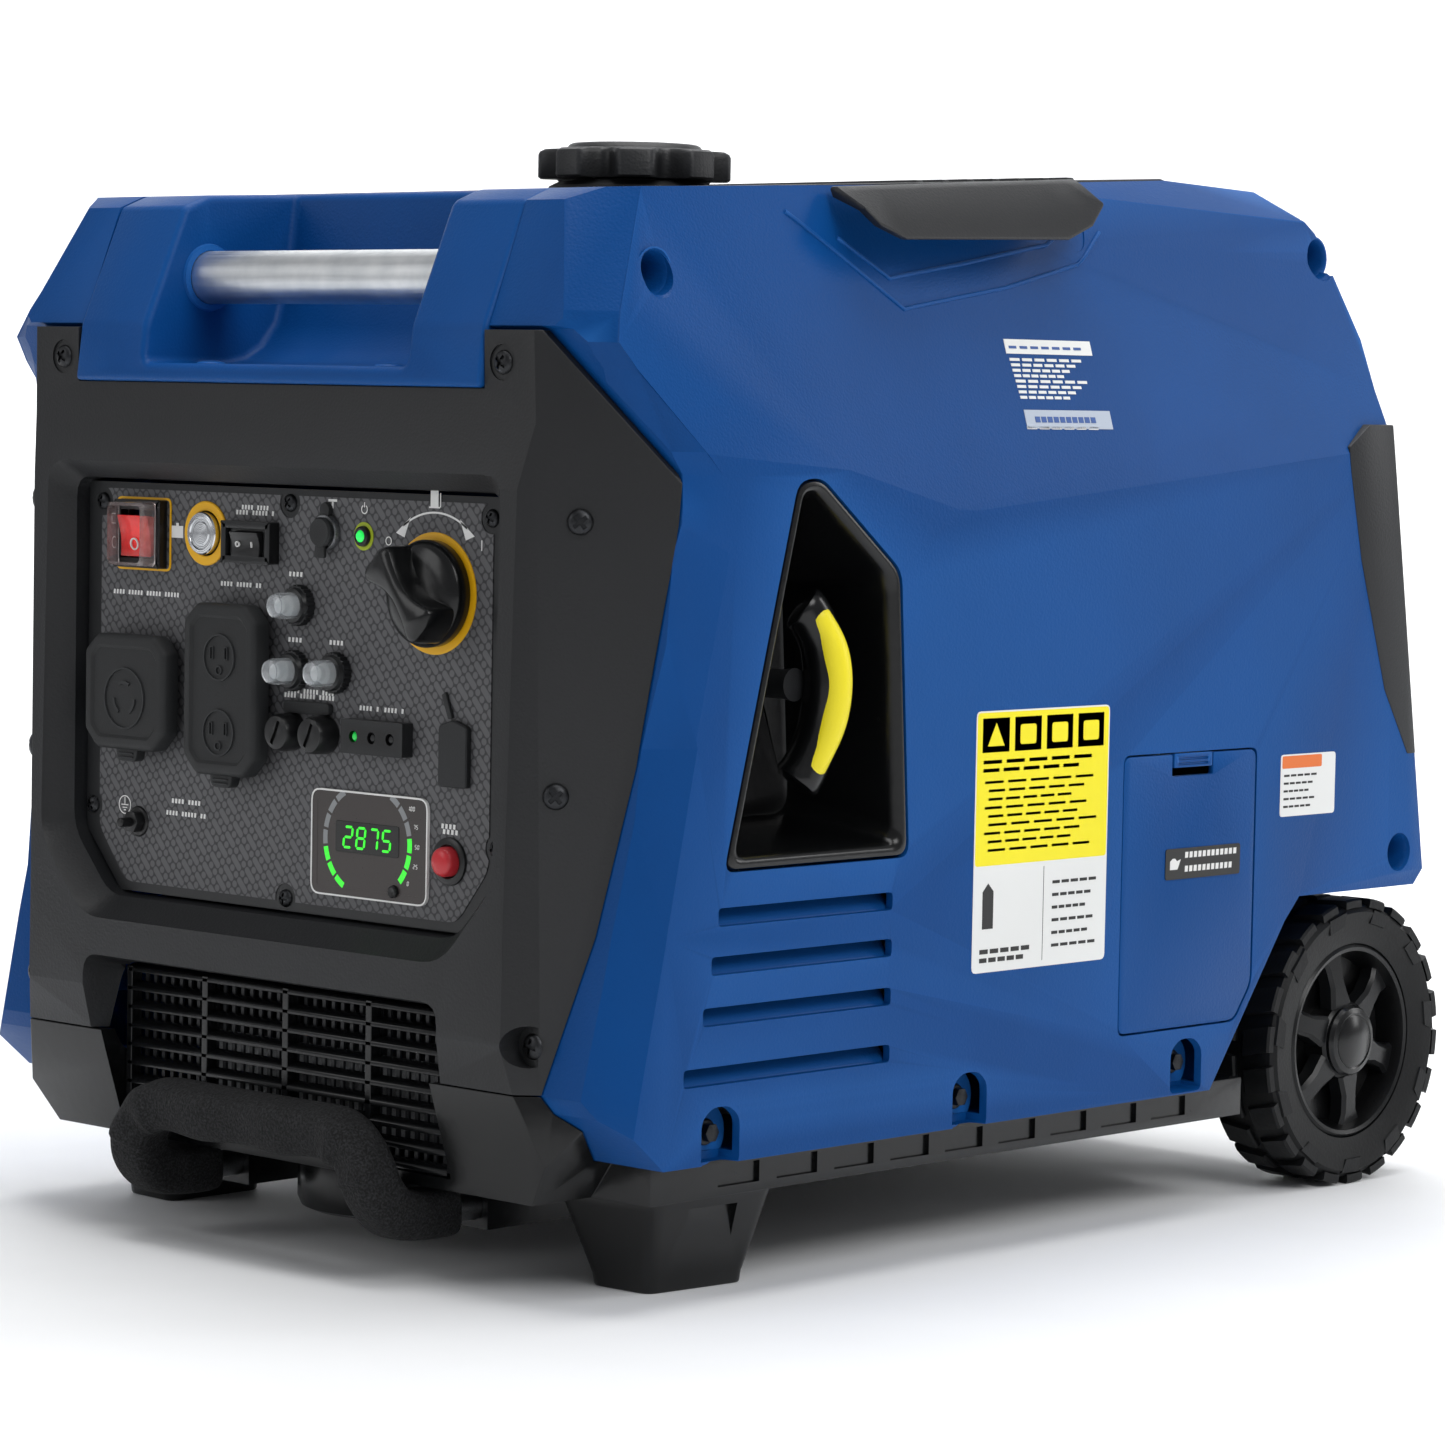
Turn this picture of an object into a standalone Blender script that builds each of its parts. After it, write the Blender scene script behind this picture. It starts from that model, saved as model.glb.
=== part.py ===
"""Inverter generator on two wheels, modelled as an assembly of separate named pieces.

Metres, +Z up. The control panel faces -Y and the recoil starter faces +X.
Stations along the length are counted from the front feet, and one root empty
shifts them so that the origin is the middle of the footprint, on the ground.
"""
import math

import bmesh
import bpy
from mathutils import Matrix, Vector

# Driving dimensions ---------------------------------------------------------
GAP = 0.0003              # clearance between neighbouring pieces
MID_STATION = 0.22222     # middle of the overall length
SIDE_X = 0.2265           # half width over the blue side panels
SEAM_X = 0.1427           # joint between the side panels and the centre covers
WALL = 0.004              # moulded wall thickness
BASE_Z = 0.0455           # underside of the base pan
BLUE_Z = 0.0655           # lower edge of the side panels
PLATE_Y = -0.084          # front face of the control plate
PLATE_T = 0.003
CRANK_Z = 0.215           # height of the crankshaft
WHEEL_R = 0.0765
WHEEL_Y = 0.4870          # station of the axle
AXLE_R = 0.008
TOW_X = 0.085             # tow handle tubes, either side of the middle
TOW_Z = 0.0305
TOW_R = 0.0065
BAR_Y, BAR_Z, BAR_R = -0.0560, 0.4660, 0.0128
CAP_Y, CAP_R = 0.144, 0.049
DECK_FRONT, DECK_RISE = 0.5105, 0.055
DIAL_XZ = (0.100, 0.3204)

# Front seam between the black frame and the blue panels, seen from the side (y, z).
SEAM = [(-0.0890, 0.4415), (-0.0490, 0.3780), (-0.0505, 0.3550),
        (-0.0610, 0.2550), (-0.0740, 0.1700), (-0.0900, 0.0980)]
# Outline of a blue side panel behind that seam, from the bottom front corner round the back.
SIDE_REST = [(-0.0860, 0.0900), (-0.0570, BLUE_Z), (0.3420, BLUE_Z), (0.4020, 0.1480),
             (0.4140, 0.1600), (0.5150, 0.1600), (0.5230, 0.1680), (0.4780, 0.4480),
             (0.4550, 0.5030), (0.4300, 0.5240), (0.3600, 0.5270), (0.2000, 0.5180),
             (-0.0560, 0.5060), (-0.0710, 0.5000), (-0.0930, 0.4430)]

REAR_TILT = math.atan2(0.0450, 0.2800)
EXHAUST_AT = (0.0, 0.5047, 0.3130)
DRAIN_XY = (0.135, 0.366)
OIL_CAP_YZ = (0.2850, 0.1500)
PULL_YZ = (0.0480, 0.2800)   # where the starter rope leaves the funnel

# Openings in the right side panel (y, z), and the rows of air slots (z, front end).
RECESS = [(0.024, 0.375), (0.040, 0.377), (0.097, 0.333), (0.106, 0.198), (-0.021, 0.198)]
VENT_ROWS = [(0.1780, -0.0240), (0.1560, -0.0280), (0.1330, -0.0330), (0.1060, -0.0450)]
VENT_REAR, VENT_H = 0.0950, 0.0085
DOOR = [(0.2660, 0.0990), (0.3610, 0.0990), (0.3750, 0.1180), (0.3750, 0.2390), (0.2660, 0.2390)]
# Plan of what is cut off each front corner (x, y).
CHEEK = [(0.160, -0.140), (0.260, -0.140), (0.260, -0.0400), (0.2262, -0.0480), (0.168, -0.1035)]

# Controls on the plate (x, z); bodies also have a width and a height.
MAIN_ROCKER = (-0.1063, 0.3409)
ECO_ROCKER = (-0.0249, 0.3395)
START = (-0.0600, 0.3426)
RESET = (0.1130, 0.1980)
DISPLAY_BUTTON = (0.0770, 0.1810)
BREAKERS = {"breaker_upper": (0.0090, 0.3110), "breaker_lower_left": (0.0060, 0.2800),
            "breaker_lower_right": (0.0350, 0.2805)}
PARALLEL = {"parallel_cap_left": (0.0047, 0.2510), "parallel_cap_right": (0.0280, 0.2510)}
DC_SOCKET = (0.0270, 0.3460)
ROUND_OUTLET = (-0.1045, 0.2590)
DUPLEX_BODY = (-0.0345, 0.2660, 0.0340, 0.0660)
DISPLAY_BODY = (0.0593, 0.2008, 0.0740, 0.0480)
USB = (0.1165, 0.2473)
ROUND_HOLES = [(*START, 0.0108), (*RESET, 0.0074), (*DIAL_XZ, 0.0055), (*ROUND_OUTLET, 0.0223)]
ROUND_HOLES += [(*place, 0.0054) for place in BREAKERS.values()]
ROUND_HOLES += [(*place, 0.0064) for place in PARALLEL.values()]

FINISHES = {              # colour (linear), roughness, metallic
    "blue_plastic": ((0.012, 0.075, 0.285, 1), 0.45, 0.0),
    "black_plastic": ((0.018, 0.019, 0.021, 1), 0.55, 0.0),
    "panel_print": ((0.065, 0.065, 0.067, 1), 0.50, 0.0),
    "rubber": ((0.010, 0.010, 0.011, 1), 0.80, 0.0),
    "foam": ((0.014, 0.014, 0.015, 1), 0.95, 0.0),
    "aluminium": ((0.700, 0.710, 0.720, 1), 0.35, 1.0),
    "steel": ((0.420, 0.430, 0.440, 1), 0.40, 1.0),
    "cast_metal": ((0.300, 0.300, 0.300, 1), 0.60, 1.0),
    "red_plastic": ((0.500, 0.010, 0.012, 1), 0.35, 0.0),
    "chrome": ((0.800, 0.800, 0.800, 1), 0.15, 1.0),
    "yellow_plastic": ((0.800, 0.620, 0.020, 1), 0.45, 0.0),
    "copper": ((0.600, 0.250, 0.100, 1), 0.45, 1.0),
    "clear_cap": ((0.550, 0.570, 0.580, 1), 0.20, 0.0),
}


# Shape helpers --------------------------------------------------------------
def loops_to_mesh(loops, closed_ends=True, ring=False):
    """Skin a list of equal point loops into one closed mesh."""
    bm = bmesh.new()
    rows = [[bm.verts.new(p) for p in loop] for loop in loops]
    pairs = list(zip(rows, rows[1:]))
    if ring:
        pairs.append((rows[-1], rows[0]))
    count = len(rows[0])
    for low, high in pairs:
        for i in range(count):
            j = (i + 1) % count
            bm.faces.new((low[i], low[j], high[j], high[i]))
    if closed_ends and not ring:
        bm.faces.new(list(reversed(rows[0])))
        bm.faces.new(rows[-1])
    bmesh.ops.recalc_face_normals(bm, faces=bm.faces)
    return bm


def prism(outline, axis, low, high):
    """Extrude a flat outline along x, y or z; the outline holds the other two coordinates."""
    def place(point, depth):
        a, b = point
        return {"x": (depth, a, b), "y": (a, depth, b), "z": (a, b, depth)}[axis]
    return loops_to_mesh([[place(p, d) for p in outline] for d in (low, high)])


def block(low, high):
    return prism([(low[0], low[1]), (high[0], low[1]), (high[0], high[1]), (low[0], high[1])],
                 "z", low[2], high[2])


def hull(points):
    """Convex solid round a set of points."""
    bm = bmesh.new()
    for point in points:
        bm.verts.new(point)
    bmesh.ops.convex_hull(bm, input=bm.verts)
    loose = [v for v in bm.verts if not v.link_faces]
    bmesh.ops.delete(bm, geom=loose, context="VERTS")
    bmesh.ops.recalc_face_normals(bm, faces=bm.faces)
    return bm


def turned(profile, steps=24, axis="z"):
    """Turn a closed (radius, height) profile round an axis; radius 0 closes on the axis."""
    bm = bmesh.new()
    verts = [bm.verts.new((r, 0, h)) for r, h in profile]
    for i, vert in enumerate(verts):
        following = verts[(i + 1) % len(verts)]
        if profile[i][0] > 0 or profile[(i + 1) % len(verts)][0] > 0:
            bm.edges.new((vert, following))
    bmesh.ops.spin(bm, geom=bm.verts[:] + bm.edges[:], cent=(0, 0, 0), axis=(0, 0, 1),
                   angle=math.tau, steps=steps, use_merge=True)
    bmesh.ops.remove_doubles(bm, verts=bm.verts, dist=0.000001)
    bmesh.ops.recalc_face_normals(bm, faces=bm.faces)
    if axis != "z":
        turn = {"x": Matrix.Rotation(math.pi / 2, 3, "Y"),
                "y": Matrix.Rotation(math.pi / 2, 3, "X")}[axis]
        bmesh.ops.rotate(bm, verts=bm.verts, cent=(0, 0, 0), matrix=turn)
    return bm


def rod(radius, low, high, steps=20, axis="z", bevel=0.0):
    """Solid round bar along an axis from low to high; along y the sign is kept true."""
    if axis == "y":
        low, high = -high, -low
    if bevel:
        profile = [(0, low), (radius - bevel, low), (radius, low + bevel),
                   (radius, high - bevel), (radius - bevel, high), (0, high)]
    else:
        profile = [(0, low), (radius, low), (radius, high), (0, high)]
    return turned(profile, steps, axis)


def swept(path, radius, bore=0.0, sides=12):
    """Tube along a path of points; with a bore it is an open pipe of one closed wall."""
    points = [Vector(p) for p in path]
    outer, inner = [], []
    side = None
    for i, point in enumerate(points):
        ahead = points[min(i + 1, len(points) - 1)] - points[max(i - 1, 0)]
        ahead.normalize()
        reference = side if side else Vector((0, 0, 1)).cross(ahead)
        side = (reference - ahead * reference.dot(ahead)).normalized()
        up = ahead.cross(side)
        spokes = [side * math.cos(math.tau * k / sides) + up * math.sin(math.tau * k / sides)
                  for k in range(sides)]
        outer.append([point + s * radius for s in spokes])
        inner.append([point + s * bore for s in spokes])
    if not bore:
        return loops_to_mesh(outer)
    return loops_to_mesh(outer + list(reversed(inner)), ring=True)


def lattice(xs, zs, is_open, low, high):
    """Plate in the xz plane whose open cells, between the grid lines, are holes."""
    bm = bmesh.new()
    corner = {}

    def vert(i, k, y):
        if (i, k, y) not in corner:
            corner[i, k, y] = bm.verts.new((xs[i], y, zs[k]))
        return corner[i, k, y]

    def solid(i, k):
        inside = 0 <= i < len(xs) - 1 and 0 <= k < len(zs) - 1
        return inside and not is_open(i, k)

    for i in range(len(xs) - 1):
        for k in range(len(zs) - 1):
            if not solid(i, k):
                continue
            square = [(i, k), (i + 1, k), (i + 1, k + 1), (i, k + 1)]
            bm.faces.new([vert(a, b, low) for a, b in square])
            bm.faces.new([vert(a, b, high) for a, b in reversed(square)])
            neighbours = [(i, k - 1), (i + 1, k), (i, k + 1), (i - 1, k)]
            for (a, b), (c, d), (e, f) in zip(square, square[1:] + square[:1], neighbours):
                if not solid(e, f):
                    bm.faces.new([vert(a, b, low), vert(a, b, high), vert(c, d, high), vert(c, d, low)])
    bmesh.ops.recalc_face_normals(bm, faces=bm.faces)
    return bm


def sliced(bm, point, normal):
    """Cut a convex solid by a plane and keep the side that the normal points away from."""
    bmesh.ops.bisect_plane(bm, geom=bm.verts[:] + bm.edges[:] + bm.faces[:], plane_co=point,
                           plane_no=normal, clear_outer=True)
    bmesh.ops.holes_fill(bm, edges=[e for e in bm.edges if e.is_boundary])
    bmesh.ops.recalc_face_normals(bm, faces=bm.faces)
    return bm


def joined(*shapes):
    """Put several closed shapes into one mesh."""
    bm = bmesh.new()
    for shape in shapes:
        mesh = bpy.data.meshes.new("scratch")
        shape.to_mesh(mesh)
        shape.free()
        bm.from_mesh(mesh)
        bpy.data.meshes.remove(mesh)
    return bm


def moved(bm, offset):
    bmesh.ops.translate(bm, verts=bm.verts, vec=offset)
    return bm


def mirrored(bm):
    bmesh.ops.scale(bm, verts=bm.verts, vec=(-1, 1, 1))
    bmesh.ops.reverse_faces(bm, faces=bm.faces)
    return bm


# Scene helpers --------------------------------------------------------------
def root_empty():
    root = bpy.data.objects.new("generator_root", None)
    root.location = (0, -MID_STATION, 0)
    bpy.context.collection.objects.link(root)
    return root


def finish_material(name, finish):
    colour, roughness, metallic = FINISHES[finish]
    mat = bpy.data.materials.new(f"{name}_{finish}")
    mat.use_nodes = True
    shader = mat.node_tree.nodes["Principled BSDF"]
    shader.inputs["Base Color"].default_value = colour
    shader.inputs["Roughness"].default_value = roughness
    shader.inputs["Metallic"].default_value = metallic
    return mat


def piece(name, bm, finish, at=(0, 0, 0), turn=(0, 0, 0), smooth=False):
    """Make one named sub-part; its origin is at 'at', on its joint's axis if it moves."""
    mesh = bpy.data.meshes.new(name)
    bm.to_mesh(mesh)
    bm.free()
    if smooth:
        mesh.shade_smooth()
        mesh.set_sharp_from_angle(angle=math.radians(35))
    obj = bpy.data.objects.new(name, mesh)
    bpy.context.collection.objects.link(obj)
    obj.location = at
    obj.rotation_euler = turn
    obj.parent = ROOT
    mesh.materials.append(finish_material(name, finish))
    return obj


def boolean(obj, bm, operation="DIFFERENCE", at=(0, 0, 0), turn=(0, 0, 0)):
    """Cut, join or intersect a sub-part with a hidden helper shape."""
    mesh = bpy.data.meshes.new(f"{obj.name}_helper")
    bm.to_mesh(mesh)
    bm.free()
    helper = bpy.data.objects.new(f"{obj.name}_helper", mesh)
    bpy.context.collection.objects.link(helper)
    helper.location = at
    helper.rotation_euler = turn
    helper.parent = ROOT
    helper.hide_render = True
    helper.display_type = "WIRE"
    modifier = obj.modifiers.new(operation.title(), "BOOLEAN")
    modifier.operation = operation
    modifier.solver = "EXACT"
    modifier.object = helper


def shrunk(outline, amount):
    """Move an outline's points inwards by an amount, along the mean of their side normals."""
    count = len(outline)
    area = sum(outline[i][0] * outline[(i + 1) % count][1] - outline[(i + 1) % count][0] * outline[i][1]
               for i in range(count))
    sense = 1 if area > 0 else -1
    result = []
    for i, point in enumerate(outline):
        here = Vector(point)
        before = (here - Vector(outline[i - 1])).normalized()
        after = (Vector(outline[(i + 1) % count]) - here).normalized()
        normal_a = Vector((-before.y, before.x)) * sense
        normal_b = Vector((-after.y, after.x)) * sense
        middle = (normal_a + normal_b).normalized()
        result.append(tuple(here + middle * amount / max(middle.dot(normal_a), 0.5)))
    return result


def deck_height(y):
    return DECK_FRONT + DECK_RISE * (y - 0.03)


# Housing --------------------------------------------------------------------

def side_panel(name, side):
    """Blue shell of one side; the right one has the starter recess and the oil door."""
    outline = SEAM + SIDE_REST
    lean = Vector((0.120, 0, 0.0365))

    def shell(points, inner_x, outer_x, inset):
        bm = prism(points, "x", inner_x, outer_x)
        lean_point = Vector((SIDE_X, 0, 0.385)) - lean.normalized() * inset
        shoulder_point = Vector((0.178, 0, 0.5200)) - Vector((0.6, 0, 0.8)) * inset
        sliced(bm, lean_point, lean)
        sliced(bm, shoulder_point, (0.6, 0, 0.8))
        return bm

    outer = shell(outline, SEAM_X + GAP, SIDE_X, 0.0)
    inner = shell(shrunk(outline, WALL), 0.100, SIDE_X - WALL, WALL)
    panel = piece(name, outer if side > 0 else mirrored(outer), "blue_plastic")
    boolean(panel, inner if side > 0 else mirrored(inner))
    cuts = []
    for z, front in VENT_ROWS:
        cuts.append(block((0.190, front, z - VENT_H / 2), (0.240, VENT_REAR, z + VENT_H / 2)))
    if side > 0:
        cuts.append(prism(RECESS, "x", 0.190, 0.240))
        cuts.append(prism(DOOR, "x", 0.190, 0.240))
    for cut in cuts:
        boolean(panel, cut if side > 0 else mirrored(cut))


def front_frame():
    """Black bezel: wide cheeks, the control opening and the top of the air intake."""
    front_view = [(0.178, 0.4410), (0.2235, 0.3740), (0.2230, 0.3550), (0.2110, 0.2550),
                  (0.2070, 0.1700), (0.2060, 0.0982)]
    front_view += [(-x, z) for x, z in reversed(front_view)]
    frame = piece("front_frame", prism(front_view, "y", -0.120, -0.020), "black_plastic")
    side_view = [(y - 2 * GAP, z) for y, z in SEAM[:-1]] + [(SEAM[-1][0] - 2 * GAP, 0.0982)]
    side_view += [(-0.0995, 0.0982), (-0.1040, 0.1200), (-0.0975, 0.4415)]
    boolean(frame, prism(side_view, "x", -0.300, 0.300), "INTERSECT")
    for side in (1, -1):
        boolean(frame, prism([(side * x, y) for x, y in CHEEK], "z", 0.0, 0.470))
    opening = [(-0.1490, 0.3660), (-0.1490, 0.1950), (-0.1220, 0.1652),
               (0.1220, 0.1652), (0.1490, 0.1950), (0.1490, 0.3660)]
    boolean(frame, prism(opening, "y", -0.200, 0.100))
    hollow = [(-0.1640, 0.4080), (-0.1820, 0.3700), (-0.1780, 0.1500), (0.1780, 0.1500),
              (0.1820, 0.3700), (0.1640, 0.4080)]
    boolean(frame, prism(hollow, "y", PLATE_Y + PLATE_T + 0.001, 0.0))
    boolean(frame, block((-0.1175, -0.200, 0.090), (0.1175, 0.100, 0.1290)))
    boolean(frame, block((-SEAM_X - GAP, -0.200, 0.4147), (SEAM_X + GAP, 0.100, 0.500)))


def control_plate():
    """Flat printed panel with a cut-out for every switch, socket and button."""
    outline = [(-0.1487, 0.3657), (-0.1487, 0.1951), (-0.1219, 0.1655),
               (0.1219, 0.1655), (0.1487, 0.1951), (0.1487, 0.3657)]
    plate = piece("control_plate", prism(outline, "y", PLATE_Y, PLATE_Y + PLATE_T), "panel_print")
    for x, z, width, height in ((*MAIN_ROCKER, 0.0240, 0.0300), (*ECO_ROCKER, 0.0220, 0.0160)):
        boolean(plate, block((x - width / 2, -0.1, z - height / 2), (x + width / 2, 0.0, z + height / 2)))
    for x, z, radius in ROUND_HOLES:
        boolean(plate, moved(rod(radius, -0.1, -0.05, 20, "y"), (x, 0, z)))
    for x, z, width, height in (DUPLEX_BODY, DISPLAY_BODY):
        boolean(plate, block((x - width / 2 - GAP, -0.1, z - height / 2 - GAP),
                             (x + width / 2 + GAP, 0.0, z + height / 2 + GAP)))


def intake_grille():
    """Four columns of air slots low on the front, across the frame and the base."""
    edge, bar, rib = 0.1170, 0.0035, 0.0030
    zs = [0.0520]
    rows = 8
    pitch = (0.1285 - 0.0520 - rib) / rows
    for row in range(rows):
        zs += [0.0520 + row * pitch + rib, 0.0520 + (row + 1) * pitch]
    zs.append(0.1285)
    xs = [-edge]
    width = (2 * edge - bar) / 4
    for column in range(4):
        xs += [-edge + column * width + bar, -edge + (column + 1) * width]
    xs.append(edge)
    bm = lattice(xs, zs, lambda i, k: i % 2 == 1 and k % 2 == 1, -0.0830, -0.0770)
    piece("intake_grille", bm, "black_plastic")


def base_pan():
    """Black tray under everything, with guides for the tow handle and the axle housing."""
    side_view = [(-0.0995, 0.0976), (-0.0940, 0.0800), (-0.0830, BASE_Z), (0.5150, BASE_Z),
                 (0.5150, 0.1590), (0.4180, 0.1590), (0.3960, BLUE_Z - GAP), (-0.0576, BLUE_Z - GAP),
                 (-0.0866, 0.0900), (-0.0908, 0.0976)]
    pan = piece("base_pan", prism(side_view, "x", -0.2060, 0.2060), "black_plastic")
    for side in (1, -1):
        chin = [(side * x, z)
                for x, z in ((0.300, 0.0976), (0.2062, 0.0976), (0.1650, 0.0400), (0.300, 0.0400))]
        boolean(pan, prism(chin, "y", -0.2, -0.045))
        boolean(pan, prism([(side * x, y) for x, y in CHEEK], "z", 0.0, 0.0980))
        near, far = sorted((side * 0.160, side * 0.3))
        boolean(pan, block((near, 0.395, 0.0), (far, 0.6, 0.2)))
    boolean(pan, block((-0.1950, -0.0740, BASE_Z + WALL), (0.1950, 0.3900, 0.2)))
    boolean(pan, block((-0.1550, 0.3800, BASE_Z + WALL), (0.1550, 0.5100, 0.2)))
    boolean(pan, block((-0.1174, -0.2, 0.0516), (0.1174, -0.05, 0.2)))
    guides = joined(*[block((x - 0.0105, -0.0400, 0.0200), (x + 0.0105, 0.2300, BASE_Z + 0.002))
                      for x in (-TOW_X, TOW_X)])
    boolean(pan, guides, "UNION")
    bores = joined(*[moved(rod(TOW_R + 0.0005, -0.100, 0.300, 16, "y"), (x, 0, TOW_Z))
                     for x in (-TOW_X, TOW_X)])
    boolean(pan, bores)
    boolean(pan, moved(rod(AXLE_R + GAP, -0.3, 0.3, 20, "x"), (0, WHEEL_Y, WHEEL_R)))
    boolean(pan, moved(rod(0.0055, 0.0, 0.08, 16), (*DRAIN_XY, 0)))
    boolean(pan, moved(rod(0.0480, 0.0160, BASE_Z + 0.002, 24, bevel=0.006), (0, -0.010, 0)), "UNION")


def feet():
    for side, label in ((-1, "left"), (1, "right")):
        top = [(0.140, -0.040), (0.198, -0.032), (0.203, 0.042), (0.140, 0.046)]
        bottom = [(0.150, -0.026), (0.186, -0.024), (0.192, 0.034), (0.150, 0.034)]
        points = [(side * x, y, BASE_Z - GAP) for x, y in top]
        points += [(side * x, y, 0.0) for x, y in bottom]
        piece(f"front_foot_{label}", hull(points), "rubber")


def front_top_cover():
    """Blue centre cover with the hand recess that the carry bar crosses."""
    outline = [(-0.0990, 0.4150), (-0.0955, 0.4430), (-0.0710, 0.5000), (-0.0560, 0.5060),
               (0.0285, 0.5100), (0.0285, 0.4150)]
    cover = piece("front_top_cover", prism(outline, "x", -SEAM_X, SEAM_X), "blue_plastic")
    boolean(cover, prism([(-0.2, 0.4240), (-0.0300, 0.4240), (-0.0120, 0.4400), (0.0040, 0.6), (-0.2, 0.6)],
                         "x", -0.0930, 0.0930))
    under = [(-0.0940, 0.4000), (-0.0940, 0.4195), (0.0245, 0.4195), (0.0245, 0.4000)]
    boolean(cover, prism(under, "x", -0.1387, 0.1387))
    behind = [(-0.0200, 0.4100), (-0.0080, 0.4360), (0.0020, 0.5020), (0.0245, 0.5050), (0.0245, 0.4100)]
    boolean(cover, prism(behind, "x", -0.0930, 0.0930))
    lobe = [(-0.0910, 0.4100), (-0.0910, 0.4430), (-0.0675, 0.4970), (-0.0560, 0.5015),
            (0.0245, 0.5050), (0.0245, 0.4100)]
    for low, high in ((0.0970, 0.1387), (-0.1387, -0.0970)):
        boolean(cover, prism(lobe, "x", low, high))
    boolean(cover, moved(rod(BAR_R + GAP, -0.12, 0.12, 24, "x"), (0, BAR_Y, BAR_Z)))


def carry_bar():
    bar = turned([(0.0100, -0.118), (BAR_R, -0.118), (BAR_R, 0.118), (0.0100, 0.118)], 28, "x")
    piece("carry_bar", bar, "aluminium", at=(0, BAR_Y, BAR_Z), smooth=True)


def top_deck():
    """Black centre strip of the top, from the carry bar cover to the rear cover."""
    line = [(0.0288, deck_height(0.03)), (0.3900, deck_height(0.38)), (0.4250, 0.5220),
            (0.4520, 0.5010), (0.4680, 0.4720)]
    lower = [(0.0288, line[0][1] - WALL), (0.3880, line[1][1] - WALL), (0.4220, 0.5180),
             (0.4480, 0.4980), (0.4640, 0.4700)]
    deck = piece("top_deck", prism(line + lower[::-1], "x", -SEAM_X, SEAM_X), "black_plastic")
    boolean(deck, moved(rod(0.0300, 0.4, 0.6, 28), (0, CAP_Y, 0)))


def side_grips():
    """Black grip that hooks over each shoulder beside the filler."""
    for side, label in ((-1, "left"), (1, "right")):
        rows = []
        for y, drop in ((0.083, 0.018), (0.106, 0.029), (0.228, 0.032), (0.258, 0.016)):
            z = 0.5060 + 0.0626 * (y + 0.056)
            face = [(0.1800, z - 0.0035), (0.1850, z - 0.0035), (0.1990 + drop * 0.30, z - drop),
                    (0.1990 + drop * 0.30 - 0.006, z - drop), (0.1820, z - 0.0080)]
            rows.append([(side * (x + 0.0083), y, h) for x, h in face])
        piece(f"side_grip_{label}", loops_to_mesh(rows), "black_plastic")


def rear_cover():
    """Black plate across the back, behind the blue panels' rear edges, with the exhaust opening."""
    outline = [(0.5160, 0.1596), (0.5240, 0.1678), (0.4790, 0.4480), (0.4705, 0.4685),
               (0.4790, 0.4765), (0.4880, 0.4500), (0.5335, 0.1700), (0.5260, 0.1596)]
    cover = piece("rear_cover", prism(outline, "x", -0.2050, 0.2050), "black_plastic")
    for side in (1, -1):
        corner = [(side * x, z) for x, z in ((0.300, 0.600), (0.300, 0.3600), (0.2050, 0.3600),
                                             (0.1750, 0.4780), (0.1750, 0.600))]
        boolean(cover, prism(corner, "y", 0.4, 0.6))
    window = block((-0.0903, -0.03, -0.0603), (0.0903, 0.03, 0.0603))
    boolean(cover, window, at=EXHAUST_AT, turn=(REAR_TILT, 0, 0))


def exhaust_grille():
    xs = [-0.0900, -0.0830, -0.0020, 0.0020, 0.0830, 0.0900]
    zs = [-0.0600]
    for row in range(7):
        zs += [-0.0550 + row * 0.0160, -0.0420 + row * 0.0160]
    zs = zs[:-1] + [0.0550, 0.0600]
    bm = lattice(xs, zs, lambda i, k: i in (1, 3) and k % 2 == 1, -0.0022, 0.0022)
    piece("exhaust_grille", bm, "steel", at=EXHAUST_AT, turn=(REAR_TILT, 0, 0))




# Engine, alternator and fuel ------------------------------------------------


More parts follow.
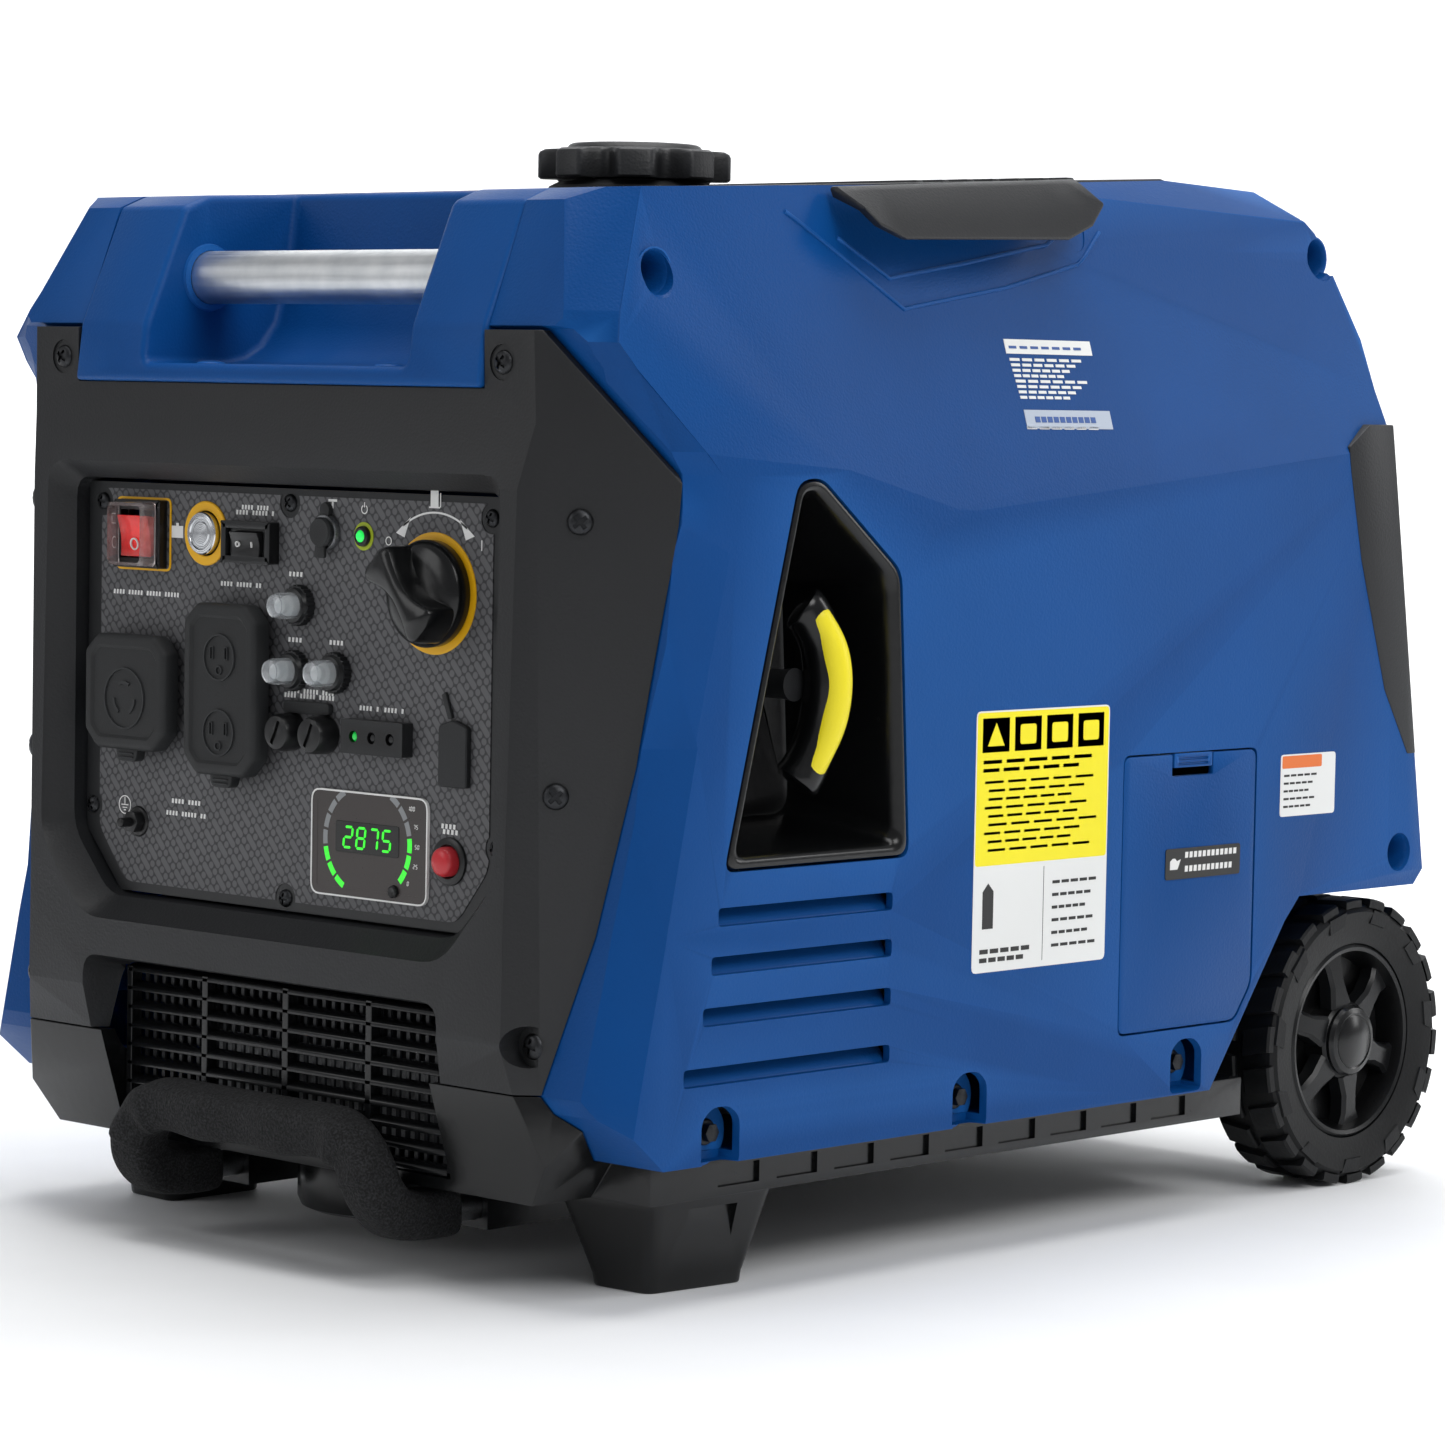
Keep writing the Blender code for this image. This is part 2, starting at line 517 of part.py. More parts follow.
def power_unit():
    crankcase = block((-0.0850, 0.1250, 0.1000), (0.1000, 0.3050, 0.2700))
    block_piece = piece("engine_block", crankcase, "cast_metal")
    boolean(block_piece, moved(rod(0.0160, 0.0, 0.4, 20, "y"), (0, 0, CRANK_Z)))
    boolean(block_piece, moved(rod(0.0105, 0.05, 0.15, 16, "x"), (0, *OIL_CAP_YZ)))
    head = [[(x, y, z) for x, y in ((-0.050 + t, 0.160 + t), (0.050 - t, 0.160 + t),
                                    (0.050 - t, 0.270 - t), (-0.050 + t, 0.270 - t))]
            for row in range(5) for z, t in ((0.2703 + row * 0.016, 0.000), (0.2780 + row * 0.016, 0.000),
                                            (0.2781 + row * 0.016, 0.006), (0.2862 + row * 0.016, 0.006))]
    piece("cylinder_head", loops_to_mesh(head), "cast_metal")
    shaft = turned([(0, -0.315), (0.0120, -0.315), (0.0120, -0.130), (0.0100, -0.125), (0.0100, -0.034),
                    (0, -0.034)], 20, "y")
    piece("crankshaft", shaft, "steel", at=(0, 0, CRANK_Z), smooth=True)
    rotor = turned([(0.0103, -0.046), (0.0103, -0.040), (0.0780, -0.040), (0.0800, -0.042),
                    (0.0800, -0.110), (0.0720, -0.110), (0.0720, -0.046)], 32, "y")
    piece("alternator_rotor", rotor, "steel", at=(0, 0, CRANK_Z), smooth=True)
    stator = turned([(0.0250, -0.1245), (0.0250, -0.052), (0.0690, -0.052), (0.0690, -0.104),
                     (0.0450, -0.104), (0.0450, -0.1245)], 32, "y")
    piece("alternator_stator", stator, "copper", at=(0, 0, CRANK_Z), smooth=True)
    housing = turned([(0.0150, 0.0300), (0.0150, 0.0270), (0.0850, 0.0270), (0.0850, -0.0250),
                      (0.0880, -0.0250), (0.0880, 0.0300)], 32, "y")
    piece("recoil_housing", housing, "black_plastic", at=(0, 0, CRANK_Z), smooth=True)
    reel = turned([(0.0160, 0.0200), (0.0600, 0.0200), (0.0600, 0.0140), (0.0480, 0.0120), (0.0480, 0.0000),
                   (0.0600, -0.0020), (0.0600, -0.0080), (0.0160, -0.0080)], 28, "y")
    piece("recoil_reel", reel, "black_plastic", at=(0, 0, CRANK_Z), smooth=True)
    muffler = [(0.3400, 0.1900), (0.3600, 0.1700), (0.4350, 0.1700), (0.4550, 0.1900), (0.4550, 0.3000),
               (0.4350, 0.3200), (0.3600, 0.3200), (0.3400, 0.3000)]
    muffler_piece = piece("muffler", prism(muffler, "x", -0.1200, 0.1000), "steel")
    boolean(muffler_piece, prism(shrunk(muffler, 0.003), "x", -0.1170, 0.0970))
    boolean(muffler_piece, moved(rod(0.0120, 0.3000, 0.5000, 16, "y"), (0.050, 0, 0.2600)))
    carburettor = moved(rod(0.0200, -0.1250, -0.0520, 20, "x", 0.003), (0, 0.2150, 0.3050))
    piece("carburettor", carburettor, "cast_metal", smooth=True)
    piece("air_filter_box", block((-0.2000, 0.1500, 0.2500), (-0.1260, 0.2800, 0.3500)), "black_plastic")
    tank = [[(-x, low, z), (x, low, z), (x, high, z), (-x, high, z)] for x, low, high, z in
            ((0.1150, 0.0600, 0.3100, 0.3640), (0.1350, 0.0500, 0.3200, 0.3900),
             (0.1350, 0.0500, 0.3200, 0.4850), (0.1200, 0.0600, 0.3100, 0.4960))]
    tank_piece = piece("fuel_tank", loops_to_mesh(tank), "steel")
    boolean(tank_piece, moved(rod(0.0200, 0.4800, 0.5280, 24), (0, CAP_Y, 0)), "UNION")
    inside = [[(-x, low, z), (x, low, z), (x, high, z), (-x, high, z)] for x, low, high, z in
              ((0.1125, 0.0630, 0.3070, 0.3670), (0.1320, 0.0530, 0.3170, 0.3910),
               (0.1320, 0.0530, 0.3170, 0.4840), (0.1185, 0.0630, 0.3070, 0.4930))]
    boolean(tank_piece, loops_to_mesh(inside))
    boolean(tank_piece, moved(rod(0.0170, 0.4800, 0.5400, 24), (0, CAP_Y, 0)))
    inverter = block((-0.0950, -0.0550, 0.0560), (0.0950, 0.0900, 0.0980))
    piece("inverter_module", inverter, "cast_metal")
    piece("battery", block((-0.1900, 0.0000, 0.0700), (-0.1050, 0.0900, 0.1550)), "black_plastic")
    oil_cap = turned([(0, 0.0900), (0.0100, 0.0900), (0.0100, 0.1003), (0.0140, 0.1003), (0.0140, 0.1090),
                      (0.0060, 0.1100), (0.0060, 0.1180), (0, 0.1180)], 20, "x")
    piece("oil_fill_cap", oil_cap, "yellow_plastic", at=(0, *OIL_CAP_YZ), smooth=True)
    pipe = swept([(0.1003, 0.2950, 0.1120), (0.1100, 0.2950, 0.1120), (0.1250, 0.3150, 0.1120),
                  (0.1340, 0.3500, 0.1050), (0.1350, 0.3660, 0.0850), (0.1350, 0.3660, 0.0340)], 0.0045, sides=10)
    piece("oil_drain_pipe", pipe, "rubber", smooth=True)


def fuel_cap():
    """Lobed cap over the filler neck, turned by hand."""
    steps, lobes = 48, 8

    def ring(radius, z, wave):
        points = []
        for k in range(steps):
            angle = math.tau * k / steps
            swell = max(-1.0, min(1.0, 1.6 * math.cos(lobes * angle) + 0.6))
            r = radius + wave * swell
            points.append((r * math.cos(angle), r * math.sin(angle), z))
        return points

    rows = [ring(0.0225, 0.5200, 0), ring(CAP_R - 0.0050, 0.5200, 0.0050), ring(CAP_R - 0.0050, 0.5320, 0.0050),
            ring(CAP_R - 0.0080, 0.5345, 0.0050), ring(0.034, 0.5350, 0), ring(0.032, 0.5385, 0)]
    closing = [ring(0.0225, 0.5310, 0)]
    bm = loops_to_mesh(closing + rows)
    piece("fuel_cap", bm, "black_plastic", at=(0, CAP_Y, 0), smooth=True)


# Recoil starter recess ------------------------------------------------------


def recoil_parts():
    """Black funnel in the side recess, with the pull handle inside it."""
    rim = shrunk(RECESS, 0.0004)
    lip = shrunk(RECESS, 0.0060)
    floor = shrunk(RECESS, 0.0160)
    outside = [[(x, y, z) for y, z in points] for x, points in
               ((0.1600, shrunk(RECESS, 0.0120)), (SIDE_X - 0.001, rim), (SIDE_X - 0.001, lip), (0.1640, floor))]
    funnel = piece("recoil_bezel", loops_to_mesh(outside), "black_plastic")
    boolean(funnel, moved(rod(0.0040, 0.1, 0.2, 16, "x"), (0, *PULL_YZ)))
    stem = moved(rod(0.0065, 0.1650, 0.2040, 16, "x"), (0, *PULL_YZ))
    handle = piece("pull_handle", stem, "black_plastic", smooth=True)
    y, z = PULL_YZ
    path = [(0.2040, y + 0.0020, z - 0.0430), (0.2090, y + 0.0100, z - 0.0300), (0.2120, y + 0.0140, z),
            (0.2110, y + 0.0110, z + 0.0200), (0.2080, y + 0.0050, z + 0.0330)]
    boolean(handle, swept(path, 0.0110, sides=14), "UNION")


# Wheels and tow handle ------------------------------------------------------
def wheels():
    axle = rod(AXLE_R, -0.2100, 0.2100, 24, "x", 0.001)
    piece("axle", axle, "steel", at=(0, WHEEL_Y, WHEEL_R), smooth=True)
    inner, outer = 0.1680, 0.2120
    tyre = [(0.0520, inner + 0.004), (0.0700, inner), (WHEEL_R, inner + 0.007), (WHEEL_R, outer - 0.007),
            (0.0700, outer), (0.0520, outer - 0.004)]
    rim = [(AXLE_R + GAP, inner + 0.002), (0.0200, inner + 0.002), (0.0210, 0.1840), (0.0460, 0.1840),
           (0.0470, inner + 0.006), (0.0517, inner + 0.0045), (0.0517, outer - 0.0045), (0.0470, outer - 0.004),
           (0.0450, outer - 0.012), (0.0230, outer - 0.012), (0.0210, outer - 0.001), (AXLE_R + GAP, outer - 0.001)]
    for side, label in ((-1, "left"), (1, "right")):
        for name, profile, finish in (("tyre", tyre, "rubber"), ("rim", rim, "black_plastic")):
            bm = turned(profile, 36, "x")
            if side < 0:
                mirrored(bm)
            piece(f"{name}_{label}", bm, finish, at=(0, WHEEL_Y, WHEEL_R), smooth=True)


def tow_path(rear):
    """Middle line of the tow handle: along one guide, up over the grip and back."""
    half = [(-TOW_X, rear, TOW_Z), (-TOW_X, -0.0760, TOW_Z), (-TOW_X, -0.0920, 0.0330),
            (-TOW_X + 0.001, -0.1015, 0.0430), (-TOW_X + 0.005, -0.1045, 0.0550),
            (-TOW_X + 0.014, -0.1052, 0.0645), (-TOW_X + 0.026, -0.1052, 0.0680)]
    return half + [(-x, y, z) for x, y, z in reversed(half)]


def tow_handle():
    piece("tow_handle_frame", swept(tow_path(0.3300), TOW_R, sides=12), "steel", smooth=True)
    foam = tow_path(-0.0560)
    piece("foam_grip", swept(foam, 0.0142, TOW_R + GAP, sides=12), "foam", smooth=True)


# Oil access door ------------------------------------------------------------
def oil_door():
    """Blue door over the oil filler, hinged along its bottom edge, with a press latch on top."""
    sill = DOOR[0][1] + 0.0005
    outline = [(y, z - sill) for y, z in shrunk(DOOR, 0.0005)]
    door = piece("oil_access_door", prism(outline, "x", -0.0035, 0.0), "blue_plastic",
                 at=(SIDE_X - 0.0005, 0, sill))
    boolean(door, block((0.2, 0.3060, 0.2240), (0.25, 0.3380, 0.25)))
    latch = block((SIDE_X - 0.0040, 0.3064, 0.2284), (SIDE_X, 0.3376, 0.2384))
    piece("door_latch", latch, "blue_plastic")


# Control panel --------------------------------------------------------------

def rockers():
    tilt = math.radians(8)
    for name, (x, z), width, height, finish in (("main_rocker", MAIN_ROCKER, 0.0220, 0.0280, "red_plastic"),
                                                ("eco_rocker", ECO_ROCKER, 0.0200, 0.0140, "black_plastic")):
        h = height / 2 - 0.0010
        outline = [(-0.0075, -h), (-0.0060, 0.0), (-0.0075, h), (0.0045, h * 0.7), (0.0045, -h * 0.7)]
        bm = prism(outline, "x", -width / 2, width / 2)
        piece(name, bm, finish, at=(x, PLATE_Y, z), turn=(tilt, 0, 0))


def push_buttons():
    for name, (x, z), radius, out, finish in (("start_button", START, 0.0103, 0.0040, "chrome"),
                                              ("reset_button", RESET, 0.0069, 0.0075, "red_plastic")):
        bm = rod(radius, -out, 0.0120, 24, "y", 0.0008)
        piece(name, bm, finish, at=(x, PLATE_Y, z), smooth=True)
    for name, (x, z) in BREAKERS.items():
        bm = turned([(0, 0.0150), (0.0040, 0.0150), (0.0050, 0.0140), (0.0050, -0.0200), (0, -0.0200)], 18, "y")
        piece(name, bm, "clear_cap", at=(x, PLATE_Y, z), smooth=True)
    x, z = DISPLAY_BUTTON
    piece("display_button", rod(0.0028, -0.0035, 0.0080, 16, "y", 0.0004), "black_plastic",
          at=(x, PLATE_Y, z), smooth=True)


def fuel_dial():
    """Round knob with a bow-tie grip that points to off."""
    knob = turned([(0, -0.0200), (0.0050, -0.0200), (0.0050, 0.0010), (0.0240, 0.0010), (0.0240, 0.0080),
                   (0.0225, 0.0100), (0, 0.0100)], 36, "y")
    dial = piece("fuel_dial", knob, "black_plastic", at=(DIAL_XZ[0], PLATE_Y, DIAL_XZ[1]),
                 turn=(0, math.radians(-45), 0), smooth=True)
    grip = [(-0.0080, 0.0205), (0.0080, 0.0205), (0.0050, 0.0), (0.0080, -0.0205), (-0.0080, -0.0205),
            (-0.0050, 0.0)]
    boolean(dial, prism(grip, "y", -0.0240, -0.0090), "UNION", at=(DIAL_XZ[0], PLATE_Y, DIAL_XZ[1]),
            turn=(0, math.radians(-45), 0))


def outlets():
    """Two mains outlets behind the panel and their spring covers, hinged along the top."""
    x, z = ROUND_OUTLET
    piece("outlet_round", rod(0.0220, -0.0040, 0.0350, 28, "y", 0.0010), "black_plastic",
          at=(x, PLATE_Y, z), smooth=True)
    x, z, width, height = DUPLEX_BODY
    piece("outlet_duplex", block((-width / 2, -0.0040, -height / 2), (width / 2, 0.0350, height / 2)),
          "black_plastic", at=(x, PLATE_Y, z))
    for name, centre, hinge, width, low in (("outlet_round_cover", ROUND_OUTLET[0], 0.2880, 0.0600, 0.0520),
                                            ("outlet_duplex_cover", DUPLEX_BODY[0], 0.3060, 0.0520, 0.0780)):
        corner = 0.009
        w = width / 2
        lid = [(-w + corner, 0.004), (-w, -0.004), (-w, -low + corner), (-w + corner, -low), (-0.008, -low),
               (-0.007, -low - 0.006), (0.007, -low - 0.006), (0.008, -low), (w - corner, -low),
               (w, -low + corner), (w, -0.004), (w - corner, 0.004)]
        piece(name, prism(lid, "y", -0.0110, 0.0005), "rubber", at=(centre, PLATE_Y - 0.0050, hinge))


def small_covers():
    x, z = USB
    flap = [(-0.0095, -0.0030), (0.0000, 0.0), (0.0095, -0.0030), (0.0095, -0.0310), (-0.0095, -0.0310)]
    piece("usb_cover", prism(flap, "y", -0.0030, 0.0), "rubber", at=(x, PLATE_Y - 0.0005, z + 0.0160))
    x, z = DC_SOCKET
    cap = moved(rod(0.0070, -0.0060, 0.0, 20, "y", 0.0008), (0, 0, -0.0090))
    piece("dc_socket_cap", cap, "rubber", at=(x, PLATE_Y - 0.0004, z + 0.0090), smooth=True)
    for name, (x, z) in PARALLEL.items():
        knob = turned([(0, -0.0120), (0.0060, -0.0120), (0.0060, 0.0004), (0.0088, 0.0004), (0.0088, 0.0110),
                       (0.0076, 0.0125), (0, 0.0125)], 24, "y")
        piece(name, knob, "black_plastic", at=(x, PLATE_Y, z), smooth=True)


def data_display():
    x, z, width, height = DISPLAY_BODY
    body = block((-width / 2, -0.0015, -height / 2), (width / 2, 0.0150, height / 2))
    display = piece("data_display", body, "black_plastic", at=(x, PLATE_Y, z))
    bx, bz = DISPLAY_BUTTON
    boolean(display, moved(rod(0.0032, -0.01, 0.0100, 16, "y"), (bx, PLATE_Y, bz)))


def build():
    for side, label in ((-1, "left"), (1, "right")):
        side_panel(f"side_panel_{label}", side)
    front_frame()
    control_plate()
    intake_grille()
    base_pan()
    feet()
    front_top_cover()
    carry_bar()
    top_deck()
    side_grips()
    rear_cover()
    exhaust_grille()
    power_unit()
    fuel_cap()
    recoil_parts()
    wheels()
    tow_handle()
    oil_door()
    rockers()
    push_buttons()
    fuel_dial()
    outlets()
    small_covers()
    data_display()


for old in list(bpy.data.objects):
    bpy.data.objects.remove(old)
ROOT = root_empty()
build()
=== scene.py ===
"""Inverter generator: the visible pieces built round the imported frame.

Laid out as an add-on and run as a script. Lengths are in metres. Stations along the
length count from the front feet; SHIFT takes them to the frame's own origin.
"""

import math

import bmesh
import bpy
from bpy.props import FloatProperty, FloatVectorProperty, IntProperty, PointerProperty
from mathutils import Matrix, Vector
from mathutils.bvhtree import BVHTree


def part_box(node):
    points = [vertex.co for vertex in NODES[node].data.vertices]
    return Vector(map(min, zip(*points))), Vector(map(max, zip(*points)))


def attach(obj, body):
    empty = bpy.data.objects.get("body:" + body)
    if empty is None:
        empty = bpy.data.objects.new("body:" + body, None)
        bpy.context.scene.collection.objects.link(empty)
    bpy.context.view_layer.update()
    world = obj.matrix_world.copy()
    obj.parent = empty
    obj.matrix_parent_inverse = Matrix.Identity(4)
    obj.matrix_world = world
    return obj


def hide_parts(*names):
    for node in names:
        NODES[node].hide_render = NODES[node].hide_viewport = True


bl_info = {
    "name": "Inverter Generator",
    "version": (1, 0, 0),
    "blender": (4, 5, 0),
    "location": "View3D > Sidebar > Generator",
    "description": "Builds the visible pieces of a wheeled inverter generator",
    "category": "Object",
}

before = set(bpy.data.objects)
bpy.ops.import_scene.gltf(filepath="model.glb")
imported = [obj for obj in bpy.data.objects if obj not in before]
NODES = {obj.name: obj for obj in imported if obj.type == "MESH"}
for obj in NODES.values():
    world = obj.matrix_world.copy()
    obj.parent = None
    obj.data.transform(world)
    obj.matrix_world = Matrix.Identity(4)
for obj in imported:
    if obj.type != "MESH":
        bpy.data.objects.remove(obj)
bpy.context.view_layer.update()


def low(node):
    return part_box(node)[0]


def high(node):
    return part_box(node)[1]


def middle(node):
    return (low(node) + high(node)) / 2


# Places taken from the frame -------------------------------------------------
SHIFT = middle("axle").y - 0.487       # station 0 lies at the front feet
SIDE_X = high("side_panel_right").x
SEAM_X = high("front_top_cover").x + 0.0003
PLATE_Y = low("control_plate").y - SHIFT
WHEEL_R = middle("axle").z
WHEEL_Y = middle("axle").y - SHIFT

SEAM = [(-0.0890, 0.4415), (-0.0490, 0.3780), (-0.0505, 0.3550),
        (-0.0610, 0.2550), (-0.0740, 0.1700), (-0.0900, 0.0980)]
RECESS = [(0.024, 0.375), (0.040, 0.377), (0.097, 0.333), (0.106, 0.198), (-0.021, 0.198)]


# Mesh helpers ------------------------------------------------------------------
def skin(loops, caps=True, ring=False):
    """Skin equal point loops into one mesh."""
    bm = bmesh.new()
    rows = [[bm.verts.new(p) for p in loop] for loop in loops]
    pairs = list(zip(rows, rows[1:]))
    if ring:
        pairs.append((rows[-1], rows[0]))
    count = len(rows[0])
    for lower, upper in pairs:
        for i in range(count):
            j = (i + 1) % count
            bm.faces.new((lower[i], lower[j], upper[j], upper[i]))
    if caps and not ring:
        bm.faces.new(list(reversed(rows[0])))
        bm.faces.new(rows[-1])
    bmesh.ops.recalc_face_normals(bm, faces=bm.faces)
    return bm


def prism(outline, axis, start, end):
    """Extrude a flat outline along x, y or z."""
    def place(point, depth):
        a, b = point
        return {"x": (depth, a, b), "y": (a, depth, b), "z": (a, b, depth)}[axis]
    return skin([[place(p, d) for p in outline] for d in (start, end)])


def block(lo, hi):
    return prism([(lo[0], lo[1]), (hi[0], lo[1]), (hi[0], hi[1]), (lo[0], hi[1])], "z", lo[2], hi[2])


def turned(profile, axis="z", steps=48):
    """Turn a closed (radius, height) profile; along y a positive height points to the front."""
    bm = bmesh.new()
    verts = [bm.verts.new((r, 0, h)) for r, h in profile]
    for i, vert in enumerate(verts):
        j = (i + 1) % len(verts)
        if profile[i][0] > 0 or profile[j][0] > 0:
            bm.edges.new((vert, verts[j]))
    bmesh.ops.spin(bm, geom=bm.verts[:] + bm.edges[:], cent=(0, 0, 0), axis=(0, 0, 1),
                   angle=math.tau, steps=steps, use_merge=True)
    bmesh.ops.remove_doubles(bm, verts=bm.verts, dist=0.000001)
    bmesh.ops.recalc_face_normals(bm, faces=bm.faces)
    if axis != "z":
        turn = {"x": Matrix.Rotation(math.pi / 2, 3, "Y"), "y": Matrix.Rotation(math.pi / 2, 3, "X")}[axis]
        bmesh.ops.rotate(bm, verts=bm.verts, cent=(0, 0, 0), matrix=turn)
    return bm


def rod(radius, start, end, axis="z", steps=32, bevel=0.0):
    """Round bar from start to end along an axis, with true signs."""
    if axis == "y":
        start, end = -end, -start
    if bevel:
        profile = [(0, start), (radius - bevel, start), (radius - bevel * 0.3, start + bevel * 0.3),
                   (radius, start + bevel), (radius, end - bevel), (radius - bevel * 0.3, end - bevel * 0.3),
                   (radius - bevel, end), (0, end)]
    else:
        profile = [(0, start), (radius, start), (radius, end), (0, end)]
    return turned(profile, axis, steps)


def smooth_path(points, per_span=6):
    """Points along a smooth curve through the given ones."""
    pts = [Vector(p) for p in points]
    result = []
    for i in range(len(pts) - 1):
        p0, p1, p2, p3 = pts[max(i - 1, 0)], pts[i], pts[i + 1], pts[min(i + 2, len(pts) - 1)]
        for k in range(per_span):
            t = k / per_span
            result.append(0.5 * (2 * p1 + (p2 - p0) * t + (2 * p0 - 5 * p1 + 4 * p2 - p3) * t * t
                                 + (3 * p1 - p0 - 3 * p2 + p3) * t ** 3))
    result.append(pts[-1])
    return result


def swept(points, section, sides=20):
    """Sweep a section along a path; section(t, angle) gives the radius."""
    outer = []
    side = None
    count = len(points) - 1
    for i, point in enumerate(points):
        ahead = (points[min(i + 1, count)] - points[max(i - 1, 0)]).normalized()
        reference = side if side else Vector((0, 0, 1)).cross(ahead)
        side = (reference - ahead * reference.dot(ahead)).normalized()
        up = ahead.cross(side)
        row = []
        for k in range(sides):
            angle = math.tau * k / sides
            spoke = side * math.cos(angle) + up * math.sin(angle)
            row.append(point + spoke * section(i / count, angle))
        outer.append(row)
    return skin(outer)


def joined(*shapes):
    bm = bmesh.new()
    for shape in shapes:
        mesh = bpy.data.meshes.new("scratch")
        shape.to_mesh(mesh)
        shape.free()
        bm.from_mesh(mesh)
        bpy.data.meshes.remove(mesh)
    return bm


def moved(bm, offset):
    bmesh.ops.translate(bm, verts=bm.verts, vec=offset)
    return bm


def rotated(bm, degrees, axis, centre=(0, 0, 0)):
    bmesh.ops.rotate(bm, verts=bm.verts, cent=centre, matrix=Matrix.Rotation(math.radians(degrees), 3, axis))
    return bm


def mirrored(bm):
    bmesh.ops.scale(bm, verts=bm.verts, vec=(-1, 1, 1))
    bmesh.ops.reverse_faces(bm, faces=bm.faces)
    return bm


def sided(bm, side):
    """The shape itself on the right (+1), mirrored on the left (-1)."""
    return bm if side > 0 else mirrored(bm)


def sliced(bm, point, normal):
    """Cut by a plane and keep what lies behind the normal."""
    bmesh.ops.bisect_plane(bm, geom=bm.verts[:] + bm.edges[:] + bm.faces[:], plane_co=point,
                           plane_no=normal, clear_outer=True)
    bmesh.ops.holes_fill(bm, edges=[e for e in bm.edges if e.is_boundary])
    bmesh.ops.recalc_face_normals(bm, faces=bm.faces)
    return bm


def shrunk(outline, amount):
    """Move an outline's points inwards by an amount."""
    count = len(outline)
    area = sum(outline[i][0] * outline[(i + 1) % count][1] - outline[(i + 1) % count][0] * outline[i][1]
               for i in range(count))
    sense = 1 if area > 0 else -1
    result = []
    for i, point in enumerate(outline):
        here = Vector(point)
        before = (here - Vector(outline[i - 1])).normalized()
        after = (Vector(outline[(i + 1) % count]) - here).normalized()
        normal_a = Vector((-before.y, before.x)) * sense
        normal_b = Vector((-after.y, after.x)) * sense
        between = (normal_a + normal_b).normalized()
        result.append(tuple(here + between * amount / max(between.dot(normal_a), 0.5)))
    return result


def rounded(outline, radius, steps=4):
    """Round an outline's corners with arcs."""
    result = []
    count = len(outline)
    for i in range(count):
        here, last, following = (Vector(outline[k]) for k in (i, i - 1, (i + 1) % count))
        to_last, to_next = last - here, following - here
        reach = min(radius, to_last.length * 0.45, to_next.length * 0.45)
        start, end = here + to_last.normalized() * reach, here + to_next.normalized() * reach
        for k in range(steps + 1):
            t = k / steps
            result.append(tuple(start * (1 - t) ** 2 + here * 2 * t * (1 - t) + end * t * t))
    return result


def rectangle(width, height, centre=(0, 0)):
    w, h = width / 2, height / 2
    x, z = centre
    return [(x - w, z - h), (x + w, z - h), (x + w, z + h), (x - w, z + h)]


# Object helpers ------------------------------------------------------------------
def place(name, bm, material, body="root", bevel=0.0, segments=2, angle=30, smooth=True, slot=None,
          replaces=()):
    """Make a visible piece from a shape in stations, bevel its edges and let it ride on a body."""
    bmesh.ops.translate(bm, verts=bm.verts, vec=(0, SHIFT, 0))
    mesh = bpy.data.meshes.new(name)
    bm.to_mesh(mesh)
    bm.free()
    obj = bpy.data.objects.new(name, mesh)
    bpy.context.collection.objects.link(obj)
    mesh.materials.append(material)
    if bevel:
        round_edges(obj, bevel, segments, angle)
    if smooth:
        shade(obj)
    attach(obj, body)
    if replaces:
        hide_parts(*replaces)
    return obj


def shade(obj, angle=35):
    obj.data.shade_smooth()
    obj.data.set_sharp_from_angle(angle=math.radians(angle))


def apply_modifiers(obj):
    graph = bpy.context.evaluated_depsgraph_get()
    mesh = bpy.data.meshes.new_from_object(obj.evaluated_get(graph), depsgraph=graph)
    old = obj.data
    obj.modifiers.clear()
    obj.data = mesh
    bpy.data.meshes.remove(old)


def round_edges(obj, width, segments=2, angle=30):
    modifier = obj.modifiers.new("edges", "BEVEL")
    modifier.width = width
    modifier.segments = segments
    modifier.limit_method = "ANGLE"
    modifier.angle_limit = math.radians(angle)
    modifier.miter_outer = "MITER_ARC"
    modifier.use_clamp_overlap = True
    apply_modifiers(obj)


def combine(obj, bm, operation="DIFFERENCE"):
    """Cut, join or intersect a piece with a shape given in stations."""
    bmesh.ops.translate(bm, verts=bm.verts, vec=(0, SHIFT, 0))
    mesh = bpy.data.meshes.new("helper")
    bm.to_mesh(mesh)
    bm.free()
    helper = bpy.data.objects.new("helper", mesh)
    bpy.context.collection.objects.link(helper)
    modifier = obj.modifiers.new("cut", "BOOLEAN")
    modifier.operation = operation
    modifier.solver = "EXACT"
    modifier.object = helper
    apply_modifiers(obj)
    bpy.data.objects.remove(helper)
    bpy.data.meshes.remove(mesh)


# Materials ---------------------------------------------------------------------
def linear(code):
    """sRGB hex to linear colour."""
    channels = [int(code[i:i + 2], 16) / 255 for i in (0, 2, 4)]
    return (*[c / 12.92 if c <= 0.04045 else ((c + 0.055) / 1.055) ** 2.4 for c in channels], 1.0)


def add(tree, kind, inputs=(), output=0, **settings):
    """Add a node, set its properties, fill or link its inputs, and return one of its outputs."""
    node = tree.nodes.new(kind)
    for key, value in settings.items():
        setattr(node, key, value)
    for key, value in dict(inputs).items():
        if isinstance(value, bpy.types.NodeSocket):
            tree.links.new(value, node.inputs[key])
        else:
            node.inputs[key].default_value = value
    return node.outputs[output]


def new_material(name, **constants):
    """An empty Principled material; constants go on the shader's own sockets."""
    mat = bpy.data.materials.new(name)
    mat.use_nodes = True
    shader = mat.node_tree.nodes["Principled BSDF"]
    for key, value in constants.items():
        shader.inputs[key.replace("_", " ")].default_value = value
    return mat, mat.node_tree, shader


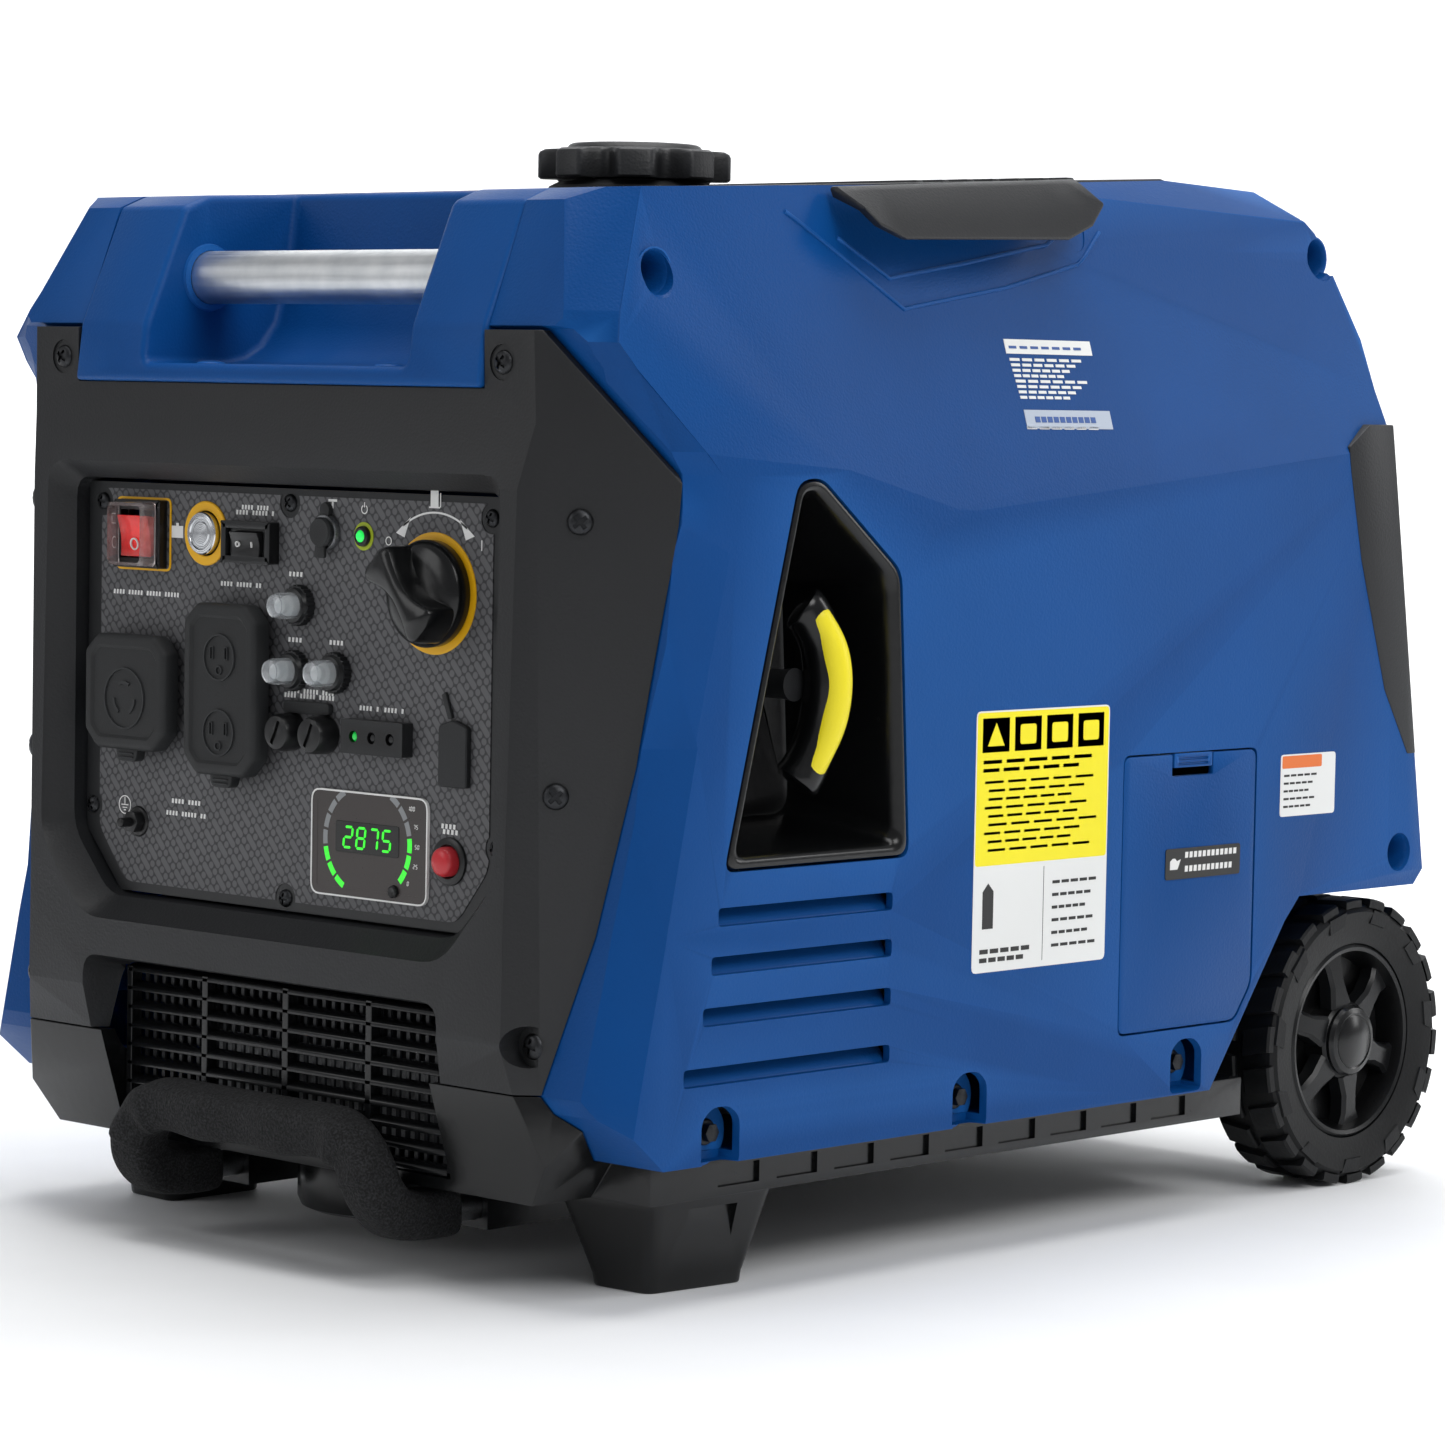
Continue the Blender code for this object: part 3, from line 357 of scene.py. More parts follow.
def finish(tree, shader, height, distance_mm, **sockets):
    """Link the worked-out values to the shader, and the height as bump."""
    for key, value in sockets.items():
        tree.links.new(value, shader.inputs[key.replace("_", " ")])
    normal = add(tree, "ShaderNodeBump", {"Height": height, "Distance": distance_mm / 1000, "Strength": 1.0})
    tree.links.new(normal, shader.inputs["Normal"])


def grained_plastic(name, colour, roughness, grain_mm, height_mm, drift=0.06, edge_highlight="", sheen=0.5):
    """Moulded plastic: a pebbled mould grain, a slow drift of tone, and a painted highlight that lightens the convex
    edges.
    """
    mat, tree, shader = new_material(name, Specular_IOR_Level=sheen)
    base = linear(colour)
    point = add(tree, "ShaderNodeTexCoord", output="Object")
    slow = add(tree, "ShaderNodeTexNoise", {"Vector": point, "Scale": 9.0, "Detail": 3.0})
    patches = add(tree, "ShaderNodeMapRange", {0: slow, 1: 0.35, 2: 0.65})
    tone = add(tree, "ShaderNodeMix", {0: patches, 6: tuple(c * (1 - drift * 2) for c in base[:3]) + (1.0,), 7: base},
               2, data_type="RGBA")
    cells = add(tree, "ShaderNodeTexVoronoi", {"Vector": point, "Scale": 1000 / grain_mm}, feature="SMOOTH_F1")
    fine = add(tree, "ShaderNodeTexNoise", {"Vector": point, "Scale": 1400 / grain_mm, "Detail": 2.0})
    relief = add(tree, "ShaderNodeMath", {0: fine, 1: 0.5, 2: cells}, operation="MULTIPLY_ADD")
    # Painted highlight: where Pointiness is high, on convex edges, the colour is mixed towards a lighter one.
    if edge_highlight:
        edge_highlight_mask = add(tree, "ShaderNodeMapRange", {
            0: add(tree, "ShaderNodeNewGeometry", output="Pointiness"), 1: 0.52, 2: 0.60, 4: 0.35})
        tone = add(tree, "ShaderNodeMix", {0: edge_highlight_mask, 6: tone, 7: linear(edge_highlight)}, 2, data_type="RGBA")
    rough = add(tree, "ShaderNodeMapRange", {0: fine, 3: max(roughness - 0.06, 0.02), 4: roughness + 0.06})
    finish(tree, shader, relief, height_mm, Base_Color=tone, Roughness=rough)
    return mat


def brushed_aluminium():
    """Drawn aluminium tube, brushed round its length: fine scratches along X, cloudy satin sheen."""
    mat, tree, shader = new_material("brushed_aluminium_tube", Metallic=1.0)
    point = add(tree, "ShaderNodeTexCoord", output="Object")
    stretch = add(tree, "ShaderNodeVectorMath", {0: point, 1: (14.0, 900.0, 900.0)}, operation="MULTIPLY")
    lines = add(tree, "ShaderNodeTexNoise", {"Vector": stretch, "Scale": 1.0, "Detail": 4.0})
    cloud = add(tree, "ShaderNodeTexNoise", {"Vector": point, "Scale": 60.0, "Detail": 3.0})
    patches = add(tree, "ShaderNodeMapRange", {0: cloud, 1: 0.3, 2: 0.7})
    tone = add(tree, "ShaderNodeMix", {0: patches, 6: linear("C9CDD0"), 7: linear("E4E6E7")}, 2, data_type="RGBA")
    rough = add(tree, "ShaderNodeMapRange", {0: lines, 3: 0.26, 4: 0.51})
    finish(tree, shader, lines, 0.04, Base_Color=tone, Roughness=rough)
    return mat


def spun_metal(name, colour, centre, roughness):
    """Turned metal face: tight rings round its centre, 0.8 mm apart, on the xz plane."""
    mat, tree, shader = new_material(name, Metallic=1.0)
    point = add(tree, "ShaderNodeTexCoord", output="Object")
    away = add(tree, "ShaderNodeVectorMath", {0: point, 1: centre}, operation="SUBTRACT")
    flat = add(tree, "ShaderNodeVectorMath", {0: away, 1: (1, 0, 1)}, operation="MULTIPLY")
    radius = add(tree, "ShaderNodeVectorMath", {0: flat}, "Value", operation="LENGTH")
    turns = add(tree, "ShaderNodeMath", {0: radius, 1: math.tau / 0.0008}, operation="MULTIPLY")
    rings = add(tree, "ShaderNodeMath", {0: turns}, operation="SINE")
    rough = add(tree, "ShaderNodeMapRange", {0: rings, 1: -1.0, 2: 1.0, 3: roughness - 0.06, 4: roughness + 0.06})
    haze = add(tree, "ShaderNodeTexNoise", {"Vector": point, "Scale": 140.0, "Detail": 3.0})
    tone = add(tree, "ShaderNodeMix", {0: haze, 6: linear("B9BCC0"), 7: linear(colour)}, 2, data_type="RGBA")
    finish(tree, shader, rings, 0.02, Base_Color=tone, Roughness=rough)
    return mat


def printed_panel_film():
    """Screen-printed polycarbonate film: light grey dots and capsules, 3.3 mm wide, on dark grey."""
    mat, tree, shader = new_material("printed_polycarbonate_film", Specular_IOR_Level=0.3)
    unit, row_height, period, shift, reach = 0.00434, 0.00383, 5.0, 2.466, 0.385
    point = add(tree, "ShaderNodeTexCoord", output="Object")
    x, z = (add(tree, "ShaderNodeSeparateXYZ", {0: point}, axis) for axis in "XZ")
    lean = math.radians(-48)
    calculations = (  # name, operation, three inputs: numbers or earlier names
        ("z_along", "MULTIPLY", z, math.sin(lean) / unit, 0),
        ("along", "MULTIPLY_ADD", x, math.cos(lean) / unit, "z_along"),
        ("z_across", "MULTIPLY", z, math.cos(lean) / row_height, 0),
        ("across", "MULTIPLY_ADD", x, -math.sin(lean) / row_height, "z_across"),
        ("row", "FLOOR", "across", 0, 0),
        ("within", "FRACT", "across", 0, 0),
        ("off_centre", "SUBTRACT", "within", 0.5, 0),
        ("off_row", "MULTIPLY", "off_centre", row_height / unit, 0),
        ("slid", "MULTIPLY_ADD", "row", -shift, "along"),
        ("inside", "FLOORED_MODULO", "slid", period, 0),
        ("capsule_start", "MAXIMUM", "inside", 0.38, 0),
        ("capsule", "MINIMUM", "capsule_start", 1.77, 0),
        ("dot_step", "SUBTRACT", "inside", 2.15, 0),
        ("dot_count", "DIVIDE", "dot_step", 0.95, 0),
        ("dot_floor", "FLOOR", "dot_count", 0, 0),
        ("dot", "MULTIPLY_ADD", "dot_floor", 0.95, 2.15 + 0.475),
        ("in_dots", "GREATER_THAN", "inside", 2.15, 0),
        ("dot_less_capsule", "SUBTRACT", "dot", "capsule", 0),
        ("nearest", "MULTIPLY_ADD", "in_dots", "dot_less_capsule", "capsule"),
        ("gap", "SUBTRACT", "inside", "nearest", 0),
        ("gap_squared", "MULTIPLY", "gap", "gap", 0),
        ("square", "MULTIPLY_ADD", "off_row", "off_row", "gap_squared"),
        ("distance", "SQRT", "square", 0, 0),
    )
    made = {}
    for name, operation, *values in calculations:
        inputs = {i: made[v] if isinstance(v, str) else v for i, v in enumerate(values)}
        made[name] = add(tree, "ShaderNodeMath", inputs, operation=operation)
    tile = add(tree, "ShaderNodeMapRange", {0: made["distance"], 1: reach - 0.06, 2: reach + 0.05, 3: 1.0, 4: 0.0})
    tone = add(tree, "ShaderNodeMix", {0: tile, 6: linear(PAINT["film_ground"]), 7: linear(PAINT["film_tile"])}, 2,
               data_type="RGBA")
    speck = add(tree, "ShaderNodeTexNoise", {"Vector": point, "Scale": 2200.0, "Detail": 2.0})
    rough = add(tree, "ShaderNodeMapRange", {0: speck, 3: 0.42, 4: 0.54})
    finish(tree, shader, tile, 0.03, Base_Color=tone, Roughness=rough)
    return mat


def pebbled_foam():
    """Moulded neoprene foam: coarse matt pebbles about 1.6 mm across, each lighter at its crown as a painted highlight.
    """
    mat, tree, shader = new_material("pebbled_foam_grip", Roughness=0.85, Specular_IOR_Level=0.35)
    point = add(tree, "ShaderNodeTexCoord", output="Object")
    cells = add(tree, "ShaderNodeTexVoronoi", {"Vector": point, "Scale": 620.0}, feature="SMOOTH_F1")
    crumbs = add(tree, "ShaderNodeTexNoise", {"Vector": point, "Scale": 900.0, "Detail": 3.0})
    relief = add(tree, "ShaderNodeMath", {0: crumbs, 1: 1.2, 2: cells}, operation="MULTIPLY_ADD")
    # Painted highlight: the crowns of the pebbles are mixed towards a lighter grey.
    pebble_peak_highlight = add(tree, "ShaderNodeMapRange", {0: crumbs, 1: 0.42, 2: 0.72})
    tone = add(tree, "ShaderNodeMix", {0: pebble_peak_highlight, 6: linear("0B0B0C"), 7: linear("2E2F31")}, 2, data_type="RGBA")
    finish(tree, shader, relief, 0.7, Base_Color=tone)
    return mat


def clear_moulding(name, colour, roughness=0.08):
    """Clear moulded vinyl: glossy, slightly milky, thin enough to see the button inside."""
    mat, tree, shader = new_material(name, Roughness=roughness, IOR=1.46, Transmission_Weight=0.85)
    point = add(tree, "ShaderNodeTexCoord", output="Object")
    haze = add(tree, "ShaderNodeTexNoise", {"Vector": point, "Scale": 300.0, "Detail": 2.0})
    tone = add(tree, "ShaderNodeMix", {0: haze, 6: linear(colour), 7: linear("FFFFFF")}, 2, data_type="RGBA")
    finish(tree, shader, haze, 0.01, Base_Color=tone)
    return mat


def lit_plastic(name, colour, glow, strength, centre=(0, 0, 0), spread=0.010):
    """Translucent switch plastic lit from behind: brightest at its middle, fading to its rim."""
    mat, tree, shader = new_material(name, Roughness=0.22, Coat_Weight=0.4, Emission_Strength=strength)
    point = add(tree, "ShaderNodeTexCoord", output="Object")
    away = add(tree, "ShaderNodeVectorMath", {0: point, 1: centre}, operation="SUBTRACT")
    radius = add(tree, "ShaderNodeVectorMath", {0: away}, "Value", operation="LENGTH")
    fade = add(tree, "ShaderNodeMapRange", {0: radius, 1: spread * 0.15, 2: spread, 3: 1.0, 4: 0.12})
    ripple = add(tree, "ShaderNodeTexNoise", {"Vector": point, "Scale": 420.0, "Detail": 2.0})
    tone = add(tree, "ShaderNodeMix", {0: ripple, 6: linear(colour), 7: linear(glow)}, 2, data_type="RGBA")
    light = add(tree, "ShaderNodeMix", {0: fade, 6: (0, 0, 0, 1), 7: linear(glow)}, 2, data_type="RGBA")
    finish(tree, shader, ripple, 0.02, Base_Color=tone, Emission_Color=light)
    return mat


def cast_metal(name, colour, roughness, grain_mm=0.9):
    """Sand- or die-cast metal: rough pebbled skin with darker hollows."""
    mat, tree, shader = new_material(name, Metallic=1.0)
    point = add(tree, "ShaderNodeTexCoord", output="Object")
    pebbles = add(tree, "ShaderNodeTexNoise", {"Vector": point, "Scale": 1000 / grain_mm, "Detail": 4.0})
    hollows = add(tree, "ShaderNodeMapRange", {0: pebbles, 1: 0.35, 2: 0.65})
    tone = add(tree, "ShaderNodeMix", {0: hollows, 6: tuple(c * 0.7 for c in linear(colour)), 7: linear(colour)}, 2,
               data_type="RGBA")
    rough = add(tree, "ShaderNodeMapRange", {0: pebbles, 3: roughness - 0.1, 4: roughness + 0.1})
    finish(tree, shader, pebbles, 0.12, Base_Color=tone, Roughness=rough)
    return mat


PAINT = {
    "frame_black": "1A1B1D",
    "base_black": "08090A",
    "film_ground": "38383A",
    "film_tile": "5C5C5E",
}
FINISH = {}


def make_materials(settings):
    """All the finishes of the object, by a maker's name."""
    blue = "".join(f"{round(c * 255):02X}" for c in settings.blue)
    return {
        # The lighter colours given for convex edges in several finishes below are painted highlights.
        # Spark-eroded mould texture: an even leather grain that scatters a soft highlight.
        "blue": grained_plastic("spark_textured_blue_abs", blue, 0.42, 1.3, 0.10, 0.05, edge_highlight="2F74C4", sheen=0.14),
        # The same grain in black: greyish where light grazes it, with a painted highlight that makes its convex edges
        # paler.
        "black": grained_plastic("spark_textured_black_abs", PAINT["frame_black"], 0.46, 1.3, 0.10, 0.08, edge_highlight="3A3C40",
                                 sheen=0.4),
        # Polished mould: the base takes clear reflections with faint flow marks.
        "gloss_black": grained_plastic("polished_black_abs", PAINT["base_black"], 0.24, 5.0, 0.04, 0.08, edge_highlight="1E1F21",
                                       sheen=0.4),
        # Switchgear nylon: smooth, satin.
        "satin_black": grained_plastic("satin_black_nylon", "111112", 0.32, 0.8, 0.02, 0.05, edge_highlight="2A2C2E", sheen=0.4),
        # Moulded rubber: dull, with a talc-like bloom.
        "rubber": grained_plastic("moulded_black_rubber", "17181A", 0.62, 1.0, 0.06, 0.10, sheen=0.3),
        "tyre": grained_plastic("solid_tyre_rubber", "08090A", 0.50, 1.6, 0.08, 0.12, edge_highlight="1C1D1F", sheen=0.25),
        "rim": grained_plastic("moulded_rim_nylon", "0A0A0B", 0.30, 1.1, 0.03, 0.06, edge_highlight="202224", sheen=0.3),
        "yellow_pad": grained_plastic("soft_touch_yellow_pad", "F4E318", 0.45, 0.9, 0.04, 0.04),
        "yellow_ring": grained_plastic("printed_yellow_ring", "F0B40A", 0.40, 0.9, 0.01, 0.03),
        "screw": cast_metal("black_oxide_screw_steel", "3C3D3F", 0.38, 0.6),
        "steel": cast_metal("zinc_plated_steel", "9A9C9F", 0.36, 0.8),
        "cast": cast_metal("die_cast_aluminium", "A7A9AB", 0.55, 0.9),
        "copper": cast_metal("enamelled_copper_winding", "B5622E", 0.40, 0.5),
        "tank": grained_plastic("painted_tank_steel", "1D1E20", 0.35, 2.5, 0.03, 0.06),
        "white_ink": grained_plastic("white_screen_ink", "E8E8E6", 0.50, 0.7, 0.004, 0.03),
        "green_ring": grained_plastic("yellow_green_bezel", "A6B81E", 0.35, 0.8, 0.01, 0.04),
        "display_film": grained_plastic("brown_display_film", "3A3432", 0.30, 1.0, 0.006, 0.04),
        "dark_window": grained_plastic("smoked_display_window", "0C0B0B", 0.12, 1.0, 0.003, 0.04),
        "label_yellow": grained_plastic("yellow_label_film", "F7E800", 0.36, 1.2, 0.006, 0.02),
        "label_white": grained_plastic("white_label_film", "E6E7E5", 0.36, 1.2, 0.006, 0.02),
        "label_grey": grained_plastic("silver_label_film", "A9B4C4", 0.30, 1.2, 0.006, 0.03),
        "label_orange": grained_plastic("orange_label_film", "E4722C", 0.36, 1.2, 0.006, 0.02),
        "label_ink": grained_plastic("black_label_ink", "1B1B1A", 0.45, 0.8, 0.004, 0.03),
        "label_blue_ink": grained_plastic("blue_label_ink", "1D4E96", 0.40, 0.8, 0.004, 0.03),
        "gauge_grey": grained_plastic("grey_display_ink", "8B8E90", 0.45, 0.8, 0.004, 0.03),
        "lid": grained_plastic("textured_thermoplastic_rubber", "202122", 0.60, 0.9, 0.05, 0.06, edge_highlight="36383A", sheen=0.35),
        "floor": grained_plastic("pale_studio_floor", "F6F7F8", 0.75, 6.0, 0.02, 0.01),
        "start_metal": spun_metal("spun_chrome_button", "E8EAEC", (-0.060, PLATE_Y + SHIFT, 0.3426), 0.16),
        "aluminium": brushed_aluminium(),
        "film": printed_panel_film(),
        "foam": pebbled_foam(),
        "boot": clear_moulding("clear_vinyl_boot", "DCE4EA"),
        "guard": clear_moulding("smoked_switch_guard", "B89C98", 0.05),
        "red_lit": lit_plastic("lit_red_polycarbonate", "A00606", "E01008", 0.35,
                               (-0.104, PLATE_Y + SHIFT - 0.006, 0.341), 0.016),
        "red": grained_plastic("moulded_red_polypropylene", "C4202A", 0.30, 1.2, 0.01, 0.05, edge_highlight="E06068"),
        "green_lit": lit_plastic("lit_green_lens", "0E9A3C", "20E858", 1.5, (0.052, PLATE_Y + SHIFT - 0.006, 0.345), 0.006),
        "digit": lit_plastic("green_display_segment", "18B81C", "34E42C", 0.85, (0.058, PLATE_Y + SHIFT, 0.204), 0.08),
    }


# Shared small pieces -------------------------------------------------------------
def screw(radius, head):
    """Domed pan screw facing the front, seated on the y = 0 plane."""
    dome = [(0, -0.004), (radius * 0.55, -0.004), (radius * 0.55, 0), (radius, 0)]
    dome += [(radius * math.cos(a), head * math.sin(a)) for a in (0.35, 0.7, 1.05, 1.35)] + [(0, head)]
    return turned(dome, "y", 28)


def put_screw(name, material, at, radius=0.0042, head=0.0022, turn=(0, 0), spin=20, body="root"):
    """Fit one screw; turn is its tilt about x and then about z in degrees."""
    obj = place(name, screw(radius, head), material, body, smooth=False, slot="plated_steel")
    arm, thick = radius * 0.62, radius * 0.16
    for half_x, half_z in ((arm, thick), (thick, arm)):
        combine(obj, block((-half_x, -head - 0.001, -half_z), (half_x, -head * 0.45, half_z)))
    place_at(obj, at, turn, spin)
    shade(obj)
    return obj


def place_at(obj, at, turn=(0, 0), spin=0):
    """Turn a finished mesh that faces the front about its own middle and set it at a station."""
    spot = Vector((at[0], at[1] + SHIFT, at[2]))
    turning = (Matrix.Rotation(math.radians(turn[1]), 4, "Z") @ Matrix.Rotation(math.radians(turn[0]), 4, "X")
               @ Matrix.Rotation(math.radians(spin), 4, "Y"))
    obj.data.transform(Matrix.Translation(spot) @ turning @ Matrix.Translation((0, -SHIFT, 0)))


def hex_bolt(radius, head):
    """Flanged hexagon bolt facing the front."""
    flange = turned([(0, -0.004), (radius, -0.004), (radius, 0.0006), (radius * 0.9, 0.0014), (0, 0.0014)], "y", 28)
    hexagon = [(radius * 0.74 * math.cos(k * math.tau / 6), radius * 0.74 * math.sin(k * math.tau / 6)) for k in range(6)]
    return joined(flange, prism(hexagon, "y", -head, 0.001))


# Side shells ---------------------------------------------------------------------
SHELL_REST = [(-0.0860, 0.0900), (-0.0570, 0.0655), (0.3420, 0.0655), (0.4020, 0.1480),
              (0.4140, 0.1600), (0.5150, 0.1600), (0.5230, 0.1680), (0.4780, 0.4480),
              (0.4550, 0.5030), (0.4300, 0.5240), (0.3600, 0.5270), (0.2000, 0.5180),
              (-0.0560, 0.5060), (-0.0710, 0.5000), (-0.0930, 0.4430)]
DOOR = [(0.2660, 0.0990), (0.3610, 0.0990), (0.3750, 0.1180), (0.3750, 0.2390), (0.2660, 0.2390)]
LOUVRES = [(0.1780, -0.0240), (0.1560, -0.0280), (0.1330, -0.0330), (0.1060, -0.0450)]
LOUVRE_REAR, LOUVRE_H = 0.0950, 0.0085
LEAN = 0.304
FACE_X = SIDE_X - 0.0005               # side face; labels lie on it
CREASE_Z = 0.385
BOLT_POCKETS = [(-0.020, 0.0800), (0.154, 0.0800), (0.322, 0.0820)]
SCREW_POCKETS = [(-0.046, 0.468), (0.456, 0.490), (0.501, 0.178)]


def upper_cut():
    """Everything outside the leaning upper side, with a ledge that deepens towards the rear."""
    sections = []
    for y, ledge_low, ledge_high, depth, slope in ((-0.130, 0.392, 0.393, 0.0002, LEAN),
                                                   (0.060, 0.378, 0.379, 0.0002, LEAN),
                                                   (0.137, 0.358, 0.362, 0.0006, LEAN),
                                                   (0.560, 0.398, 0.436, 0.0130, 0.26)):
        top = 0.560
        lean_from = SIDE_X - depth
        sections.append([(SIDE_X + 0.02, y, ledge_low), (SIDE_X, y, ledge_low), (lean_from, y, ledge_high),
                         (lean_from - slope * (top - ledge_high), y, top), (SIDE_X + 0.02, y, top)])
    return skin(sections)


def lean_x(y, z):
    """Outer face of the shell on the leaning upper side ahead of the ledge."""
    return SIDE_X - LEAN * max(0.0, z - CREASE_Z)


def lean_prism(outline, sink):
    """Shape over an outline (y, z) whose inner face lies a depth below the leaning side."""
    inner = [(lean_x(y, z) - sink, y, z) for y, z in outline]
    outer = [(0.26, y, z) for y, z in outline]
    return skin([inner, outer])


FRONT_CHAMFER = (  # z, where the chamfer leaves the side (x, y), where it meets the black bezel (x, y)
    (0.040, (0.2265, -0.0840), (0.2070, -0.1020)), (0.098, (0.2265, -0.0730), (0.2075, -0.0885)),
    (0.170, (0.2265, -0.0570), (0.2080, -0.0735)), (0.255, (0.2265, -0.0390), (0.2120, -0.0605)),
    (0.342, (0.2265, -0.0180), (0.2200, -0.0530)), (0.364, (0.2265, -0.0120), (0.2240, -0.0500)),
    (0.388, (0.2256, -0.0370), (0.2225, -0.0510)), (0.424, (0.2146, -0.0710), (0.2010, -0.0780)),
    (0.436, (0.2110, -0.0800), (0.1950, -0.0870)), (0.450, (0.2068, -0.0750), (0.1890, -0.0890)),
    (0.505, (0.1900, -0.0460), (0.1740, -0.0610)), (0.560, (0.1900, -0.0200), (0.1740, -0.0350)))


def front_chamfer():
    """What lies outside the chamfer that runs down the shell's front edge."""
    sections = []
    for z, leaves, meets in FRONT_CHAMFER:
        leave, meet = Vector(leaves), Vector(meets)
        far = meet + (meet - leave) * 0.5
        sections.append([(leave.x, leave.y, z), (far.x, far.y, z), (0.29, far.y, z), (0.29, leave.y, z)])
    return skin(sections)


def make_shell(side, label, settings):
    outline = SEAM + SHELL_REST
    bm = prism(outline, "x", SEAM_X, FACE_X)
    sliced(bm, Vector((0.178, 0, 0.5200)), Vector((0.6, 0, 0.8)))
    shell = place(f"side_shell_{label}", sided(bm, side), FINISH["blue"], smooth=False,
                  replaces=[f"side_panel_{label}"], slot="blue_housing")
    combine(shell, sided(upper_cut(), side))
    combine(shell, sided(front_chamfer(), side))
    round_edges(shell, settings.edge, 3, 12)
    for grip_outline, sink in (([(0.056, 0.560), (0.134, 0.457), (0.284, 0.481), (0.302, 0.560)], 0.0016),
                               ([(0.078, 0.560), (0.147, 0.470), (0.268, 0.488), (0.282, 0.560)], 0.0032)):
        combine(shell, sided(lean_prism(rounded(grip_outline, 0.006, 3), sink), side))
    inside = prism(shrunk(outline, 0.0045), "x", 0.100, SIDE_X - 0.0045)
    sliced(inside, Vector((0.174, 0, 0.5160)), Vector((0.6, 0, 0.8)))
    sliced(inside, Vector((SIDE_X - 0.0085, 0, 0.350)), Vector((1.0, 0, 0.304)))
    sliced(inside, Vector((0.2060, -0.060, 0.255)), Vector((1.0, -0.85, 0.0)))
    sliced(inside, Vector((0, -0.045, 0.440)), Vector((0, -0.85, 0.53)))
    combine(shell, sided(inside, side))
    cuts = []
    for z, front in LOUVRES:
        slot_outline = rounded([(front, z - LOUVRE_H / 2), (LOUVRE_REAR, z - LOUVRE_H / 2),
                                (LOUVRE_REAR, z + LOUVRE_H / 2), (front, z + LOUVRE_H / 2)], 0.002, 2)
        cuts.append(prism(slot_outline, "x", 0.19, 0.24))
    for y, z in BOLT_POCKETS:
        outline = rounded([(y - 0.013, z - 0.016), (y + 0.013, z - 0.016), (y + 0.013, z + 0.006),
                           (y + 0.006, z + 0.012), (y - 0.006, z + 0.012), (y - 0.013, z + 0.006)], 0.004, 3)
        cuts.append(skin([[(SIDE_X - 0.012, *p) for p in shrunk(outline, 0.0020)], [(SIDE_X + 0.002, *p) for p in outline]]))
    for y, z in SCREW_POCKETS:
        face = lean_x(y, z) if z > 0.3 else SIDE_X
        cone = moved(turned([(0, -0.022), (0.0075, -0.022), (0.0105, 0.002), (0.0118, 0.0035), (0.0118, 0.02), (0, 0.02)],
                            "x", 32), (face, y, z))
        cuts.append(cone)
    if side > 0:
        cuts.append(prism(rounded(RECESS, 0.007), "x", 0.19, 0.24))
        cuts.append(prism(rounded(DOOR, 0.005), "x", 0.19, 0.24))
    for cut in cuts:
        combine(shell, sided(cut, side))
    shade(shell, 30)


def make_shell_trims(side, label):
    """Liners behind the pockets and the ledges between the louvres, with their bolts."""
    for index, (y, z) in enumerate(BOLT_POCKETS):
        bolt = rotated(hex_bolt(0.0062, 0.0052), 90, "Z")
        cup = moved(turned([(0, -0.0135), (0.0150, -0.0135), (0.0150, -0.0125), (0, -0.0125)], "x", 24),
                    (SIDE_X, y, z - 0.002))
        place(f"pocket_floor_{label}_{index}", sided(cup, side), FINISH["blue"], slot="blue_housing")
        place(f"base_bolt_{label}_{index}", sided(moved(bolt, (SIDE_X - 0.0105, y, z - 0.001)), side),
              FINISH["screw"], bevel=0.0004, slot="plated_steel")
    for index, (y, z) in enumerate(SCREW_POCKETS):
        face = lean_x(y, z) if z > 0.3 else SIDE_X
        cup = turned([(0, -0.0240), (0.0100, -0.0240), (0.0100, -0.0020), (0.0116, -0.0005), (0.0108, -0.0005),
                      (0.0090, -0.0035), (0.0074, -0.0215), (0, -0.0215)], "x", 32)
        place(f"screw_pocket_{label}_{index}", sided(moved(cup, (face - 0.0008, y, z)), side), FINISH["blue"],
              slot="blue_housing")
        head = rotated(screw(0.0048, 0.0022), 90, "Z")
        place(f"deep_screw_{label}_{index}", sided(moved(head, (face - 0.0210, y, z)), side), FINISH["screw"],
              slot="plated_steel")
    for index, (z, front) in enumerate(LOUVRES):
        lower, upper = z - LOUVRE_H / 2, z + LOUVRE_H / 2
        blade = [(SIDE_X - 0.0045, lower - 0.003), (SIDE_X - 0.0045, lower + 0.0004), (SIDE_X - 0.016, upper + 0.004),
                 (SIDE_X - 0.018, upper + 0.003)]
        place(f"louvre_blade_{label}_{index}", sided(prism([(x, h) for x, h in blade], "y", front - 0.003, LOUVRE_REAR + 0.003),
                                                     side), FINISH["blue"], bevel=0.0004, slot="blue_housing")


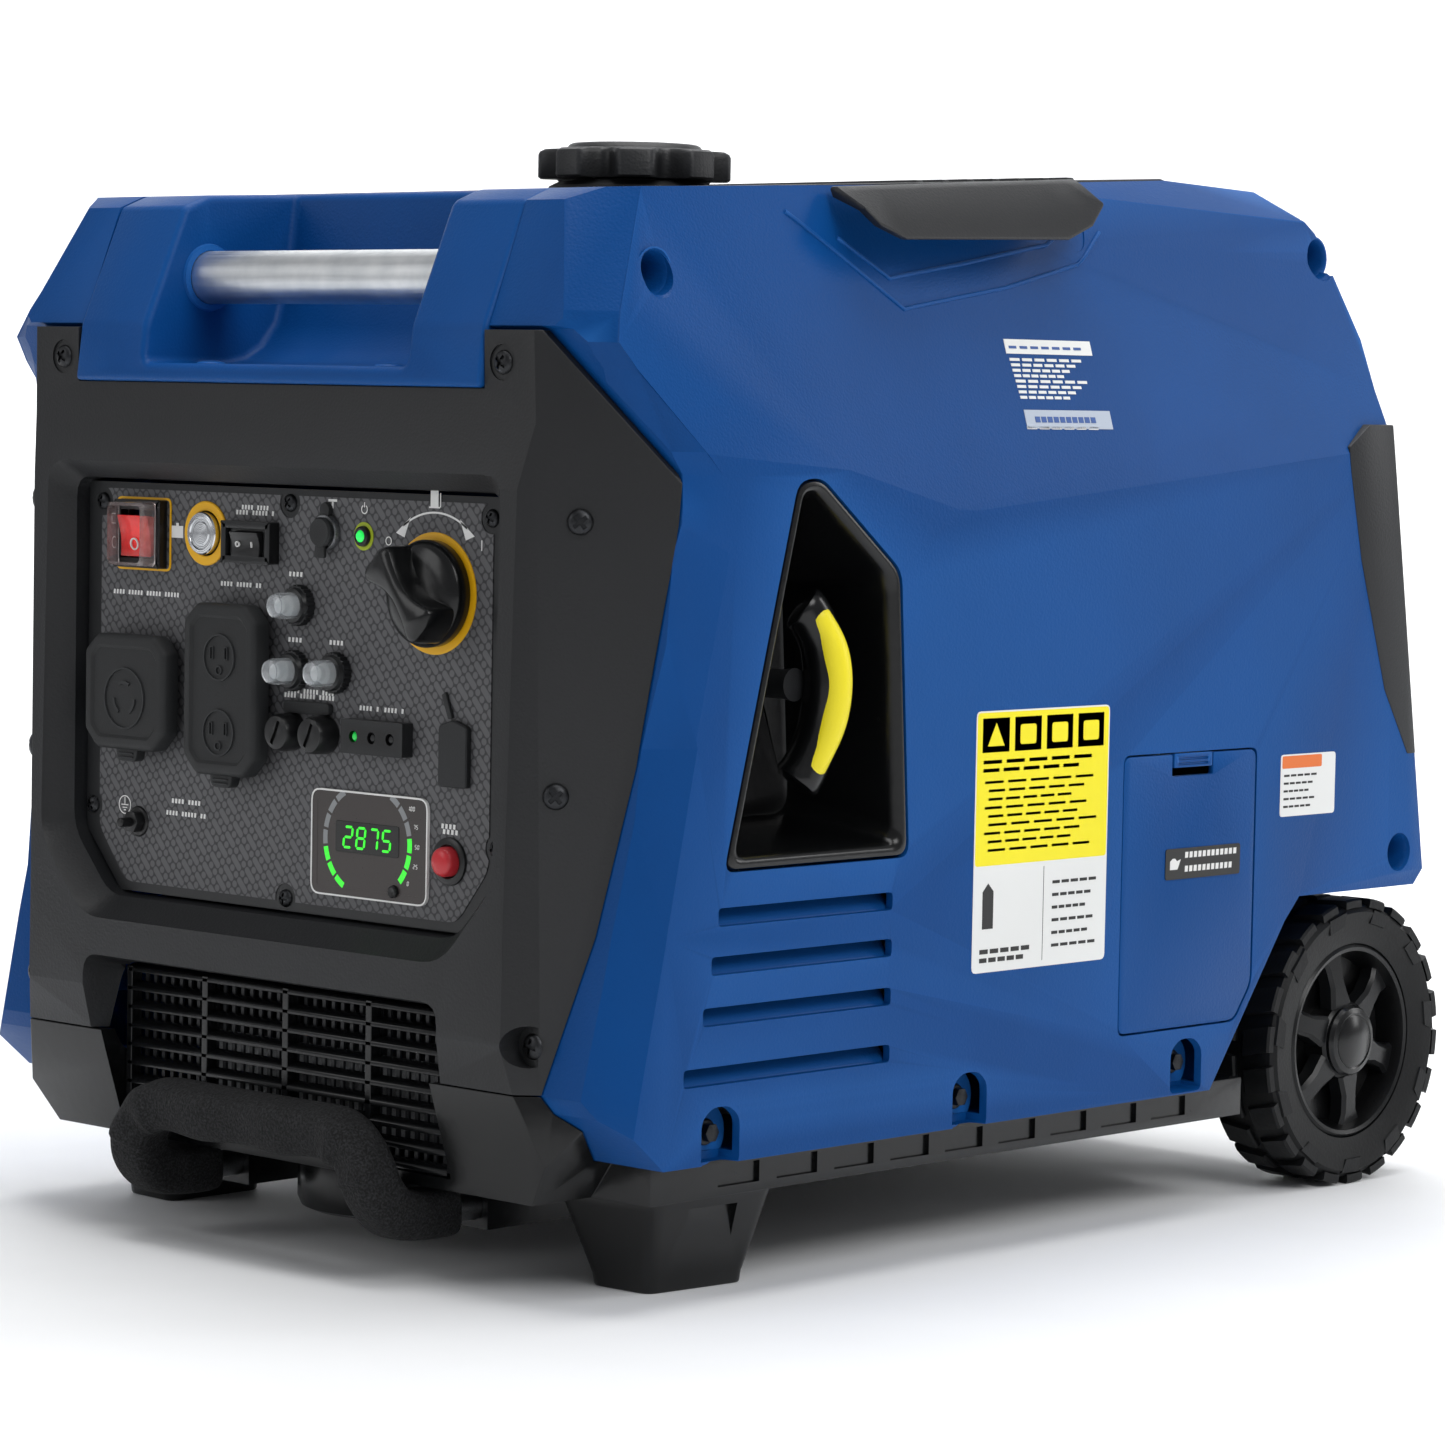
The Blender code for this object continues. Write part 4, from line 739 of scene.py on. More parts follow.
def make_oil_door():
    sill = DOOR[0][1] + 0.0005
    outline = rounded(shrunk(DOOR, 0.0009), 0.005)
    door = place("oil_door_panel", prism(outline, "x", SIDE_X - 0.0040, SIDE_X - 0.0005), FINISH["blue"], "oil_door",
                 smooth=False, replaces=["oil_access_door"], slot="blue_housing")
    combine(door, block((0.2, 0.3055, 0.2270), (0.25, 0.3385, 0.25)))
    round_edges(door, 0.0009, 2)
    shade(door)
    for index, y in enumerate((0.290, 0.345)):
        place(f"door_knuckle_{index}", moved(rod(0.0028, y - 0.008, y + 0.008, "y", 20, 0.0006),
                                             (SIDE_X - 0.0042, 0, sill + 0.002)), FINISH["blue"], "oil_door",
              slot="blue_housing")
    tongue = place("latch_tongue", block((SIDE_X - 0.0042, 0.3066, 0.2312), (SIDE_X - 0.0003, 0.3374, 0.2384)),
                   FINISH["blue"], "latch", smooth=False, replaces=["door_latch"], slot="blue_housing")
    combine(tongue, block((SIDE_X - 0.0014, 0.3100, 0.2325), (SIDE_X + 0.002, 0.3340, 0.2335)))
    combine(tongue, block((SIDE_X - 0.0014, 0.3100, 0.2350), (SIDE_X + 0.002, 0.3340, 0.2360)))
    round_edges(tongue, 0.0005, 2)
    shade(tongue)


# Front frame, base and feet --------------------------------------------------------
PANEL_OPENING = [(-0.1490, 0.3660), (-0.1490, 0.1950), (-0.1220, 0.1652), (0.1220, 0.1652), (0.1490, 0.1950),
                 (0.1490, 0.3660)]
CHEEK = [(0.160, -0.140), (0.260, -0.140), (0.260, -0.0400), (0.2262, -0.0480), (0.168, -0.1035)]
GRILLE_X, GRILLE_LOW, GRILLE_HIGH = 0.1170, 0.0520, 0.1285


def make_front_frame(settings):
    front_view = [(0.178, 0.4410), (0.2235, 0.3740), (0.2230, 0.3550), (0.2110, 0.2550), (0.2070, 0.1700),
                  (0.2060, 0.0982)]
    front_view += [(-x, z) for x, z in reversed(front_view)]
    frame_piece = place("front_bezel", prism(front_view, "y", -0.120, -0.020), FINISH["black"], smooth=False,
                        replaces=["front_frame"], slot="black_housing")
    side_view = [(y - 0.0006, z) for y, z in SEAM[:-1]] + [(SEAM[-1][0] - 0.0006, 0.0982)]
    side_view += [(-0.0995, 0.0982), (-0.1040, 0.1200), (-0.1010, 0.3700), (-0.0955, 0.4000), (-0.0965, 0.4415)]
    combine(frame_piece, prism(side_view, "x", -0.300, 0.300), "INTERSECT")
    for side in (1, -1):
        combine(frame_piece, prism([(side * x, y) for x, y in CHEEK], "z", 0.0, 0.470))
    combine(frame_piece, block((-SEAM_X - 0.0003, -0.200, 0.4147), (SEAM_X + 0.0003, 0.100, 0.500)))
    round_edges(frame_piece, 0.0042, 4, 12)
    wide = shrunk(PANEL_OPENING, -0.0105)
    reveal = skin([[(x, y, z) for x, z in rounded(points, r, 4)] for y, points, r in
                   ((-0.120, shrunk(PANEL_OPENING, -0.0190), 0.014), (-0.1005, wide, 0.012),
                    (-0.0900, shrunk(PANEL_OPENING, -0.0020), 0.010), (-0.070, shrunk(PANEL_OPENING, -0.0002), 0.010))])
    combine(frame_piece, reveal)
    lip = skin([[(x, y, z) for x, z in rounded(rectangle(width, height, (0, 0.110)), 0.010, 4)] for y, width, height in
                ((-0.120, 0.262, 0.060), (-0.100, 0.250, 0.048), (-0.080, 0.2344, 0.040))])
    combine(frame_piece, lip)
    hollow = [(-0.1640, 0.4080), (-0.1820, 0.3700), (-0.1780, 0.1500), (0.1780, 0.1500), (0.1820, 0.3700),
              (0.1640, 0.4080)]
    combine(frame_piece, prism(hollow, "y", PLATE_Y + 0.0040, 0.0))
    combine(frame_piece, block((-0.1175, -0.200, 0.050), (0.1175, 0.100, 0.1290)))
    for side in (1, -1):
        for x, y, z, radius in ((0.155, -0.0975, 0.4265, 0.0082), (0.1770, -0.094, 0.1200, 0.0095)):
            combine(frame_piece, moved(rod(radius, -0.02, 0.0022, "y", 28), (side * x, y, z)))
    shade(frame_piece, 32)
    for side, label in ((1, "right"), (-1, "left")):
        put_screw(f"top_screw_{label}", FINISH["screw"], (side * 0.155, -0.0953, 0.4265), 0.0056, 0.0028, spin=35)
        put_screw(f"low_screw_{label}", FINISH["screw"], (side * 0.1770, -0.0920, 0.1200), 0.0060, 0.0026, spin=10)
        for index, (x, y, z) in enumerate(((0.1915, -0.0818, 0.3560), (0.1850, -0.0880, 0.2330))):
            put_screw(f"cheek_screw_{label}_{index}", FINISH["screw"], (side * x, y, z), 0.0060, 0.0030,
                      turn=(0, side * 43), spin=50)


def make_grille():
    """Louvred air intake: raked blades in four columns, with a fine mesh behind."""
    depth_front, depth_back = -0.0836, -0.0772
    edge, bar = GRILLE_X, 0.0040
    parts = [block((-edge, depth_front, GRILLE_LOW), (-edge + bar, depth_back, GRILLE_HIGH)),
             block((edge - bar, depth_front, GRILLE_LOW), (edge, depth_back, GRILLE_HIGH))]
    for column in (-1, 0, 1):
        x = column * edge / 2
        parts.append(block((x - bar / 2, depth_front, GRILLE_LOW), (x + bar / 2, depth_back, GRILLE_HIGH)))
    rows = 8
    pitch = (GRILLE_HIGH - GRILLE_LOW - 0.003) / rows
    for row in range(rows + 1):
        z = GRILLE_LOW + row * pitch
        blade = [(depth_front, z + 0.0022), (depth_front, z), (depth_back, z + 0.0010), (depth_back, z + 0.0046),
                 (depth_front + 0.0018, z + 0.0036)]
        parts.append(prism(blade, "x", -edge + 0.001, edge - 0.001))
    place("intake_louvres", joined(*parts), FINISH["gloss_black"], bevel=0.0003, segments=1,
          replaces=["intake_grille"], slot="black_base")
    mesh_bars = [block((x - 0.0011, -0.0762, GRILLE_LOW), (x + 0.0011, -0.0748, GRILLE_HIGH))
                 for x in [-edge + 0.0065 * k for k in range(37)]]
    place("intake_mesh", joined(*mesh_bars), FINISH["black"], slot="black_housing")


def make_base():
    side_view = [(-0.0995, 0.0976), (-0.0940, 0.0800), (-0.0830, 0.0455), (0.5150, 0.0455), (0.5150, 0.1590),
                 (0.4180, 0.1590), (0.3960, 0.0652), (-0.0576, 0.0652), (-0.0866, 0.0900), (-0.0908, 0.0976)]
    pan = place("base_tray", prism(side_view, "x", -0.2060, 0.2060), FINISH["gloss_black"], smooth=False,
                replaces=["base_pan"], slot="black_base")
    for side in (1, -1):
        chin = [(side * x, z) for x, z in ((0.300, 0.0976), (0.2062, 0.0976), (0.1650, 0.0400), (0.300, 0.0400))]
        combine(pan, prism(chin, "y", -0.2, -0.045))
        combine(pan, prism([(side * x, y) for x, y in CHEEK], "z", 0.0, 0.0980))
        combine(pan, block((min(side * 0.160, side * 0.3), 0.395, 0.0), (max(side * 0.160, side * 0.3), 0.6, 0.2)))
    round_edges(pan, 0.0035, 3, 20)
    combine(pan, block((-0.1950, -0.0380, 0.0495), (0.1950, 0.3900, 0.2)))
    combine(pan, block((-0.1550, -0.0740, 0.0495), (0.1550, 0.0, 0.2)))
    combine(pan, block((-0.1550, 0.3800, 0.0495), (0.1550, 0.5100, 0.2)))
    combine(pan, block((-0.1174, -0.2, 0.0516), (0.1174, -0.05, 0.2)))
    guides = [block((x - 0.0105, -0.0400, 0.0200), (x + 0.0105, 0.2300, 0.0470)) for x in (-0.085, 0.085)]
    combine(pan, joined(*guides), "UNION")
    for x in (-0.085, 0.085):
        combine(pan, moved(rod(0.0070, -0.100, 0.300, "y", 24), (x, 0, 0.0305)))
    combine(pan, moved(rod(0.0083, -0.3, 0.3, "x", 24), (0, WHEEL_Y, WHEEL_R)))
    combine(pan, moved(rod(0.0055, 0.0, 0.08, "z", 20), (0.135, 0.366, 0)))
    combine(pan, moved(rod(0.0480, 0.0160, 0.0475, "z", 48, 0.006), (0, -0.010, 0)), "UNION")
    for k in range(9):
        y = 0.000 + k * 0.040
        for side in (1, -1):
            combine(pan, block((min(side * 0.204, side * 0.22), y, 0.0500), (max(side * 0.204, side * 0.22), y + 0.028, 0.0600)))
    shade(pan, 30)
    for side, label in ((-1, "left"), (1, "right")):
        rows = []
        for z, grow in ((0.0452, 1.0), (0.0400, 0.86), (0.0060, 0.06), (0.0, 0.0)):
            low_plan = [(0.150, -0.026), (0.186, -0.024), (0.192, 0.034), (0.150, 0.034)]
            high_plan = [(0.140, -0.040), (0.198, -0.032), (0.203, 0.042), (0.140, 0.046)]
            plan = [(a + (c - a) * grow, b + (d - b) * grow) for (a, b), (c, d) in zip(low_plan, high_plan)]
            rows.append([(side * x, y, z) for x, y in rounded(plan, 0.006, 4)])
        foot = place(f"foot_{label}", skin(rows), FINISH["gloss_black"], bevel=0.0012, segments=2,
                     replaces=[f"front_foot_{label}"], slot="soft_rubber", smooth=False)
        combine(foot, block((min(side * 0.196, side * 0.21), -0.01, 0.012), (max(side * 0.196, side * 0.21), 0.02, 0.040)))
        shade(foot, 32)


# Top: cover with the hand recess, carry bar, deck, grips, filler cap --------------------
def make_top_cover(settings):
    outline = [(-0.0990, 0.4150), (-0.0955, 0.4430), (-0.0710, 0.5000), (-0.0560, 0.5060), (0.0285, 0.5100),
               (0.0285, 0.4150)]
    cover = place("top_cover", prism(outline, "x", -SEAM_X + 0.0003, SEAM_X - 0.0003), FINISH["blue"], smooth=False,
                  replaces=["front_top_cover"], slot="blue_housing")
    round_edges(cover, 0.0024, 3, 15)
    bowl = [(-0.2, 0.4240), (-0.0450, 0.4240), (-0.0330, 0.4262), (-0.0220, 0.4325), (-0.0120, 0.4440),
            (-0.0040, 0.4700), (0.0010, 0.5100), (0.0040, 0.6), (-0.2, 0.6)]
    combine(cover, prism(bowl, "x", -0.0930, 0.0930))
    round_edges(cover, 0.0040, 4, 38)
    under = [(-0.0940, 0.4000), (-0.0940, 0.4195), (0.0245, 0.4195), (0.0245, 0.4000)]
    combine(cover, prism(under, "x", -0.1387, 0.1387))
    combine(cover, moved(rod(0.0131, -0.12, 0.12, "x", 40), (0, -0.056, 0.466)))
    shade(cover, 32)
    bar = turned([(0.0100, -0.118), (0.0128, -0.117), (0.0128, 0.117), (0.0100, 0.118)], "x", 64)
    place("carry_tube", moved(bar, (0, -0.056, 0.466)), FINISH["aluminium"], replaces=["carry_bar"],
          slot="brushed_aluminium")
    for side, label in ((1, "right"), (-1, "left")):
        collar = turned([(0.0131, 0.0), (0.0165, 0.0), (0.0160, 0.0014), (0.0131, 0.0016)], "x", 40)
        place(f"bar_collar_{label}", sided(moved(rotated(collar, 180, "Z"), (0.0930, -0.056, 0.466)), side),
              FINISH["blue"], slot="blue_housing")
        plug = rotated(screw(0.0070, 0.0014), -90, "X")
        place(f"recess_plug_{label}", moved(plug, (side * 0.063, -0.080, 0.4241)), FINISH["blue"], slot="blue_housing")


def deck_height(y):
    return 0.5105 + 0.055 * (y - 0.03)


def make_top_deck():
    line = [(0.0288, deck_height(0.03)), (0.3900, deck_height(0.38)), (0.4250, 0.5220), (0.4520, 0.5010),
            (0.4680, 0.4720)]
    lower = [(0.0288, line[0][1] - 0.004), (0.3880, line[1][1] - 0.004), (0.4220, 0.5180), (0.4480, 0.4980),
             (0.4640, 0.4700)]
    deck = place("deck_strip", prism(line + lower[::-1], "x", -SEAM_X, SEAM_X), FINISH["black"], smooth=False,
                 replaces=["top_deck"], slot="black_housing")
    combine(deck, moved(rod(0.0300, 0.4, 0.6, "z", 48), (0, 0.144, 0)))
    round_edges(deck, 0.0012, 2)
    shade(deck)
    ribs = []
    for k in range(7):
        y = 0.245 + k * 0.020
        ribs.append(block((-0.100, y, deck_height(y) - 0.001), (0.100, y + 0.006, deck_height(y) + 0.0012)))
    place("deck_ribs", joined(*ribs), FINISH["black"], bevel=0.0008, slot="black_housing")
    ring = turned([(0.0300, 0.5150), (0.0300, 0.5180), (0.0380, 0.5190), (0.0430, 0.5165), (0.0440, 0.5140)], "z", 64)
    place("filler_ring", moved(ring, (0, 0.144, 0)), FINISH["rubber"], slot="soft_rubber")
    for side, label in ((-1, "left"), (1, "right")):
        rows = []
        for y, drop in ((0.083, 0.014), (0.092, 0.022), (0.108, 0.0285), (0.226, 0.0320), (0.246, 0.026), (0.258, 0.016)):
            z = 0.5060 + 0.0626 * (y + 0.056)
            slope_x = 0.1990 + drop * 0.30
            face = [(0.1800, z - 0.0040), (0.1812, z - 0.0028), (0.1850, z - 0.0030), (0.1890, z - 0.0052),
                    (slope_x - 0.0006, z - drop + 0.0016), (slope_x, z - drop), (slope_x - 0.0045, z - drop),
                    (0.1820, z - 0.0080)]
            rows.append([(side * (x + 0.0080), y, h) for x, h in face])
        grip = place(f"shoulder_grip_{label}", skin(rows), FINISH["black"], smooth=False,
                     replaces=[f"side_grip_{label}"], slot="black_housing")
        round_edges(grip, 0.0007, 2)
        shade(grip)


def make_fuel_cap():
    steps, lobes = 160, 8

    def ring(radius, z, wave):
        points = []
        for k in range(steps):
            angle = math.tau * k / steps
            swell = max(-1.0, min(1.0, 1.9 * math.cos(lobes * angle) + 0.75))
            r = radius + wave * swell
            points.append((r * math.cos(angle), r * math.sin(angle), z))
        return points

    rows = [ring(0.0225, 0.5310, 0), ring(0.0225, 0.5203, 0), ring(0.0430, 0.5203, 0.0045), ring(0.0438, 0.5212, 0.0048),
            ring(0.0438, 0.5322, 0.0048), ring(0.0432, 0.5338, 0.0046), ring(0.0415, 0.5350, 0.0040),
            ring(0.0370, 0.5354, 0.0012), ring(0.0345, 0.5356, 0), ring(0.0330, 0.5376, 0), ring(0.0315, 0.5383, 0),
            ring(0.0190, 0.5383, 0), ring(0.0180, 0.5375, 0)]
    place("filler_cap", moved(skin(rows), (0, 0.144, 0)), FINISH["black"], "fuel_cap", replaces=["fuel_cap"],
          slot="black_housing")


def make_rear():
    outline = [(0.5160, 0.1596), (0.5240, 0.1678), (0.4790, 0.4480), (0.4705, 0.4685), (0.4790, 0.4765),
               (0.4880, 0.4500), (0.5335, 0.1700), (0.5260, 0.1596)]
    cover = place("back_cover", prism(outline, "x", -0.2050, 0.2050), FINISH["black"], smooth=False,
                  replaces=["rear_cover"], slot="black_housing")
    for side in (1, -1):
        corner = [(side * x, z) for x, z in ((0.300, 0.600), (0.300, 0.3600), (0.2050, 0.3600), (0.1750, 0.4780),
                                             (0.1750, 0.600))]
        combine(cover, prism(corner, "y", 0.4, 0.6))
    round_edges(cover, 0.0022, 3, 20)
    tilt = math.degrees(math.atan2(0.0450, 0.2800))

    def tilted(bm, at=(0.0, 0.5047, 0.3130)):
        return moved(rotated(bm, tilt, "X"), at)

    combine(cover, tilted(prism(rounded(rectangle(0.1806, 0.1206), 0.004), "y", -0.03, 0.03)))
    for k in range(3):
        groove = prism(rounded(rectangle(0.300, 0.0050, (0, -0.080 - k * 0.014)), 0.002), "y", 0.0028, 0.03)
        combine(cover, tilted(groove))
    shade(cover)
    slats = [prism(rectangle(0.166, 0.0035, (0, -0.046 + k * 0.0115)), "y", -0.0020, 0.0020) for k in range(9)]
    slats += [prism(rectangle(0.180, 0.0060, (0, z)), "y", -0.0022, 0.0022) for z in (-0.057, 0.057)]
    slats += [prism(rectangle(0.0060, 0.1200, (x, 0)), "y", -0.0022, 0.0022) for x in (-0.087, 0, 0.087)]
    place("exhaust_slats", tilted(joined(*slats)), FINISH["steel"], bevel=0.0004, segments=1,
          replaces=["exhaust_grille"], slot="plated_steel")
    place("exhaust_outlet", tilted(turned([(0.0135, 0.004), (0.0165, 0.004), (0.0165, 0.030), (0.0135, 0.030)], "y", 40),
                                   (0.050, 0.4990, 0.2850)), FINISH["steel"], slot="plated_steel")
    for side, label in ((1, "right"), (-1, "left")):
        for index, z in enumerate((0.190, 0.335)):
            put_screw(f"back_screw_{label}_{index}", FINISH["screw"], (side * 0.180, 0.5335 - (z - 0.17) * 0.1625, z),
                      0.0056, 0.0026, turn=(0, 180))


# Recoil starter -------------------------------------------------------------------
PULL = (0.0480, 0.2800)


def make_starter():
    """Glossy funnel with a raised lip, its rope guide, and the pull handle with a soft pad."""
    rings = [(0.1640, 0.0200, 0.012), (0.1652, 0.0175, 0.012), (0.1700, 0.0155, 0.012), (0.2190, 0.0078, 0.009),
             (0.2235, 0.0066, 0.008), (0.2258, 0.0050, 0.008), (0.2264, 0.0034, 0.007), (0.2258, 0.0016, 0.007),
             (0.2235, 0.0005, 0.007), (0.2215, 0.0005, 0.007), (0.1600, 0.0120, 0.010)]
    loops = [[(x, y, z) for y, z in rounded(shrunk(RECESS, inset), radius, 6)] for x, inset, radius in rings]
    funnel = place("starter_funnel", skin(loops), FINISH["gloss_black"], smooth=False, replaces=["recoil_bezel"],
                   slot="black_housing")
    combine(funnel, moved(rod(0.0040, 0.1, 0.2, "x", 24), (0, *PULL)))
    shade(funnel, 40)
    guide = turned([(0.0042, 0.1650), (0.0110, 0.1650), (0.0105, 0.1690), (0.0085, 0.1710), (0.0082, 0.1780),
                    (0.0070, 0.1792), (0.0050, 0.1790), (0.0042, 0.1780)], "x", 40)
    place("rope_guide", moved(guide, (0, *PULL)), FINISH["gloss_black"], slot="black_housing")
    shelf = [(0.0000, 0.2000), (0.0100, 0.3050), (0.0220, 0.3160), (0.0230, 0.3120), (0.0130, 0.3020), (0.0030, 0.2000)]
    place("funnel_rib", prism([(y + 0.008, z + 0.012) for y, z in shelf], "x", 0.1650, 0.1740), FINISH["gloss_black"],
          bevel=0.0012, slot="black_housing")
    rivet = turned([(0, 0.0), (0.0042, 0.0), (0.0040, 0.0012), (0.0022, 0.0024), (0, 0.0026)], "x", 24)
    place("funnel_rivet", moved(rivet, (0.1735, 0.0170, 0.2370)), FINISH["steel"], slot="plated_steel")
    y, z = PULL
    stem = turned([(0, 0.1690), (0.0072, 0.1690), (0.0076, 0.1710), (0.0070, 0.1730), (0.0068, 0.1960), (0.0078, 0.2040),
                   (0, 0.2050)], "x", 28)
    place("pull_stem", moved(stem, (0, y, z)), FINISH["rubber"], "pull", slot="soft_rubber")
    path = smooth_path([(0.2030, y + 0.0010, z - 0.0470), (0.2060, y + 0.0060, z - 0.0380), (0.2100, y + 0.0120, z - 0.0200),
                        (0.2120, y + 0.0140, z), (0.2105, y + 0.0120, z + 0.0180), (0.2070, y + 0.0060, z + 0.0320),
                        (0.2040, y + 0.0020, z + 0.0370)], 6)

    def grip(t, angle):
        ends = min(1.0, (1 - abs(2 * t - 1)) / 0.16)
        full = math.sqrt(max(0.0, 1 - (1 - ends) ** 2))
        waist = 1 + 0.05 * math.cos(4 * math.pi * (t - 0.5))
        return max(0.0006, 0.0112 * full * waist)

    place("pull_grip", swept(path, grip, 32), FINISH["gloss_black"], "pull", replaces=["pull_handle"],
          slot="black_housing")

    def pad(t, angle):
        ends = min(1.0, (1 - abs(2 * t - 1)) / 0.14)
        swell = 1 + 0.22 * math.exp(-((t - 0.5) / 0.28) ** 4)
        return max(0.0004, 0.0070 * swell * math.sqrt(max(0.0, 1 - (1 - ends) ** 2)))

    outward = Vector((0.0046, -0.0006, 0))
    place("pull_pad", swept([p + outward for p in path[4:-4]], pad, 28), FINISH["yellow_pad"], "pull", slot="pull_grip")


# Wheels ------------------------------------------------------------------------------
def make_wheel(side, label, settings):
    inner, outer = 0.1680, 0.2120
    body = f"wheel_{label}"
    tyre = turned([(0.0520, inner + 0.004), (0.0600, inner + 0.0016), (0.0690, inner + 0.0004), (0.0722, inner + 0.003),
                   (0.0735, inner + 0.008), (0.0735, outer - 0.008), (0.0722, outer - 0.003), (0.0690, outer - 0.0004),
                   (0.0600, outer - 0.0016), (0.0520, outer - 0.004)], "x", 96)
    lugs = []
    count = settings.tread_blocks
    for k in range(count):
        for x0, x1, offset, skew in ((inner + 0.0012, inner + 0.0205, 0.0, 0.045), (outer - 0.0205, outer - 0.0012, 0.5, -0.045)):
            start = (k + offset) * math.tau / count
            span = math.tau / count * 0.66
            loops = []
            for x, shift, depth in ((x0, 0.0, 0.0), (x0 + 0.0028, 0.0, 1.0), ((x0 + x1) / 2, skew * 0.5, 1.0), (x1 - 0.0010, skew, 1.0),
                                    (x1, skew, 0.6)):
                loop = []
                for radius, angles in ((0.0715, (0, 0.34, 0.67, 1)), (0.0735 + 0.0028 * depth, (0.97, 0.66, 0.33, 0.03))):
                    for a in angles:
                        angle = start + shift + span * a
                        loop.append((x, radius * math.cos(angle), radius * math.sin(angle)))
                loops.append(loop)
            lugs.append(skin(loops))
    for k in range(count // 2):
        start = k * math.tau / (count // 2)
        for face_x, sign in ((outer - 0.0016, 1),):
            loops = []
            for x, grow in ((face_x - 0.001, 0.0), (face_x + 0.0012, -0.0008)):
                loop = []
                for radius, a in ((0.0625 - grow, 0.10), (0.0712 + grow, 0.02), (0.0712 + grow, 0.40), (0.0625 - grow, 0.46)):
                    angle = start + a * math.tau / (count // 2)
                    loop.append((x, radius * math.cos(angle), radius * math.sin(angle)))
                loops.append(loop)
            lugs.append(skin(loops))
    place(f"tyre_tread_{label}", sided(moved(joined(tyre, *lugs), (0, WHEEL_Y, WHEEL_R)), side), FINISH["tyre"], body,
          replaces=[f"tyre_{label}"], slot="tyre_rubber")
    rim = turned([(0.0083, inner + 0.002), (0.0200, inner + 0.002), (0.0210, 0.1840), (0.0450, 0.1850), (0.0470, inner + 0.006),
                  (0.0517, inner + 0.0045), (0.0517, outer - 0.0050), (0.0500, outer - 0.0034), (0.0480, outer - 0.0040),
                  (0.0460, outer - 0.0100), (0.0440, outer - 0.0190), (0.0210, outer - 0.0190), (0.0205, outer - 0.0075),
                  (0.0190, outer - 0.0060), (0.0083, outer - 0.0060)], "x", 96)
    rim_piece = place(f"wheel_rim_{label}", sided(moved(rim, (0, WHEEL_Y, WHEEL_R)), side), FINISH["rim"], body,
                      replaces=[f"rim_{label}"], slot="black_housing")
    shade(rim_piece, 40)
    spokes = []
    for k in range(settings.spokes):
        loops = []
        for radius, half, lift in ((0.0190, 0.0085, 0.0062), (0.0300, 0.0060, 0.0070), (0.0400, 0.0062, 0.0085), (0.0475, 0.0098, 0.0095)):
            loops.append([(outer - x, y, radius) for x, y in ((lift + 0.009, -half), (lift + 0.0018, -half), (lift, -half + 0.0020),
                                                             (lift, half - 0.0020), (lift + 0.0018, half), (lift + 0.009, half))])
        spokes.append(rotated(skin(loops), k * 360 / settings.spokes + 12, "X"))
    place(f"wheel_spokes_{label}", sided(moved(joined(*spokes), (0, WHEEL_Y, WHEEL_R)), side), FINISH["rim"], body,
          slot="black_housing")
    cap = turned([(0, outer - 0.0100), (0.0182, outer - 0.0100), (0.0190, outer - 0.0040), (0.0176, outer - 0.0020),
                  (0.0150, outer - 0.0012), (0.0140, outer - 0.0016), (0.0132, outer - 0.0010), (0, outer - 0.0002)], "x", 64)
    place(f"hub_cap_{label}", sided(moved(cap, (0, WHEEL_Y, WHEEL_R)), side), FINISH["gloss_black"], body,
          slot="black_housing")


# Tow handle ----------------------------------------------------------------------------
def make_tow_handle():
    """Steel loop with a foam grip that has finger waves along its underside."""
    half = [(-0.085, -0.0760, 0.0305), (-0.085, -0.0920, 0.0330), (-0.084, -0.1015, 0.0430),
            (-0.080, -0.1045, 0.0550), (-0.071, -0.1052, 0.0645), (-0.059, -0.1052, 0.0680)]
    across = half + [(-0.030, -0.1052, 0.0680), (0.0, -0.1052, 0.0680), (0.030, -0.1052, 0.0680)]
    across += [(-x, y, z) for x, y, z in reversed(half)]
    full = [(-0.085, 0.3300, 0.0305), (-0.085, 0.1000, 0.0305)] + across + [(0.085, 0.1000, 0.0305), (0.085, 0.3300, 0.0305)]
    tube = smooth_path(full, 6)
    place("tow_tube", swept(tube, lambda t, a: 0.0065, 28), FINISH["steel"], "tow_handle",
          replaces=["tow_handle_frame"], slot="plated_steel")
    grip_path = smooth_path([(-0.085, -0.0560, 0.0305)] + across + [(0.085, -0.0560, 0.0305)], 8)

    def foam(t, angle):
        ends = math.sqrt(min(1.0, (0.5 - abs(t - 0.5)) / 0.02))
        square = (abs(math.cos(angle)) ** 4 + abs(math.sin(angle)) ** 4) ** -0.25
        waves = 0.0014 * math.cos(t * math.tau * 9.0) * max(0.0, -math.sin(angle)) * (abs(t - 0.5) < 0.28)
        return (0.0098 + 0.0020 * ends) * square + waves

    place("foam_sleeve", swept(grip_path, foam, 36), FINISH["foam"], "tow_handle", replaces=["foam_grip"],
          slot="grip_foam")


# Control panel -------------------------------------------------------------------------
MAIN_ROCKER = (-0.1063, 0.3409)
ECO_ROCKER = (-0.0249, 0.3395)
START = (-0.0600, 0.3426)
RESET = (0.1130, 0.1980)
DISPLAY_BUTTON = (0.0770, 0.1810)
DIAL = (0.1000, 0.3204)
BREAKERS = {"breaker_upper": (0.0090, 0.3110), "breaker_lower_left": (0.0060, 0.2800),
            "breaker_lower_right": (0.0350, 0.2805)}
PARALLEL = {"left": (0.0047, 0.2510), "right": (0.0280, 0.2510)}
DC_SOCKET = (0.0270, 0.3460)
LAMP = (0.0520, 0.3450)
ROUND_OUTLET = (-0.1045, 0.2590)
DUPLEX = (-0.0345, 0.2660, 0.0340, 0.0660)
DISPLAY = (0.0593, 0.2008, 0.0740, 0.0480)
